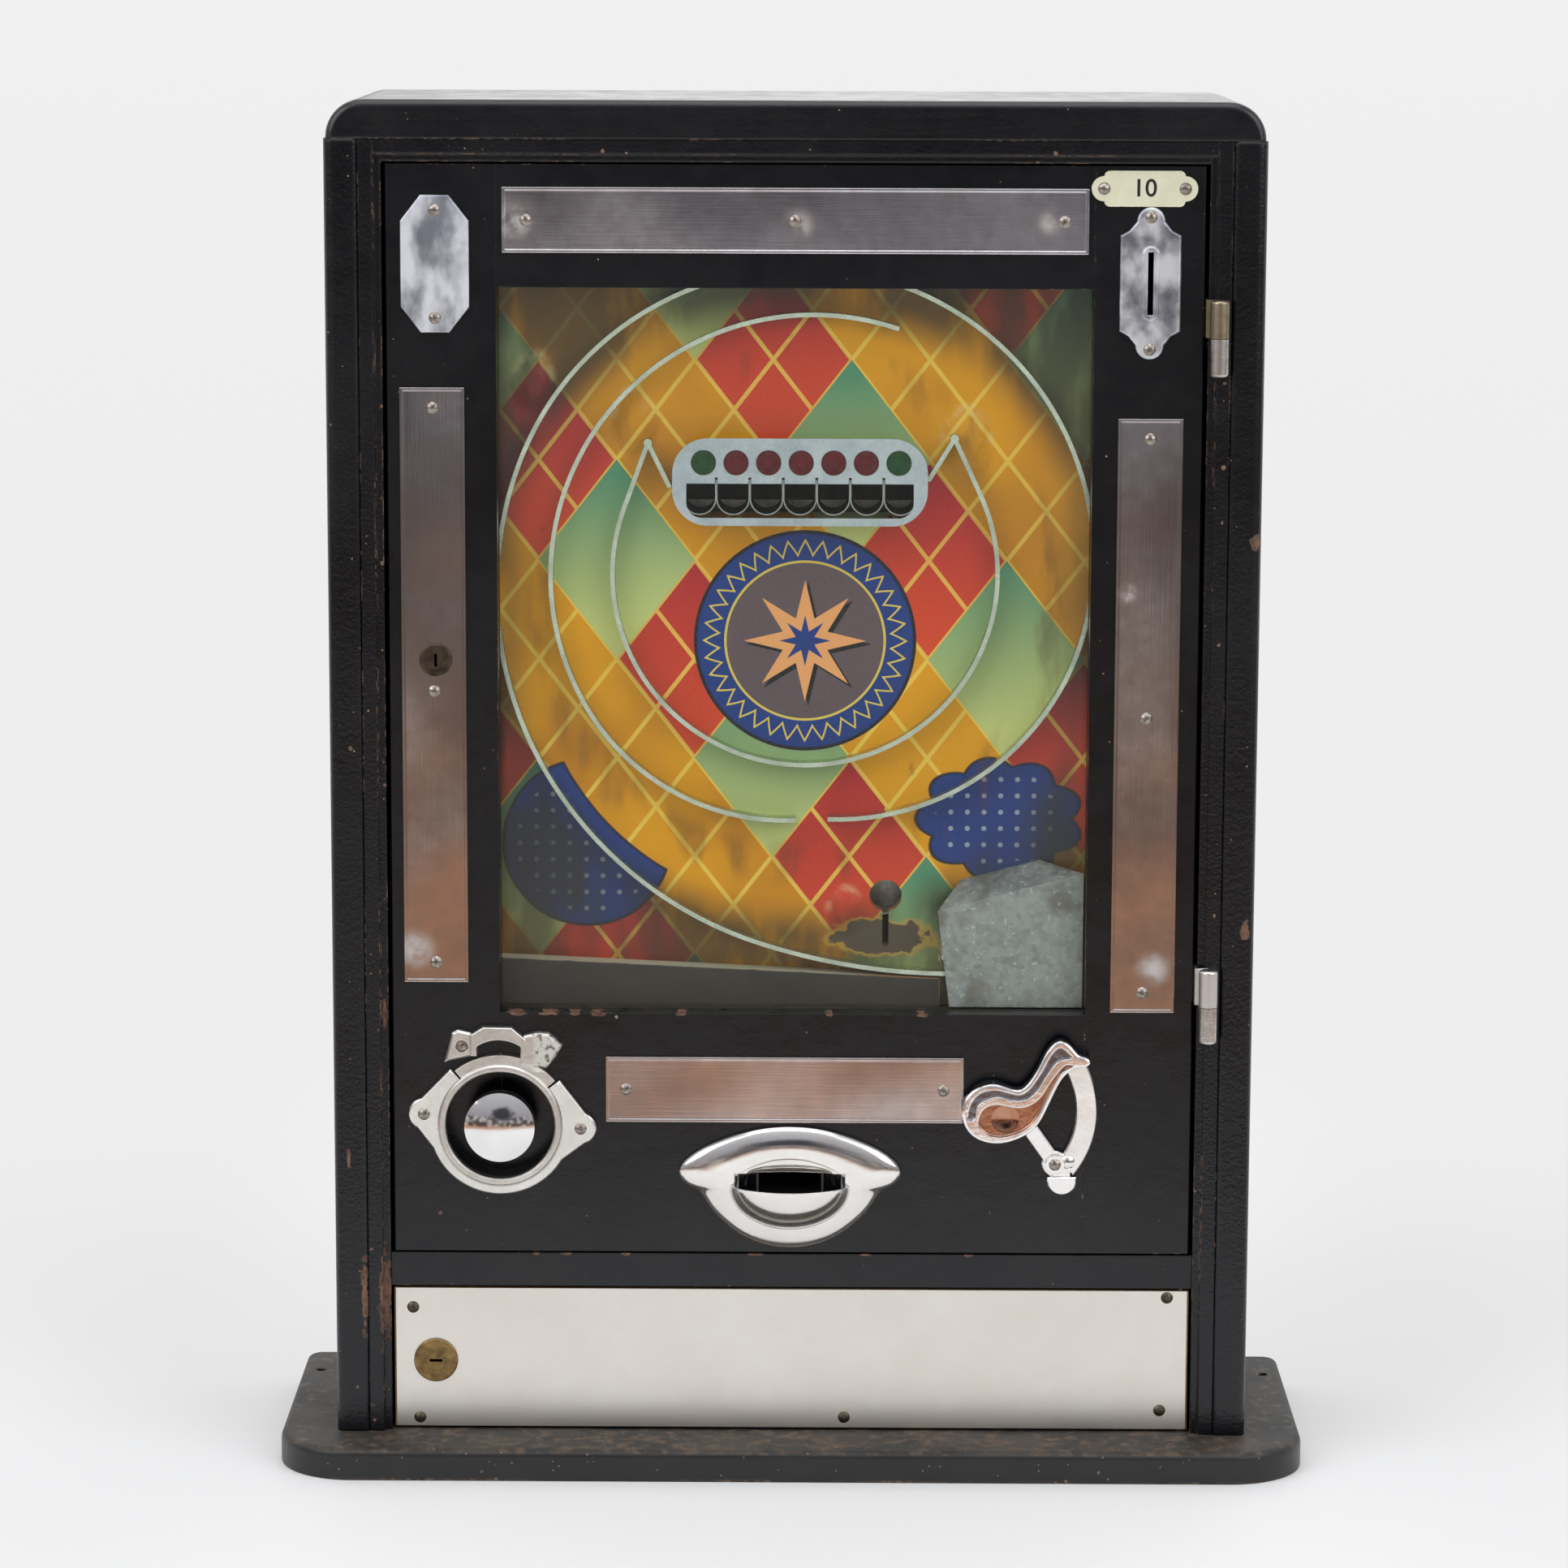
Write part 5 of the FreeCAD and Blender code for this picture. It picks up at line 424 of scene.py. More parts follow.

# %% [markdown]
# The base board takes the knocks. Its top has lost its gloss and is painted a lighter grey-brown, partly dust
# and dull wear and partly a painted sheen of light on the top, and its rounded rim is worn in short runs.

# %% Base board paint
base_paint, tree = new_material("dull paint, base board")
x, y, z = surface_place(tree)
upward = facing(tree)[2].step(0.35, 0.8)
mottle = noise(tree, 24.0, 8.0, seed=1.0)
fine = noise(tree, 150.0, 6.0, seed=4.0)
dirt = place_group(tree, smudge_tree, "Value", Scale=34.0, Contrast=0.6)
rubbed = place_group(tree, wear_tree, "Mask", Width=3.0 * MM, Scale=130.0, Amount=0.54, Runs=0.6)
pale = place_group(tree, wear_tree, "Mask", Width=2.2 * MM, Scale=240.0, Amount=0.46, Runs=0.5)
flaked = place_group(tree, chip_tree, "Mask", Scale=120.0, Amount=0.16, Size=0.12)
specks = place_group(tree, chip_tree, "Mask", Scale=320.0, Amount=0.16, Size=0.14)
color = blend(tree, dirt * 0.7, shade(20, 20, 22), shade(38, 37, 35))
# The lighter top colour is dust and dull wear, and partly a painted sheen.
top_dust_and_sheen = blend(tree, mottle.step(0.35, 0.65), shade(36, 36, 34), shade(60, 55, 49))
top_dust_and_sheen = blend(tree, fine.step(0.55, 0.68) * 0.7, top_dust_and_sheen, shade(96, 84, 70))
near_case = (x.math("ABSOLUTE").step(262 * MM, 236 * MM)) * y.step(-120 * MM, -96 * MM)
top_dust_and_sheen = blend(tree, near_case * fine.step(0.46, 0.58) * 0.45, top_dust_and_sheen, shade(90, 72, 56))
color = blend(tree, upward, color, top_dust_and_sheen)
color = blend(tree, rubbed * 0.8, color, shade(90, 72, 54))
color = blend(tree, pale, color, shade(158, 132, 104))
color = blend(tree, flaked * 0.8, color, blend(tree, fine, shade(76, 60, 46), shade(150, 128, 100)))
color = blend(tree, specks * 0.8, color, shade(140, 124, 100))
bare = rubbed.math("MAXIMUM", flaked)
level = upward * 0.22 + dirt * 0.12 + bare * 0.2 + 0.32
finish(tree, color, level, height=mottle * 0.6 + fine * 0.3 - bare * 0.5, depth=0.5 * MM, rim=1.2 * MM)
dress(base_paint, "base_board")
print("painted", base_paint.name)

# %% [markdown]
# The strips and the cash plate are bright sheet steel. Rubbing along their length has left fine lines, so the
# grain is noise drawn out one way. Smudges vary the gloss. The tint goes from warm low down to bluish high
# up, which is a painted reflection of the room, and a few long scratches and pale clouds lie over it. The
# cash plate is plainer, with no lines, scratches, clouds or painted reflection.

# %% Sheet steel
def hairlines(tree, scale, thin, seed):
    """A few long curved scratches: the places where a broad noise passes its middle value."""
    curves = (noise(tree, scale, 0.0, seed=seed) - 0.5).math("ABSOLUTE").step(thin, thin * 0.4)
    return curves * noise(tree, scale * 1.3, 1.0, seed=seed + 3.0).step(0.6, 0.68)


def haze(tree, cloudy, place):
    """A soft pale cloud about a place on the front, given as x, z and reach in mm."""
    x, y, z = surface_place(tree)
    dx = (x - place[0] * MM) / (place[2] * MM)
    dz = (z - place[1] * MM) / (place[2] * MM)
    near = (dx * dx + dz * dz).math("SQRT").step(1.15, 0.1)
    return near * (cloudy.step(0.3, 0.6) * 0.7 + 0.3)


PAINTED_REFLECTION_HEIGHTS = (300 * MM, 660 * MM)


def sheet_steel(name, along, tints, rough, warp, rim=1.0 * MM, worked=1.0, hazes=()):
    """Bright sheet that is not quite flat, with faint rubbed lines along one axis. The tints are a light, a
    dark and a bluish one; the bluish one takes the light one's place high on the door as a painted reflection
    of the room. The hazes are where cleaning stopped at a screw. Worked is 1 for a strip and 0 for a plain
    plate."""
    light, dark, painted_reflection_tint = tints
    material, tree = new_material(name)
    x, y, z = surface_place(tree)
    lines = noise(tree, 30.0, 5.0, drawn_out(along, 40.0))
    waves = noise(tree, 11.0, 1.0, seed=2.0)
    smudge = place_group(tree, smudge_tree, "Value", Scale=13.0, Contrast=0.75)
    darkening = place_group(tree, smudge_tree, "Value", Scale=60.0, Contrast=0.8)
    scratch = hairlines(tree, 14.0, 0.003, 8.0) * worked
    color = blend(tree, smudge, light, dark)
    color = blend(tree, darkening * (0.2 * worked), color, shade(96, 84, 78))
    # High on the door the tint turns bluish: a painted reflection of the pale room above.
    high = z.step(*PAINTED_REFLECTION_HEIGHTS) * worked
    color = blend(tree, high, color, blend(tree, smudge, painted_reflection_tint, dark))
    level = smudge * 0.09 + darkening * 0.05 + scratch * 0.12 + rough
    cloudy = noise(tree, 95.0, 6.0, seed=12.0)
    for place in hazes:
        pale = haze(tree, cloudy, place)
        color = blend(tree, pale * 0.7, color, shade(250, 250, 252))
        level = level + pale * 0.26
    height = waves + lines * (0.007 * worked)
    finish(tree, color, level, metallic=1.0, height=height, depth=warp, rim=rim)
    return material


HAZES_ACROSS = ((-148, 676, 16), (2, 674, 12), (108, 216, 13), (134, 676, 10))
HAZES_UPRIGHT = ((-198, 600, 9), (-203, 285, 12), (194, 276, 11), (178, 480, 7))
ACROSS_TINTS = (shade(226, 222, 222), shade(166, 156, 152), shade(250, 250, 255))
UPRIGHT_TINTS = (shade(226, 220, 216), shade(156, 144, 138), shade(196, 200, 208))
PLATE_TINTS = (shade(245, 241, 234), shade(238, 232, 222), shade(245, 241, 234))
strip_across = sheet_steel("strip steel across", "x", ACROSS_TINTS, 0.04, 1.2 * MM, hazes=HAZES_ACROSS)
strip_upright = sheet_steel("strip steel upright", "z", UPRIGHT_TINTS, 0.04, 1.2 * MM, hazes=HAZES_UPRIGHT)
plate_steel = sheet_steel("cash plate steel", "x", PLATE_TINTS, 0.29, 0.25 * MM, rim=0.4 * MM, worked=0.0)
dress(strip_across, "top_strip", "lower_strip")
dress(strip_upright, "side_strips")
dress(plate_steel, "cash_door_plate")
print("sheet steel", strip_across.name)

# %% [markdown]
# The eight-sided plate and the coin plate have gone cloudy: blue-white bloom over darker metal.

# %% Hazed plates
def hazed_plate(name, stretch, rough, depth):
    material, tree = new_material(name)
    bloom = noise(tree, 55.0, 6.0, stretch)
    patch = noise(tree, 120.0, 4.0, stretch, seed=5.0)
    cloud = (bloom * 0.7 + patch * 0.3).step(0.36, 0.62)
    stain = place_group(tree, chip_tree, "Mask", Scale=150.0, Amount=0.06, Size=0.03)
    color = blend(tree, cloud, shade(156, 162, 174), shade(236, 240, 246))
    color = blend(tree, stain * 0.5, color, shade(110, 84, 70))
    level = cloud * 0.16 + patch * 0.1 + rough
    finish(tree, color, level, metallic=1.0, height=bloom + patch * 0.2, depth=depth, rim=1.0 * MM)
    return material


hazed_steel = hazed_plate("hazed steel", (1, 1, 0.55), 0.34, 0.3 * MM)
hazed_casting = hazed_plate("hazed casting", (1, 1, 0.8), 0.24, 0.5 * MM)
dress(hazed_steel, "octagon_plate")
dress(hazed_casting, "coin_plate")
print("hazed plates", hazed_steel.name)

# %% [markdown]
# The knob, cup, quadrant and escutcheon are castings with bright plating. Plating is a
# mirror, so its look is what stands round it. The casting under it is never quite true, and a
# slow bump bends the reflections. Small pits and clouds of tarnish are scattered over it.

# %% Bright castings
CAST_DEPTH = 0.22 * MM


def bright_casting(name, color, tarnish, rough, pits, rim=0.0, lean=0.0):
    """Plating over a casting. The lean tips the whole face down a little, as its mould left it."""
    material, tree = new_material(name)
    x, y, z = surface_place(tree)
    waves = noise(tree, 40.0, 2.0)
    fine = noise(tree, 500.0, 4.0)
    smudge = place_group(tree, smudge_tree, "Value", Scale=35.0, Contrast=0.4)
    pitted = place_group(tree, chip_tree, "Mask", Scale=260.0, Amount=pits, Size=0.05)
    tinted = blend(tree, smudge * 0.35, color, tarnish)
    tinted = blend(tree, pitted, tinted, shade(92, 80, 66))
    level = smudge * 0.08 + pitted * 0.3 + rough
    height = waves * 0.9 + fine * 0.06 - pitted * 0.2 + z * (lean / CAST_DEPTH)
    finish(tree, tinted, level, metallic=1.0, height=height, depth=CAST_DEPTH, rim=rim)
    return material


cup_chrome = bright_casting("plated cup", shade(242, 241, 238), shade(212, 204, 194), 0.1, 0.12,
                            rim=0.6 * MM, lean=0.12)
quadrant_chrome = bright_casting("plated quadrant", shade(242, 241, 240), shade(214, 206, 198), 0.08, 0.06,
                                 rim=0.6 * MM, lean=0.025)
knob_chrome = bright_casting("plated knob", shade(240, 240, 240), shade(218, 214, 210), 0.03, 0.02)
rough_cast = bright_casting("rubbed casting", shade(236, 236, 231), shade(186, 180, 170), 0.24, 0.3,
                            rim=1.2 * MM, lean=0.06)
dress(cup_chrome, "payout_cup")
dress(quadrant_chrome, "lever_quadrant")
dress(knob_chrome, "payout_knob")
dress(rough_cast, "knob_escutcheon")
print("castings", knob_chrome.name, rough_cast.name)

# %% [markdown]
# The lever's groove is painted blue-black and its deeper hollow brown: painted reflections of the room in the
# curved plating. Its raised rims are still bright. Depth behind the lever's front face tells these apart.

# %% Lever plating
GROOVE_DEEP = (0.9 * MM, 2.2 * MM)
HOLLOW_DEEP = (2.8 * MM, 3.4 * MM)
lever_chrome, tree = new_material("plated lever")
x, y, z = surface_place(tree)
forward = facing(tree)[1].step(-0.2, -0.5)
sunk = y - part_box("shooter_lever")[0][1]
mottle = noise(tree, 90.0, 4.0)
in_groove = sunk.step(*GROOVE_DEEP) * forward
in_hollow = sunk.step(*HOLLOW_DEEP) * forward
# Painted reflections: blue-black in the groove, brown in the hollow.
groove_painted_reflection = blend(tree, mottle, shade(34, 42, 70), shade(120, 122, 136))
hollow_painted_reflection = blend(tree, mottle, shade(150, 84, 52), shade(214, 166, 134))
color = blend(tree, mottle.step(0.4, 0.7) * 0.3, shade(250, 250, 250), shade(222, 208, 194))
color = blend(tree, in_groove * 0.85, color, groove_painted_reflection)
color = blend(tree, in_hollow * 0.9, color, hollow_painted_reflection)
finish(tree, color, mottle * 0.08 + 0.07, metallic=1.0, height=mottle, depth=CAST_DEPTH, rim=0.9 * MM)
dress(lever_chrome, "shooter_lever")
print("lever", lever_chrome.name)

# %% [markdown]
# The right lug of the bracket was left as it broke from its mould, so it is coarser than the rest.

# %% Knob bracket
LUG_START = (-141 * MM, -137 * MM)
LUG_FOOT = (218 * MM, 222 * MM)
bracket_metal, tree = new_material("rough casting")
x, y, z = surface_place(tree)
lug = x.step(*LUG_START) * z.step(*LUG_FOOT)
coarse = noise(tree, 260.0, 5.0)
smudge = place_group(tree, smudge_tree, "Value", Scale=60.0, Contrast=0.6)
color = blend(tree, smudge * 0.6, shade(242, 241, 236), shade(176, 164, 150))
color = blend(tree, lug * coarse.step(0.5, 0.35), color, shade(120, 112, 98))
level = lug * 0.16 + smudge * 0.1 + 0.28
finish(tree, color, level, metallic=1.0, height=coarse * (lug * 0.92 + 0.08), depth=1.8 * MM, rim=0.8 * MM)
dress(bracket_metal, "knob_bracket")
print("bracket", bracket_metal.name)

# %% [markdown]
# The rails are plated strip on edge, dulled to grey-green, and the cup plate is satin
# aluminium. Both are plain metals with a little noise in the gloss.

# %% Dull metals
def dull_metal(name, color, stain, rough, metallic=1.0, scale=60.0, depth=0.05 * MM):
    material, tree = new_material(name)
    mottle = place_group(tree, smudge_tree, "Value", Scale=scale, Contrast=0.4)
    fine = noise(tree, 900.0, 2.0)
    tinted = blend(tree, mottle, color, stain)
    finish(tree, tinted, mottle * 0.15 + rough, metallic=metallic, height=fine + mottle, depth=depth)
    return material


rail_metal = dull_metal("rail strip", shade(214, 220, 206), shade(166, 172, 156), 0.22)
plate_metal = dull_metal("satin plate", shade(196, 202, 208), shade(160, 168, 176), 0.3)
tinplate = dull_metal("tinplate", shade(176, 174, 168), shade(120, 112, 100), 0.3)
steel = dull_metal("oiled steel", shade(120, 116, 110), shade(72, 66, 60), 0.3, scale=120.0)
lock_brass = dull_metal("lock brass", shade(160, 132, 84), shade(92, 76, 54), 0.28, scale=200.0)
dark_lock = dull_metal("dark lock", shade(104, 92, 78), shade(56, 48, 42), 0.35, scale=200.0)
dress(rail_metal, "outer_rail", "second_rail", "inner_rail")
dress(plate_metal, "cup_plate")
dress(tinplate, "cash_box", "coin_chute", "mechanism_bracket", "payout_chute", "ball_return", "payout_slide")
dress(steel, "knob_crank", "hammer", "shooter_spring")
dress(lock_brass, "cash_lock_barrel", "cash_lock_plug", "shaft_bushes")
dress(dark_lock, "door_lock_barrel", "door_lock_plug")
print("dull metals", rail_metal.name)

# %% [markdown]
# The seven cups are the same sheet, painted near black as shade, since they stand in shadow behind the plate.
# Only their front edges, where the balls rub, are still bright.

# %% Cups in shadow
cup_metal_in_painted_shade, tree = new_material("cups in painted shade")
front_edge = facing(tree)[1].step(-0.8, -0.95)
mottle = place_group(tree, smudge_tree, "Value", Scale=120.0, Contrast=0.4)
# The near black is painted shade; the bright front edges keep the metal's own colour.
color = blend(tree, mottle, shade(16, 16, 14), shade(6, 6, 5))
color = blend(tree, front_edge * 0.75, color, shade(170, 174, 172))
finish(tree, color, mottle * 0.15 + 0.4, metallic=1.0, height=mottle, depth=0.05 * MM)
dress(cup_metal_in_painted_shade, "ball_cups")
print("cups", cup_metal_in_painted_shade.name)

# %% [markdown]
# The pin knuckles are bright steel. The upper knuckle on the door is brass, tarnished brown.

# %% Hinges
hinge_steel = dull_metal("hinge steel", shade(228, 227, 224), shade(168, 164, 158), 0.2, scale=150.0)
UPPER_KNUCKLE = (450 * MM, 460 * MM)
hinge_mixed, tree = new_material("hinge knuckles")
x, y, z = surface_place(tree)
tarnish = place_group(tree, smudge_tree, "Value", Scale=160.0, Contrast=0.5)
brass = blend(tree, tarnish, shade(186, 176, 150), shade(128, 116, 92))
color = blend(tree, z.step(*UPPER_KNUCKLE), shade(226, 225, 222), brass)
finish(tree, color, tarnish * 0.15 + 0.26, metallic=1.0, height=tarnish, depth=0.04 * MM)
dress(hinge_steel, "hinge_pin_knuckles")
dress(hinge_mixed, "hinge_door_knuckles")
print("hinges", hinge_mixed.name)

# %% [markdown]
# Zinc sets in small flat crystals, which a cell pattern gives, each with its own grey. It has
# stained grey and brown since.

# %% Galvanised cover
zinc, tree = new_material("zinc-coated sheet")
crystal = add(tree, "ShaderNodeTexVoronoi", {"Vector": place_vector(tree), "Scale": 330.0})
tone = Field(tree, add(tree, "ShaderNodeSeparateColor", {0: crystal.outputs["Color"]}).outputs[0])
bloom = place_group(tree, smudge_tree, "Value", Scale=26.0, Contrast=0.7)
speckle = noise(tree, 300.0, 4.0)
rust = place_group(tree, chip_tree, "Mask", Scale=110.0, Amount=0.12, Size=0.03)
stain = noise(tree, 45.0, 6.0, seed=3.0).step(0.52, 0.7)
color = blend(tree, tone * 0.35 + bloom * 0.65, shade(104, 110, 110), shade(176, 180, 178))
color = blend(tree, stain * 0.6, color, shade(96, 88, 76))
color = blend(tree, speckle.step(0.62, 0.7) * 0.5, color, shade(206, 208, 204))
color = blend(tree, rust * 0.8, color, shade(112, 84, 58))
level = tone * 0.15 + bloom * 0.15 + 0.4
finish(tree, color, level, metallic=0.6, height=tone * 0.3 + bloom, depth=0.2 * MM, rim=0.8 * MM)
dress(zinc, "hammer_cover")
print("cover", zinc.name)

# %% [markdown]
# Wood that was never painted shows at the back, and inside when a door is open. A long smooth
# noise folded over and over gives the growth rings, and finer noises the fibres and the pores.

# %% Bare wood
def bare_wood(name, light, dark, along):
    material, tree = new_material(name)
    broad = drawn_out(along, 5.0)
    narrow = drawn_out(along, 60.0)
    rings = (noise(tree, 3.0, 2.0, broad) * 9.0).math("PINGPONG", 0.5) * 2.0
    fibre = noise(tree, 16.0, 5.0, narrow, seed=2.0)
    pores = noise(tree, 50.0, 2.0, narrow, seed=7.0).step(0.6, 0.7)
    handled = place_group(tree, smudge_tree, "Value", Scale=6.0, Contrast=0.4)
    color = blend(tree, rings * 0.4 + fibre * 0.6 - 0.1, light, dark)
    color = blend(tree, pores * 0.4 + handled * 0.25, color, dark)
    finish(tree, color, fibre * 0.2 + 0.55, height=fibre - pores * 0.4, depth=0.12 * MM)
    return material


softwood = bare_wood("aged softwood", shade(176, 140, 98), shade(128, 92, 58), "x")
plywood = bare_wood("plywood", shade(170, 132, 88), shade(134, 98, 62), "z")
dark_wood = bare_wood("stained wood", shade(62, 56, 48), shade(40, 35, 30), "z")
dress(softwood, "cash_shelf", "cash_door_panel")
dress(plywood, "back_panel", "playfield_board")
dress(dark_wood, "playfield_battens", "glass_beads")
print("wood", softwood.name)

# %% [markdown]
# The sloping batten under the rail is dark and dusty. Along its top runs a pale line, partly dust and wear
# and partly a painted highlight of light from above, that broadens to bare wood where the ball comes to rest.

# %% Gutter batten
BALL_RESTS = (20 * MM, 60 * MM)
gutter_wood, tree = new_material("gutter batten")
x, y, z = surface_place(tree)
grain = noise(tree, 12.0, 5.0, (1, 20, 20))
dirt = place_group(tree, smudge_tree, "Value", Scale=25.0, Contrast=0.5)
top = facing(tree)[2].step(0.6, 0.9)
edge_line = place_group(tree, wear_tree, "Mask", Width=1.4 * MM, Scale=120.0, Amount=0.62, Runs=0.75)
dust_specks = place_group(tree, chip_tree, "Mask", Scale=230.0, Amount=0.07, Size=0.0)
color = blend(tree, grain * 0.5 + dirt * 0.5, shade(52, 50, 42), shade(26, 25, 21))
color = blend(tree, dust_specks * 0.5, color, shade(126, 120, 104))
# The pale top is dust and wear, and partly a painted highlight.
color = blend(tree, top.math("MAXIMUM", edge_line * 0.8), color, shade(168, 160, 140))
rubbed_bare = x.step(*BALL_RESTS) * edge_line.math("MAXIMUM", top)
color = blend(tree, rubbed_bare, color, shade(150, 108, 72))
finish(tree, color, dirt * 0.2 + 0.5, height=grain, depth=0.08 * MM)
dress(gutter_wood, "ball_gutter")
print("batten", gutter_wood.name)

# %% [markdown]
# The printed card behind the glass carries the colour of the whole machine: mustard, red and
# green with pale lines. Its pattern is tall diamonds in slanting rows, a round badge with a
# zigzag border and an eight-pointed star, and two plain blue shapes. It is drawn with formulas
# on the place of each point, so it stays sharp at any size. Each part of it is its own group.

# %% Print colours
MUSTARD = shade(228, 158, 2)
OCHRE = shade(190, 120, 4)
ORANGE_RED = shade(226, 78, 34)
CRIMSON = shade(166, 20, 44)
PALE_GREEN = shade(202, 208, 128)
TEAL = shade(84, 146, 112)
CREAM_LINE = shade(248, 214, 96)
BLUE = shade(22, 56, 128)
MAUVE = shade(104, 86, 90)
PEACH = shade(236, 166, 106)
INK = shade(22, 20, 22)
print("print colours ready")

# %% [markdown]
# Two sets of slanting lines cross. Counting the lines gives each diamond its two numbers, and a
# sum of those numbers picks its colour. Two cells by two make one large diamond.

# %% Diamonds group
CELL_W = 42 * MM
CELL_H = 54 * MM
LINE = 0.034
diamond_tree, given, result = new_group("Diamonds", {"Line": LINE}, ["Lines", "Red", "Green", "Local"])
x, y, z = surface_place(diamond_tree)
up = x / CELL_W + z / CELL_H + 20.15
down = x / CELL_W - z / CELL_H + 30.4


def near_line(count):
    """1 on a line between two cells."""
    from_center = (count.math("FRACT") - 0.5).math("ABSOLUTE")
    limit = given["Line"].invert()
    return from_center.step(limit - 0.506, limit - 0.494)


number = (up / 2).math("FLOOR") + (down / 2).math("FLOOR") * 2
kind = number.math("FLOORED_MODULO", 4)
red = (kind - 1).math("ABSOLUTE").step(0.6, 0.4)
green = (kind - 3).math("ABSOLUTE").step(0.6, 0.4)
lines = near_line(up).math("MAXIMUM", near_line(down))
local = ((up / 2).math("FRACT") - (down / 2).math("FRACT")) * 0.5 + 0.5
put_out(diamond_tree, result, Lines=lines, Red=red, Green=green, Local=local)
print("group", diamond_tree.name)

# %% [markdown]
# A disc in polar form. The zigzag is a line whose radius goes up and down with the angle, and
# the star's edge is a straight line between an outer and an inner point, repeated eight times.

# %% Badge group
BADGE = (6 * MM, 449 * MM)
BADGE_R = 60 * MM
BADGE_RING = 43 * MM
STAR_OUT = 33 * MM
STAR_IN = 13 * MM
STAR_POINTS = 8
ZIGZAGS = 36
ZIGZAG_R = 46.5 * MM
ZIGZAG_RISE = 8 * MM
badge_outputs = ["Disc", "Outline", "Ring", "Zigzag", "Star", "Shadow", "Core"]
badge_tree, given, result = new_group("Badge", {}, badge_outputs)
x, y, z = surface_place(badge_tree)


def polar(x_field, z_field):
    """The distance from a middle, and the angle round it in turns."""
    radius = (x_field * x_field + z_field * z_field).math("SQRT")
    angle = z_field.math("ARCTAN2", x_field) / (2 * math.pi) + 1.0
    return radius, angle


def star(x_field, z_field, size):
    """1 inside a star with straight edges."""
    radius, angle = polar(x_field, z_field)
    half = math.pi / STAR_POINTS
    swing = ((angle * STAR_POINTS).math("FRACT") - 0.5).math("ABSOLUTE") * (2 * half)
    out = STAR_OUT * size
    inn = STAR_IN * size
    spread = swing.math("SINE") * inn + (swing * -1 + half).math("SINE") * out
    edge = spread.math("POWER", -1.0) * (out * inn * math.sin(half))
    return (radius - edge).step(0.2 * MM, -0.2 * MM)


dx = x - BADGE[0]
dz = z - BADGE[1]
radius, angle = polar(dx, dz)
disc = radius.step(BADGE_R + 0.2 * MM, BADGE_R - 0.2 * MM)
outline = radius.step(BADGE_R - 2.0 * MM, BADGE_R - 1.6 * MM) * disc
ring = radius.step(BADGE_RING - 0.2 * MM, BADGE_RING + 0.2 * MM) * disc
rise = ((angle * ZIGZAGS).math("FRACT") - 0.5).math("ABSOLUTE") * 2
zigzag = (radius - rise * ZIGZAG_RISE - ZIGZAG_R).math("ABSOLUTE").step(1.1 * MM, 0.8 * MM)
rim = (radius - BADGE_RING).math("ABSOLUTE").step(0.8 * MM, 0.5 * MM)
shadow = star(dx - 1.8 * MM, dz + 1.8 * MM, 1.03)
put_out(badge_tree, result, Disc=disc, Outline=outline, Ring=ring, Zigzag=zigzag.math("MAXIMUM", rim),
        Star=star(dx, dz, 1.0), Shadow=shadow, Core=star(dx, dz, 0.42))
print("group", badge_tree.name)

# %% [markdown]
# A crescent that follows the rail at the left, and a cushion with scalloped edges at the right.

# %% Blue shapes group
CRESCENT = (-112 * MM, 338 * MM)
CRESCENT_R = 46 * MM
BITE = (8 * MM, 452 * MM)
BITE_R = 150 * MM
CUSHION = (112 * MM, 352 * MM)
CUSHION_R = 29 * MM
CUSHION_WIDEN = 0.74
SCALLOPS = 9
SCALLOP_RISE = 5 * MM
DOT_PITCH = 9 * MM
shape_tree, given, result = new_group("Blue shapes", {"Wobble": 1.2 * MM}, ["Shape", "Outline", "Dots"])
x, y, z = surface_place(shape_tree)
wobble = (noise(shape_tree, 60.0, 2.0) - 0.5) * given["Wobble"]
inside = polar(x - CRESCENT[0], z - CRESCENT[1])[0] + wobble
outside = polar(x - BITE[0], z - BITE[1])[0] + wobble
crescent = (inside - CRESCENT_R).math("MAXIMUM", outside * -1 + BITE_R)
radius, angle = polar((x - CUSHION[0]) * CUSHION_WIDEN, z - CUSHION[1])
scallop = (angle * (SCALLOPS * math.pi)).math("SINE").math("ABSOLUTE") * SCALLOP_RISE
cushion = radius - scallop - CUSHION_R + wobble
depth = crescent.math("MINIMUM", cushion)
dot_x = (x / DOT_PITCH).math("FRACT") - 0.5
dot_z = (z / DOT_PITCH).math("FRACT") - 0.5
dots = polar(dot_x, dot_z)[0].step(0.17, 0.13) * depth.step(-7 * MM, -8 * MM)
outline = (depth + 0.4 * MM).math("ABSOLUTE").step(1.0 * MM, 0.7 * MM)
put_out(shape_tree, result, Shape=depth.step(0.2 * MM, -0.2 * MM), Dots=dots, Outline=outline)
print("group", shape_tree.name)

# %% [markdown]
# The card is varnished, so it shines where it has warped away from the board round the rails.

# %% Printed card
card, tree = new_material("printed card")
x, y, z = surface_place(tree)
drift = noise(tree, 11.0, 2.0)
fade = noise(tree, 7.0, 3.0, seed=4.0)
paper = noise(tree, 700.0, 3.0)


def diamond(output):
    return place_group(tree, diamond_tree, output)


def shape(output):
    return place_group(tree, shape_tree, output)


def badge(output):
    return place_group(tree, badge_tree, output)


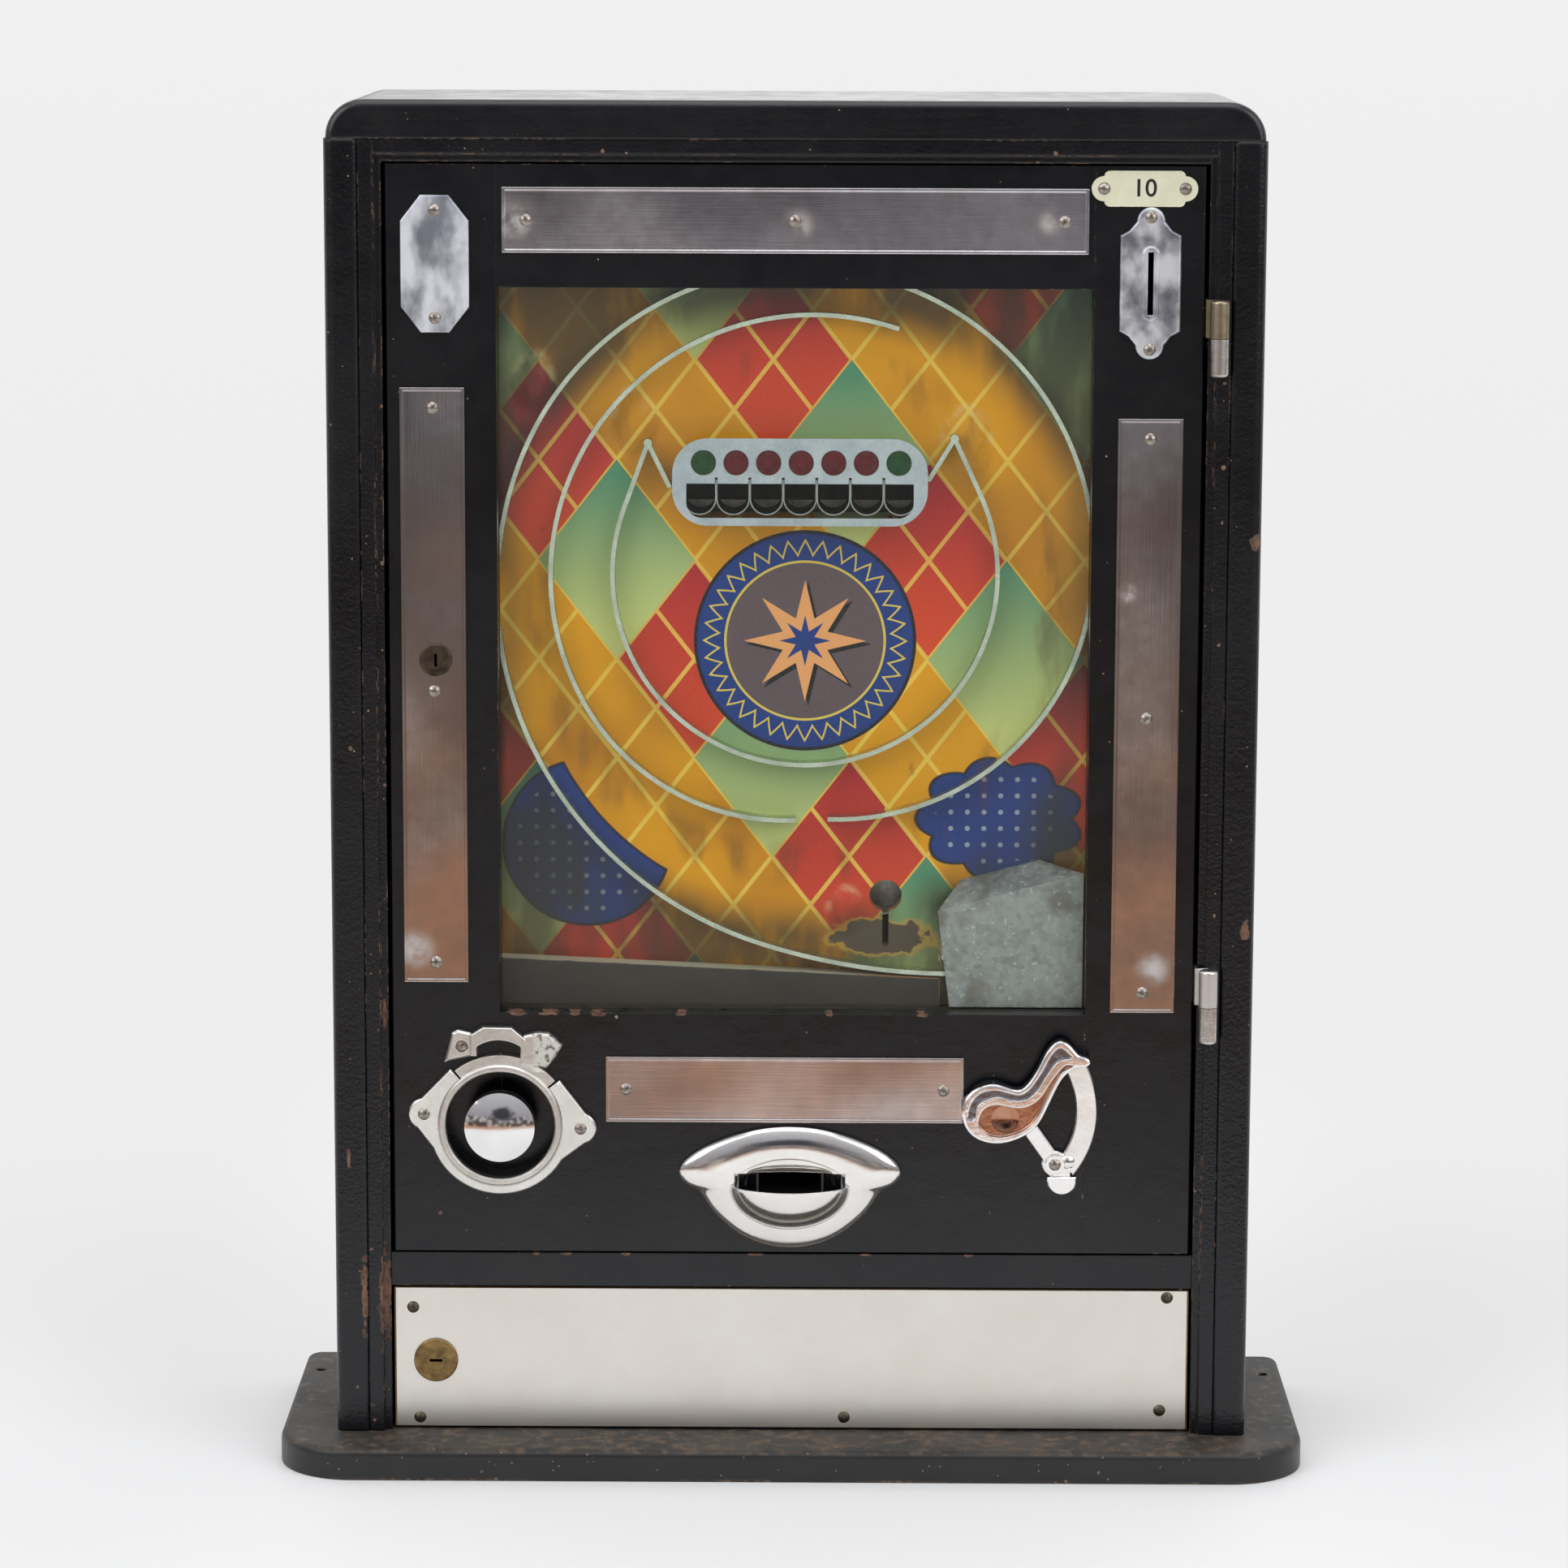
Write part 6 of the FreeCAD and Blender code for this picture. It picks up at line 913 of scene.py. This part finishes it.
local = diamond("Local")
mustard = blend(tree, drift.step(0.4, 0.7) * 0.7, MUSTARD, OCHRE)
red = blend(tree, local * 0.8 + drift * 0.5 - 0.2, ORANGE_RED, CRIMSON)
green = blend(tree, (local * 1.2 + fade * 0.6 - 0.45), PALE_GREEN, TEAL)
color = blend(tree, diamond("Red"), mustard, red)
color = blend(tree, diamond("Lines") * (fade * 0.5 + 0.42), color, CREAM_LINE)
color = blend(tree, diamond("Green"), color, green)
color = blend(tree, shape("Shape"), color, BLUE)
color = blend(tree, shape("Dots") * 0.8, color, shade(176, 184, 190))
color = blend(tree, shape("Outline") * 0.8, color, INK)
field_color = blend(tree, fade * 0.8, MAUVE, shade(88, 76, 84))
color = blend(tree, badge("Disc"), color, field_color)
color = blend(tree, badge("Shadow") * badge("Ring").invert(), color, INK)
color = blend(tree, badge("Star"), color, PEACH)
color = blend(tree, badge("Core"), color, BLUE)
color = blend(tree, badge("Ring"), color, BLUE)
color = blend(tree, badge("Zigzag") * badge("Disc"), color, shade(222, 196, 88))
color = blend(tree, badge("Outline"), color, INK)
print("card pattern", len(tree.nodes), "nodes")

# %% [markdown]
# Grime has crept in from the frame, and under the top of the frame a band of painted shadow darkens the card.
# The ball has rubbed the card bare by its hole, and small dark scuffs lie beside the rails. The varnish has
# run thick over four bulges, given as x, z and reach in mm, and each has a painted highlight, a pale ridge,
# on its upper side.

# %% Wear, painted shadow and painted highlights on the card
BULGES = ((-86, 568, 15), (92, 556, 17), (-140, 588, 14), (28, 300, 12))
SPIRAL = (2 * MM, 463 * MM)
HOLE = (48 * MM, 286 * MM)
RUB_HALF = (27 * MM, 10 * MM)
from_middle = polar(x - SPIRAL[0], z - SPIRAL[1])[0]
side = x.math("ABSOLUTE").step(138 * MM, 160 * MM) * 0.8
outside = from_middle.step(152 * MM, 178 * MM)
foot = z.step(300 * MM, 262 * MM) * 0.8
# The band under the top of the frame is painted shadow; the sides, the foot and the part outside the outer
# rail are grime.
painted_shadow_under_top = z.step(628 * MM, 650 * MM) * 0.9
darkening_noise = noise(tree, 26.0, 6.0, (1.6, 1, 0.5), seed=9.0)
darkened_zone = side.math("MAXIMUM", outside).math("MAXIMUM", foot).math("MAXIMUM", painted_shadow_under_top)
darkening = darkened_zone * darkening_noise.step(0.16, 0.56)
color = blend(tree, darkening * 0.84, color, shade(48, 46, 30))
lane = (from_middle - 136 * MM).math("ABSOLUTE").step(16 * MM, 4 * MM)
color = blend(tree, lane * darkening_noise.step(0.5, 0.66) * 0.5, color, shade(88, 56, 20))
scuff_places = place_group(tree, chip_tree, "Mask", Scale=30.0, Amount=0.16, Size=0.1)
streaks = noise(tree, 260.0, 3.0, (1, 1, 0.35)).step(0.5, 0.6)
color = blend(tree, scuff_places * streaks * (darkened_zone * 0.7 + 0.25) * 1.2, color, INK)
rub_x = (x - HOLE[0]) / RUB_HALF[0]
rub_z = (z - HOLE[1]) / RUB_HALF[1]
rub = polar(rub_x, rub_z)[0] + (noise(tree, 90.0, 5.0, seed=2.0) - 0.5) * 1.6
bare = rub.step(1.0, 0.86)
color = blend(tree, rub.step(1.25, 0.95) * 0.7, color, shade(190, 150, 60))
color = blend(tree, bare, color, shade(84, 74, 60))
warp = noise(tree, 16.0, 1.0, seed=1.0)
brushed = noise(tree, 60.0, 3.0, seed=14.0)
for place_x, place_z, reach in BULGES:
    from_bulge = polar(x - place_x * MM, (z - place_z * MM) * 0.7)[0] + (brushed - 0.5) * (7 * MM)
    # Each pale ridge is a painted highlight of the varnish shine, put into the colour.
    painted_highlight_ridge = (from_bulge - reach * 0.8 * MM).math("ABSOLUTE").step(3.2 * MM, 0.3 * MM)
    upper = (z - place_z * MM).step(-2 * MM, 5 * MM)
    color = blend(tree, painted_highlight_ridge * upper * brushed.step(0.44, 0.6) * 0.3, color, shade(236, 226, 176))
    warp = warp + from_bulge.step(reach * MM, reach * 0.15 * MM) * (reach / 12)
height = warp + paper * 0.0015 - bare * 0.03
level = bare * 0.4 + paper * 0.08 + darkening * 0.2 + 0.24
finish(tree, color, level, height=height, depth=4.0 * MM, Specular_IOR_Level=0.2,
       Coat_Weight=0.3, Coat_Roughness=0.06)
dress(card, "playfield_print")
print("card", card.name, "nodes", len(tree.nodes))

# %% [markdown]
# The window is plain glass. Light reaches the card through it, so for shadow rays the glass is
# made clear. Without that, a path tracer treats the pane as a solid that blocks the lamps.

# %% Window glass
glass, tree = new_material("window glass")
shader = finish(tree, shade(246, 250, 246), 0.01, Transmission_Weight=1.0, IOR=1.3)
rays = add(tree, "ShaderNodeLightPath").outputs
through = Field(tree, rays["Is Shadow Ray"]).math("MAXIMUM", rays["Is Diffuse Ray"])
part_clear(tree, shader, through, (0.96, 0.97, 0.96, 1))
dress(glass, "window_glass")
print("glass", glass.name)

# %% [markdown]
# The label is cream enamel, crazed all over and chipped to dark metal along its edges. The ball
# is polished steel, and the screws in the back have gone dark.

# %% Enamel label
enamel, tree = new_material("cream enamel")
crazing = place_group(tree, smudge_tree, "Value", Scale=90.0, Contrast=0.4)
worn = place_group(tree, wear_tree, "Mask", Width=0.6 * MM, Scale=300.0, Amount=0.5)
color = blend(tree, crazing * 0.5, shade(226, 226, 200), shade(204, 200, 168))
color = blend(tree, worn, color, shade(92, 78, 58))
finish(tree, color, crazing * 0.1 + 0.18, height=crazing, depth=0.05 * MM, Coat_Weight=0.4)
dress(enamel, "label_plate")

# %% Ball and back screws
ball_metal = bright_casting("polished ball", shade(226, 226, 228), shade(196, 196, 198), 0.04, 0.02)
screw_metal = dull_metal("screw steel", shade(186, 180, 172), shade(120, 108, 96), 0.22, scale=400.0)
dark_screw = dull_metal("dark screw steel", shade(120, 110, 96), shade(62, 54, 44), 0.35, scale=400.0)
dress(ball_metal, "steel_ball")
dress(dark_screw, "back_panel_screws")
print("label, ball and screws", enamel.name)

# %% [markdown]
# The CAD screws are plain domes. Up close a round-headed wood screw has a slot, so each dome is
# replaced by a turned head with a slot cut in it, at its own angle. The places are read from the
# CAD node: each of its separate solids is one screw, or the pin that the spring leans on.

# %% Find the solids in a node
def solids_in(name):
    """The box of each separate solid in a CAD node, as (lowest corner, highest corner)."""
    work = bmesh.new()
    work.from_mesh(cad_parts[name].data)
    bmesh.ops.remove_doubles(work, verts=work.verts, dist=0.005 * MM)
    left = set(work.verts)
    boxes = []
    while left:
        group = [left.pop()]
        found = list(group)
        while group:
            vert = group.pop()
            for edge in vert.link_edges:
                other = edge.other_vert(vert)
                if other in left:
                    left.remove(other)
                    group.append(other)
                    found.append(other)
        low = Vector([min(v.co[i] for v in found) for i in range(3)])
        high = Vector([max(v.co[i] for v in found) for i in range(3)])
        boxes.append((low, high))
    work.free()
    return sorted(boxes, key=lambda b: (round(b[0].x, 4), round(b[0].z, 4)))


print("solids", len(solids_in("plate_screws")), len(solids_in("cash_door_fixings")))

# %% Turned shapes
def turned(profile, sides):
    """A closed mesh turned about the Y axis, from (radius, y) points whose ends lie on the axis."""
    work = bmesh.new()
    rings = []
    for radius, y in profile:
        if radius == 0:
            rings.append([work.verts.new((0, y, 0))])
            continue
        turns = [2 * math.pi * i / sides for i in range(sides)]
        rings.append([work.verts.new((radius * math.cos(t), y, radius * math.sin(t))) for t in turns])
    for first, second in zip(rings, rings[1:]):
        for i in range(sides):
            j = (i + 1) % sides
            corners = [first[i % len(first)], first[j % len(first)],
                       second[j % len(second)], second[i % len(second)]]
            work.faces.new(list(dict.fromkeys(corners)))
    bmesh.ops.recalc_face_normals(work, faces=work.faces)
    return work


def to_object(work, name, material, smooth=True):
    """An object in the scene from a finished bmesh."""
    mesh = bpy.data.meshes.new(name)
    work.to_mesh(mesh)
    work.free()
    mesh.materials.append(material)
    mesh.polygons.foreach_set("use_smooth", [smooth] * len(mesh.polygons))
    piece = bpy.data.objects.new(name, mesh)
    bpy.context.scene.collection.objects.link(piece)
    return piece


def cut_with(piece, cutter):
    """The mesh of a piece with a cutter taken away. Both temporary objects are removed."""
    modifier = piece.modifiers.new("cut", "BOOLEAN")
    modifier.operation = "DIFFERENCE"
    modifier.solver = "EXACT"
    modifier.object = cutter
    graph = bpy.context.evaluated_depsgraph_get()
    mesh = bpy.data.meshes.new_from_object(piece.evaluated_get(graph))
    for old in (piece, cutter):
        bpy.data.objects.remove(old)
    return mesh


def add_copy(work, mesh, move):
    """Adds a moved copy of a mesh to a bmesh."""
    first = len(work.verts)
    work.from_mesh(mesh)
    work.verts.ensure_lookup_table()
    bmesh.ops.transform(work, matrix=move, verts=work.verts[first:])


def add_part(work, part, place):
    """Moves a finished bmesh to its place in another, and frees it."""
    mesh = bpy.data.meshes.new("part")
    part.to_mesh(mesh)
    part.free()
    add_copy(work, mesh, Matrix.Translation(place))
    bpy.data.meshes.remove(mesh)


SHARP = math.radians(40)
print("shape makers ready")

# %% Slotted heads
HEAD_R = 3.3 * MM
HEAD_H = 1.5 * MM
SLOT_W = 0.9 * MM
SLOT_DEEP = 0.9 * MM


def slotted_head(material):
    """One round head, its flat back on y = 0, with a slot across it."""
    ball_r = (HEAD_R ** 2 + HEAD_H ** 2) / (2 * HEAD_H)
    reach = math.asin(HEAD_R / ball_r)
    steps = 8
    arc = [reach * i / steps for i in range(steps + 1)]
    profile = [(ball_r * math.sin(a), ball_r - HEAD_H - ball_r * math.cos(a)) for a in arc]
    profile[0] = (0, -HEAD_H)
    head = to_object(turned(profile + [(HEAD_R, 0.1 * MM), (0, 0.1 * MM)], 28), "head", material)
    work = bmesh.new()
    bmesh.ops.create_cube(work, size=1.0, matrix=Matrix.Diagonal((SLOT_W, 2 * SLOT_DEEP, 3 * HEAD_R, 1)))
    bmesh.ops.translate(work, verts=work.verts, vec=(0, -HEAD_H, 0))
    return cut_with(head, to_object(work, "slot", material, smooth=False))


def middle_at(box, y):
    """The middle of a box seen from the front, at a depth y."""
    low, high = box
    return Vector(((low.x + high.x) / 2, y, (low.z + high.z) / 2))


def heads_on(name, boxes, material, first_angle, turn):
    """One object with a slotted head on each screw, each turned further than the last."""
    mesh = slotted_head(material)
    work = bmesh.new()
    for i, box in enumerate(boxes):
        place = Matrix.Translation(middle_at(box, box[0].y + HEAD_H))
        add_copy(work, mesh, place @ Matrix.Rotation(first_angle + turn * i, 4, "Y"))
    piece = to_object(work, name, material)
    piece.data.set_sharp_from_angle(angle=SHARP)
    return piece


def wider_than(width, boxes):
    return [box for box in boxes if box[1].x - box[0].x > width]


SCREW_LEAST = 5 * MM
fixings = solids_in("plate_screws")
screws = wider_than(SCREW_LEAST, fixings)
pins = [box for box in fixings if box not in screws]
door_heads = heads_on("door_screw_heads", screws, screw_metal, 0.7, 2.1)
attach(door_heads, "front_door")
print("door screw heads", len(screws), "spring pins", len(pins))

# %% [markdown]
# What is behind the heads is out of sight, so plain turned pins stand in the holes.

# %% Screw shanks and spring pin
SHANK_R = 1.5 * MM
SHANK_START = HEAD_H + 0.05 * MM


def pins_for(name, boxes, material, radius=None, start=0.0):
    """One object with a pin in each box, as wide as the box where no radius is given."""
    work = bmesh.new()
    for low, high in boxes:
        r = radius or (high.x - low.x) / 2
        front = low.y + start
        pin = turned([(0, front), (r, front), (r, high.y), (0, high.y)], 16)
        add_part(work, pin, middle_at((low, high), 0))
    piece = to_object(work, name, material)
    piece.data.set_sharp_from_angle(angle=SHARP)
    return piece


door_shanks = pins_for("door_screw_shanks", screws, screw_metal, radius=SHANK_R, start=SHANK_START)
spring_pin = pins_for("spring_pin", pins, screw_metal)
for piece in (door_shanks, spring_pin):
    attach(piece, "front_door")
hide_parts("plate_screws")
print("shanks", len(screws))

# %% [markdown]
# One nail stands a little proud of the sill under the glass. It is a low turned dome.

# %% Nail head on the sill
NAIL_X = -95 * MM
NAIL_DOWN = 2.2 * MM
NAIL_PROFILE = [(0, -0.7 * MM), (0.8 * MM, -0.5 * MM), (1.2 * MM, 0.05 * MM), (0, 0.05 * MM)]
nail = to_object(turned(NAIL_PROFILE, 16), "sill_nail", screw_metal)
panel_low, panel_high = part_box("door_lower_panel")
nail.location = (NAIL_X, panel_low[1], panel_high[2] - NAIL_DOWN)
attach(nail, "front_door")
print("nail", nail.name)

# %% [markdown]
# The lenses over the cups are pressed glass, domed in front with a ring of flutes that makes
# them sparkle. They are turned shapes too, with the flutes from moving every other point in.

# %% Lenses
def lens_glass(name, color):
    """Coloured glass that darkens in clouds."""
    material, tree = new_material(name)
    cloudy = noise(tree, 150.0, 2.0)
    tint = blend(tree, cloudy, color, (color[0] * 0.4, color[1] * 0.4, color[2] * 0.4, 1))
    finish(tree, tint, cloudy * 0.05 + 0.06, height=cloudy, depth=0.1 * MM,
           Transmission_Weight=0.1, IOR=1.5, Specular_IOR_Level=0.25, Coat_Weight=0.15, Coat_Roughness=0.04)
    return material


LENS_R = 6.7 * MM
LENS_FRONT = ((0, 0), (1.6, 0.02), (3.2, 0.2), (3.6, 0.5), (5.2, 0.62), (6.2, 0.95))
LENS_RIM = 1.0 * MM
FLUTES = 20
FLUTED = (3.4 * MM, 6.4 * MM)
FLUTE_DEEP = 0.25 * MM


def lens_piece(name, node, material):
    """A pressed lens for each solid of a node. Its front is given in mm, as radius and depth."""
    work = bmesh.new()
    for low, high in solids_in(node):
        deep = high.y - low.y
        dome = [(radius * MM, depth * MM) for radius, depth in LENS_FRONT]
        one = turned(dome + [(LENS_R, LENS_RIM), (LENS_R, deep), (0, deep)], 2 * FLUTES)
        for vert in one.verts:
            radius = math.hypot(vert.co.x, vert.co.z)
            count = round(math.atan2(vert.co.z, vert.co.x) / (math.pi / FLUTES))
            if FLUTED[0] < radius < FLUTED[1] and count % 2:
                vert.co.y += FLUTE_DEEP
        add_part(work, one, middle_at((low, high), low.y))
    piece = to_object(work, name, material)
    piece.data.set_sharp_from_angle(angle=math.radians(30))
    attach(piece, "front_door")
    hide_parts(node)
    return piece


red_glass = lens_glass("red lens glass", shade(112, 2, 20))
green_glass = lens_glass("green lens glass", shade(14, 82, 32))
lens_piece("red_lens_domes", "red_lenses", red_glass)
lens_piece("green_lens_domes", "green_lenses", green_glass)
print("lenses", red_glass.name, green_glass.name)

# %% [markdown]
# The cash door's screws get slotted heads too, in darker steel. The CAD node stays under them,
# because it also holds the pins that the door turns on.

# %% Cash door screws
cash_screws = wider_than(SCREW_LEAST, solids_in("cash_door_fixings"))
cash_heads = heads_on("cash_screw_heads", cash_screws, dark_screw, 0.4, 1.3)
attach(cash_heads, "cash_door")
dress(dark_screw, "cash_door_fixings")
print("cash screw heads", len(cash_screws))

# %% [markdown]
# The label over the coin slot is left bare but for a plain numeral.

# %% Numeral
low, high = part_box("label_plate")
ink, tree = new_material("black ink")
finish(tree, INK, noise(tree, 400.0, 2.0) * 0.2 + 0.4)
font = bpy.data.curves.new("numeral", "FONT")
font.body = "10"
font.size = 13 * MM
font.offset = 0.15 * MM
font.extrude = 0.05 * MM
font.align_x = "CENTER"
font.align_y = "CENTER"
font.materials.append(ink)
numeral = bpy.data.objects.new("label_numeral", font)
numeral.location = ((low[0] + high[0]) / 2, low[1], (low[2] + high[2]) / 2)
numeral.rotation_euler = (math.pi / 2, 0, 0)
bpy.context.scene.collection.objects.link(numeral)
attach(numeral, "front_door")
print("numeral", numeral.name)

# %% [markdown]
# Bright plating is a mirror, so it needs a room to show. This one is plain: white paper below,
# a brown floor beyond the paper, walls with some clutter low down and a dark doorway in the
# middle, and pale light above. The world has this room, shaded by height, for everything that
# reflects, and pale paper for the camera. Behind the machine the paper goes on up.

# %% World
world = bpy.data.worlds.new("studio")
world.use_nodes = True
bpy.context.scene.world = world
tree = world.node_tree
tree.nodes.clear()
PAPER = shade(238, 238, 239)
PAPER_HIGH = shade(243, 243, 244)
ROOM = ((-1.0, (240, 240, 239)), (-0.262, (243, 242, 240)), (-0.245, (208, 158, 126)),
        (-0.2, (188, 140, 112)), (-0.165, (140, 114, 100)), (-0.13, (116, 102, 94)),
        (-0.1, (142, 138, 140)), (-0.05, (150, 147, 152)), (0.04, (168, 174, 188)),
        (0.14, (204, 210, 222)), (0.5, (216, 221, 231)), (1.0, (226, 228, 234)))
DOORWAY_HEIGHT = 0.08
DOORWAY_NARROWED = 3.6
DOORWAY_LOWERED = 6.5
direction = add(tree, "ShaderNodeTexCoord").outputs["Generated"]
toward = three_parts(tree, direction)
ramp = add(tree, "ShaderNodeValToRGB", {0: toward[2] * 0.5 + 0.5})
bands = ramp.color_ramp.elements
for i, (sine, color) in enumerate(ROOM):
    band = bands[i] if i < 2 else bands.new(0.5)
    band.position = sine * 0.5 + 0.5
    band.color = shade(*color)
placed = add(tree, "ShaderNodeTexNoise", {"Vector": direction, "Scale": 11.0, "Detail": 1.0})
clutter = Field(tree, placed.outputs[0])
low_wall = toward[2].step(-0.22, -0.17) * toward[2].step(0.04, -0.02)
room = blend(tree, clutter.step(0.5, 0.58) * low_wall * 0.75, ramp.outputs[0], shade(58, 50, 48))
room = blend(tree, clutter.step(0.46, 0.4) * low_wall * 0.7, room, shade(196, 188, 184))
across = toward[0] * DOORWAY_NARROWED
above = (toward[2] - DOORWAY_HEIGHT) * DOORWAY_LOWERED
doorway = (across * across + above * above).math("SQRT") + (clutter - 0.5) * 0.8
room = blend(tree, doorway.step(1.1, 0.5) * 0.9, room, shade(34, 36, 46))
paper = blend(tree, toward[2].step(-0.12, 0.1), PAPER, PAPER_HIGH)
room = blend(tree, toward[1].step(-0.05, 0.25), room, paper)
rays = add(tree, "ShaderNodeLightPath").outputs
straight = Field(tree, rays["Is Camera Ray"]).math("MAXIMUM", rays["Is Transmission Ray"])
background = add(tree, "ShaderNodeBackground", {"Color": blend(tree, straight, room, paper), "Strength": 1.0})
tree.links.new(background.outputs[0], add(tree, "ShaderNodeOutputWorld").inputs[0])
print("world", len(ROOM), "bands")

# %% [markdown]
# The floor is a round sheet that fades out, so that no edge shows between it and the backdrop.

# %% Floor
FLOOR_R = 2.2
FLOOR_FADE = (0.5, 1.1)
work = bmesh.new()
bmesh.ops.create_circle(work, cap_ends=True, segments=96, radius=FLOOR_R)
paper, tree = new_material("paper floor")
x, y, z = surface_place(tree)
# The sides of the floor are painted a little darker, as painted shade against the lamps that light them more.
painted_shade_aside = x.math("ABSOLUTE").step(0.16, 0.42)
shader = finish(tree, blend(tree, painted_shade_aside, shade(242, 242, 241), shade(229, 229, 228)), 0.7)
part_clear(tree, shader, (x * x + y * y).math("SQRT").step(*FLOOR_FADE))
floor = to_object(work, "floor", paper)
print("floor", floor.name)

# %% [markdown]
# Four large soft lamps light the machine from all round. They are large so that their
# reflections in the paint and plating stay broad and dim.

# %% Lamps
LAMP_SIZE = 2.0
LIT_MIDDLE = Vector((0, 0, 0.35))


def softbox(name, place, power):
    """A square lamp that faces the middle of the machine."""
    lamp_data = bpy.data.lights.new(name, "AREA")
    lamp_data.size = LAMP_SIZE
    lamp_data.energy = power
    lamp = bpy.data.objects.new(name, lamp_data)
    aim = LIT_MIDDLE - Vector(place)
    lamp.matrix_world = Matrix.Translation(place) @ aim.to_track_quat("-Z", "Y").to_matrix().to_4x4()
    bpy.context.scene.collection.objects.link(lamp)


softbox("left softbox", (-2.1, -1.7, 1.9), 27)
softbox("right softbox", (2.1, -1.8, 1.7), 22)
softbox("top softbox", (0.0, -0.8, 2.7), 17)
softbox("back softbox", (0.4, 2.2, 1.8), 8)
print("lamps ready")
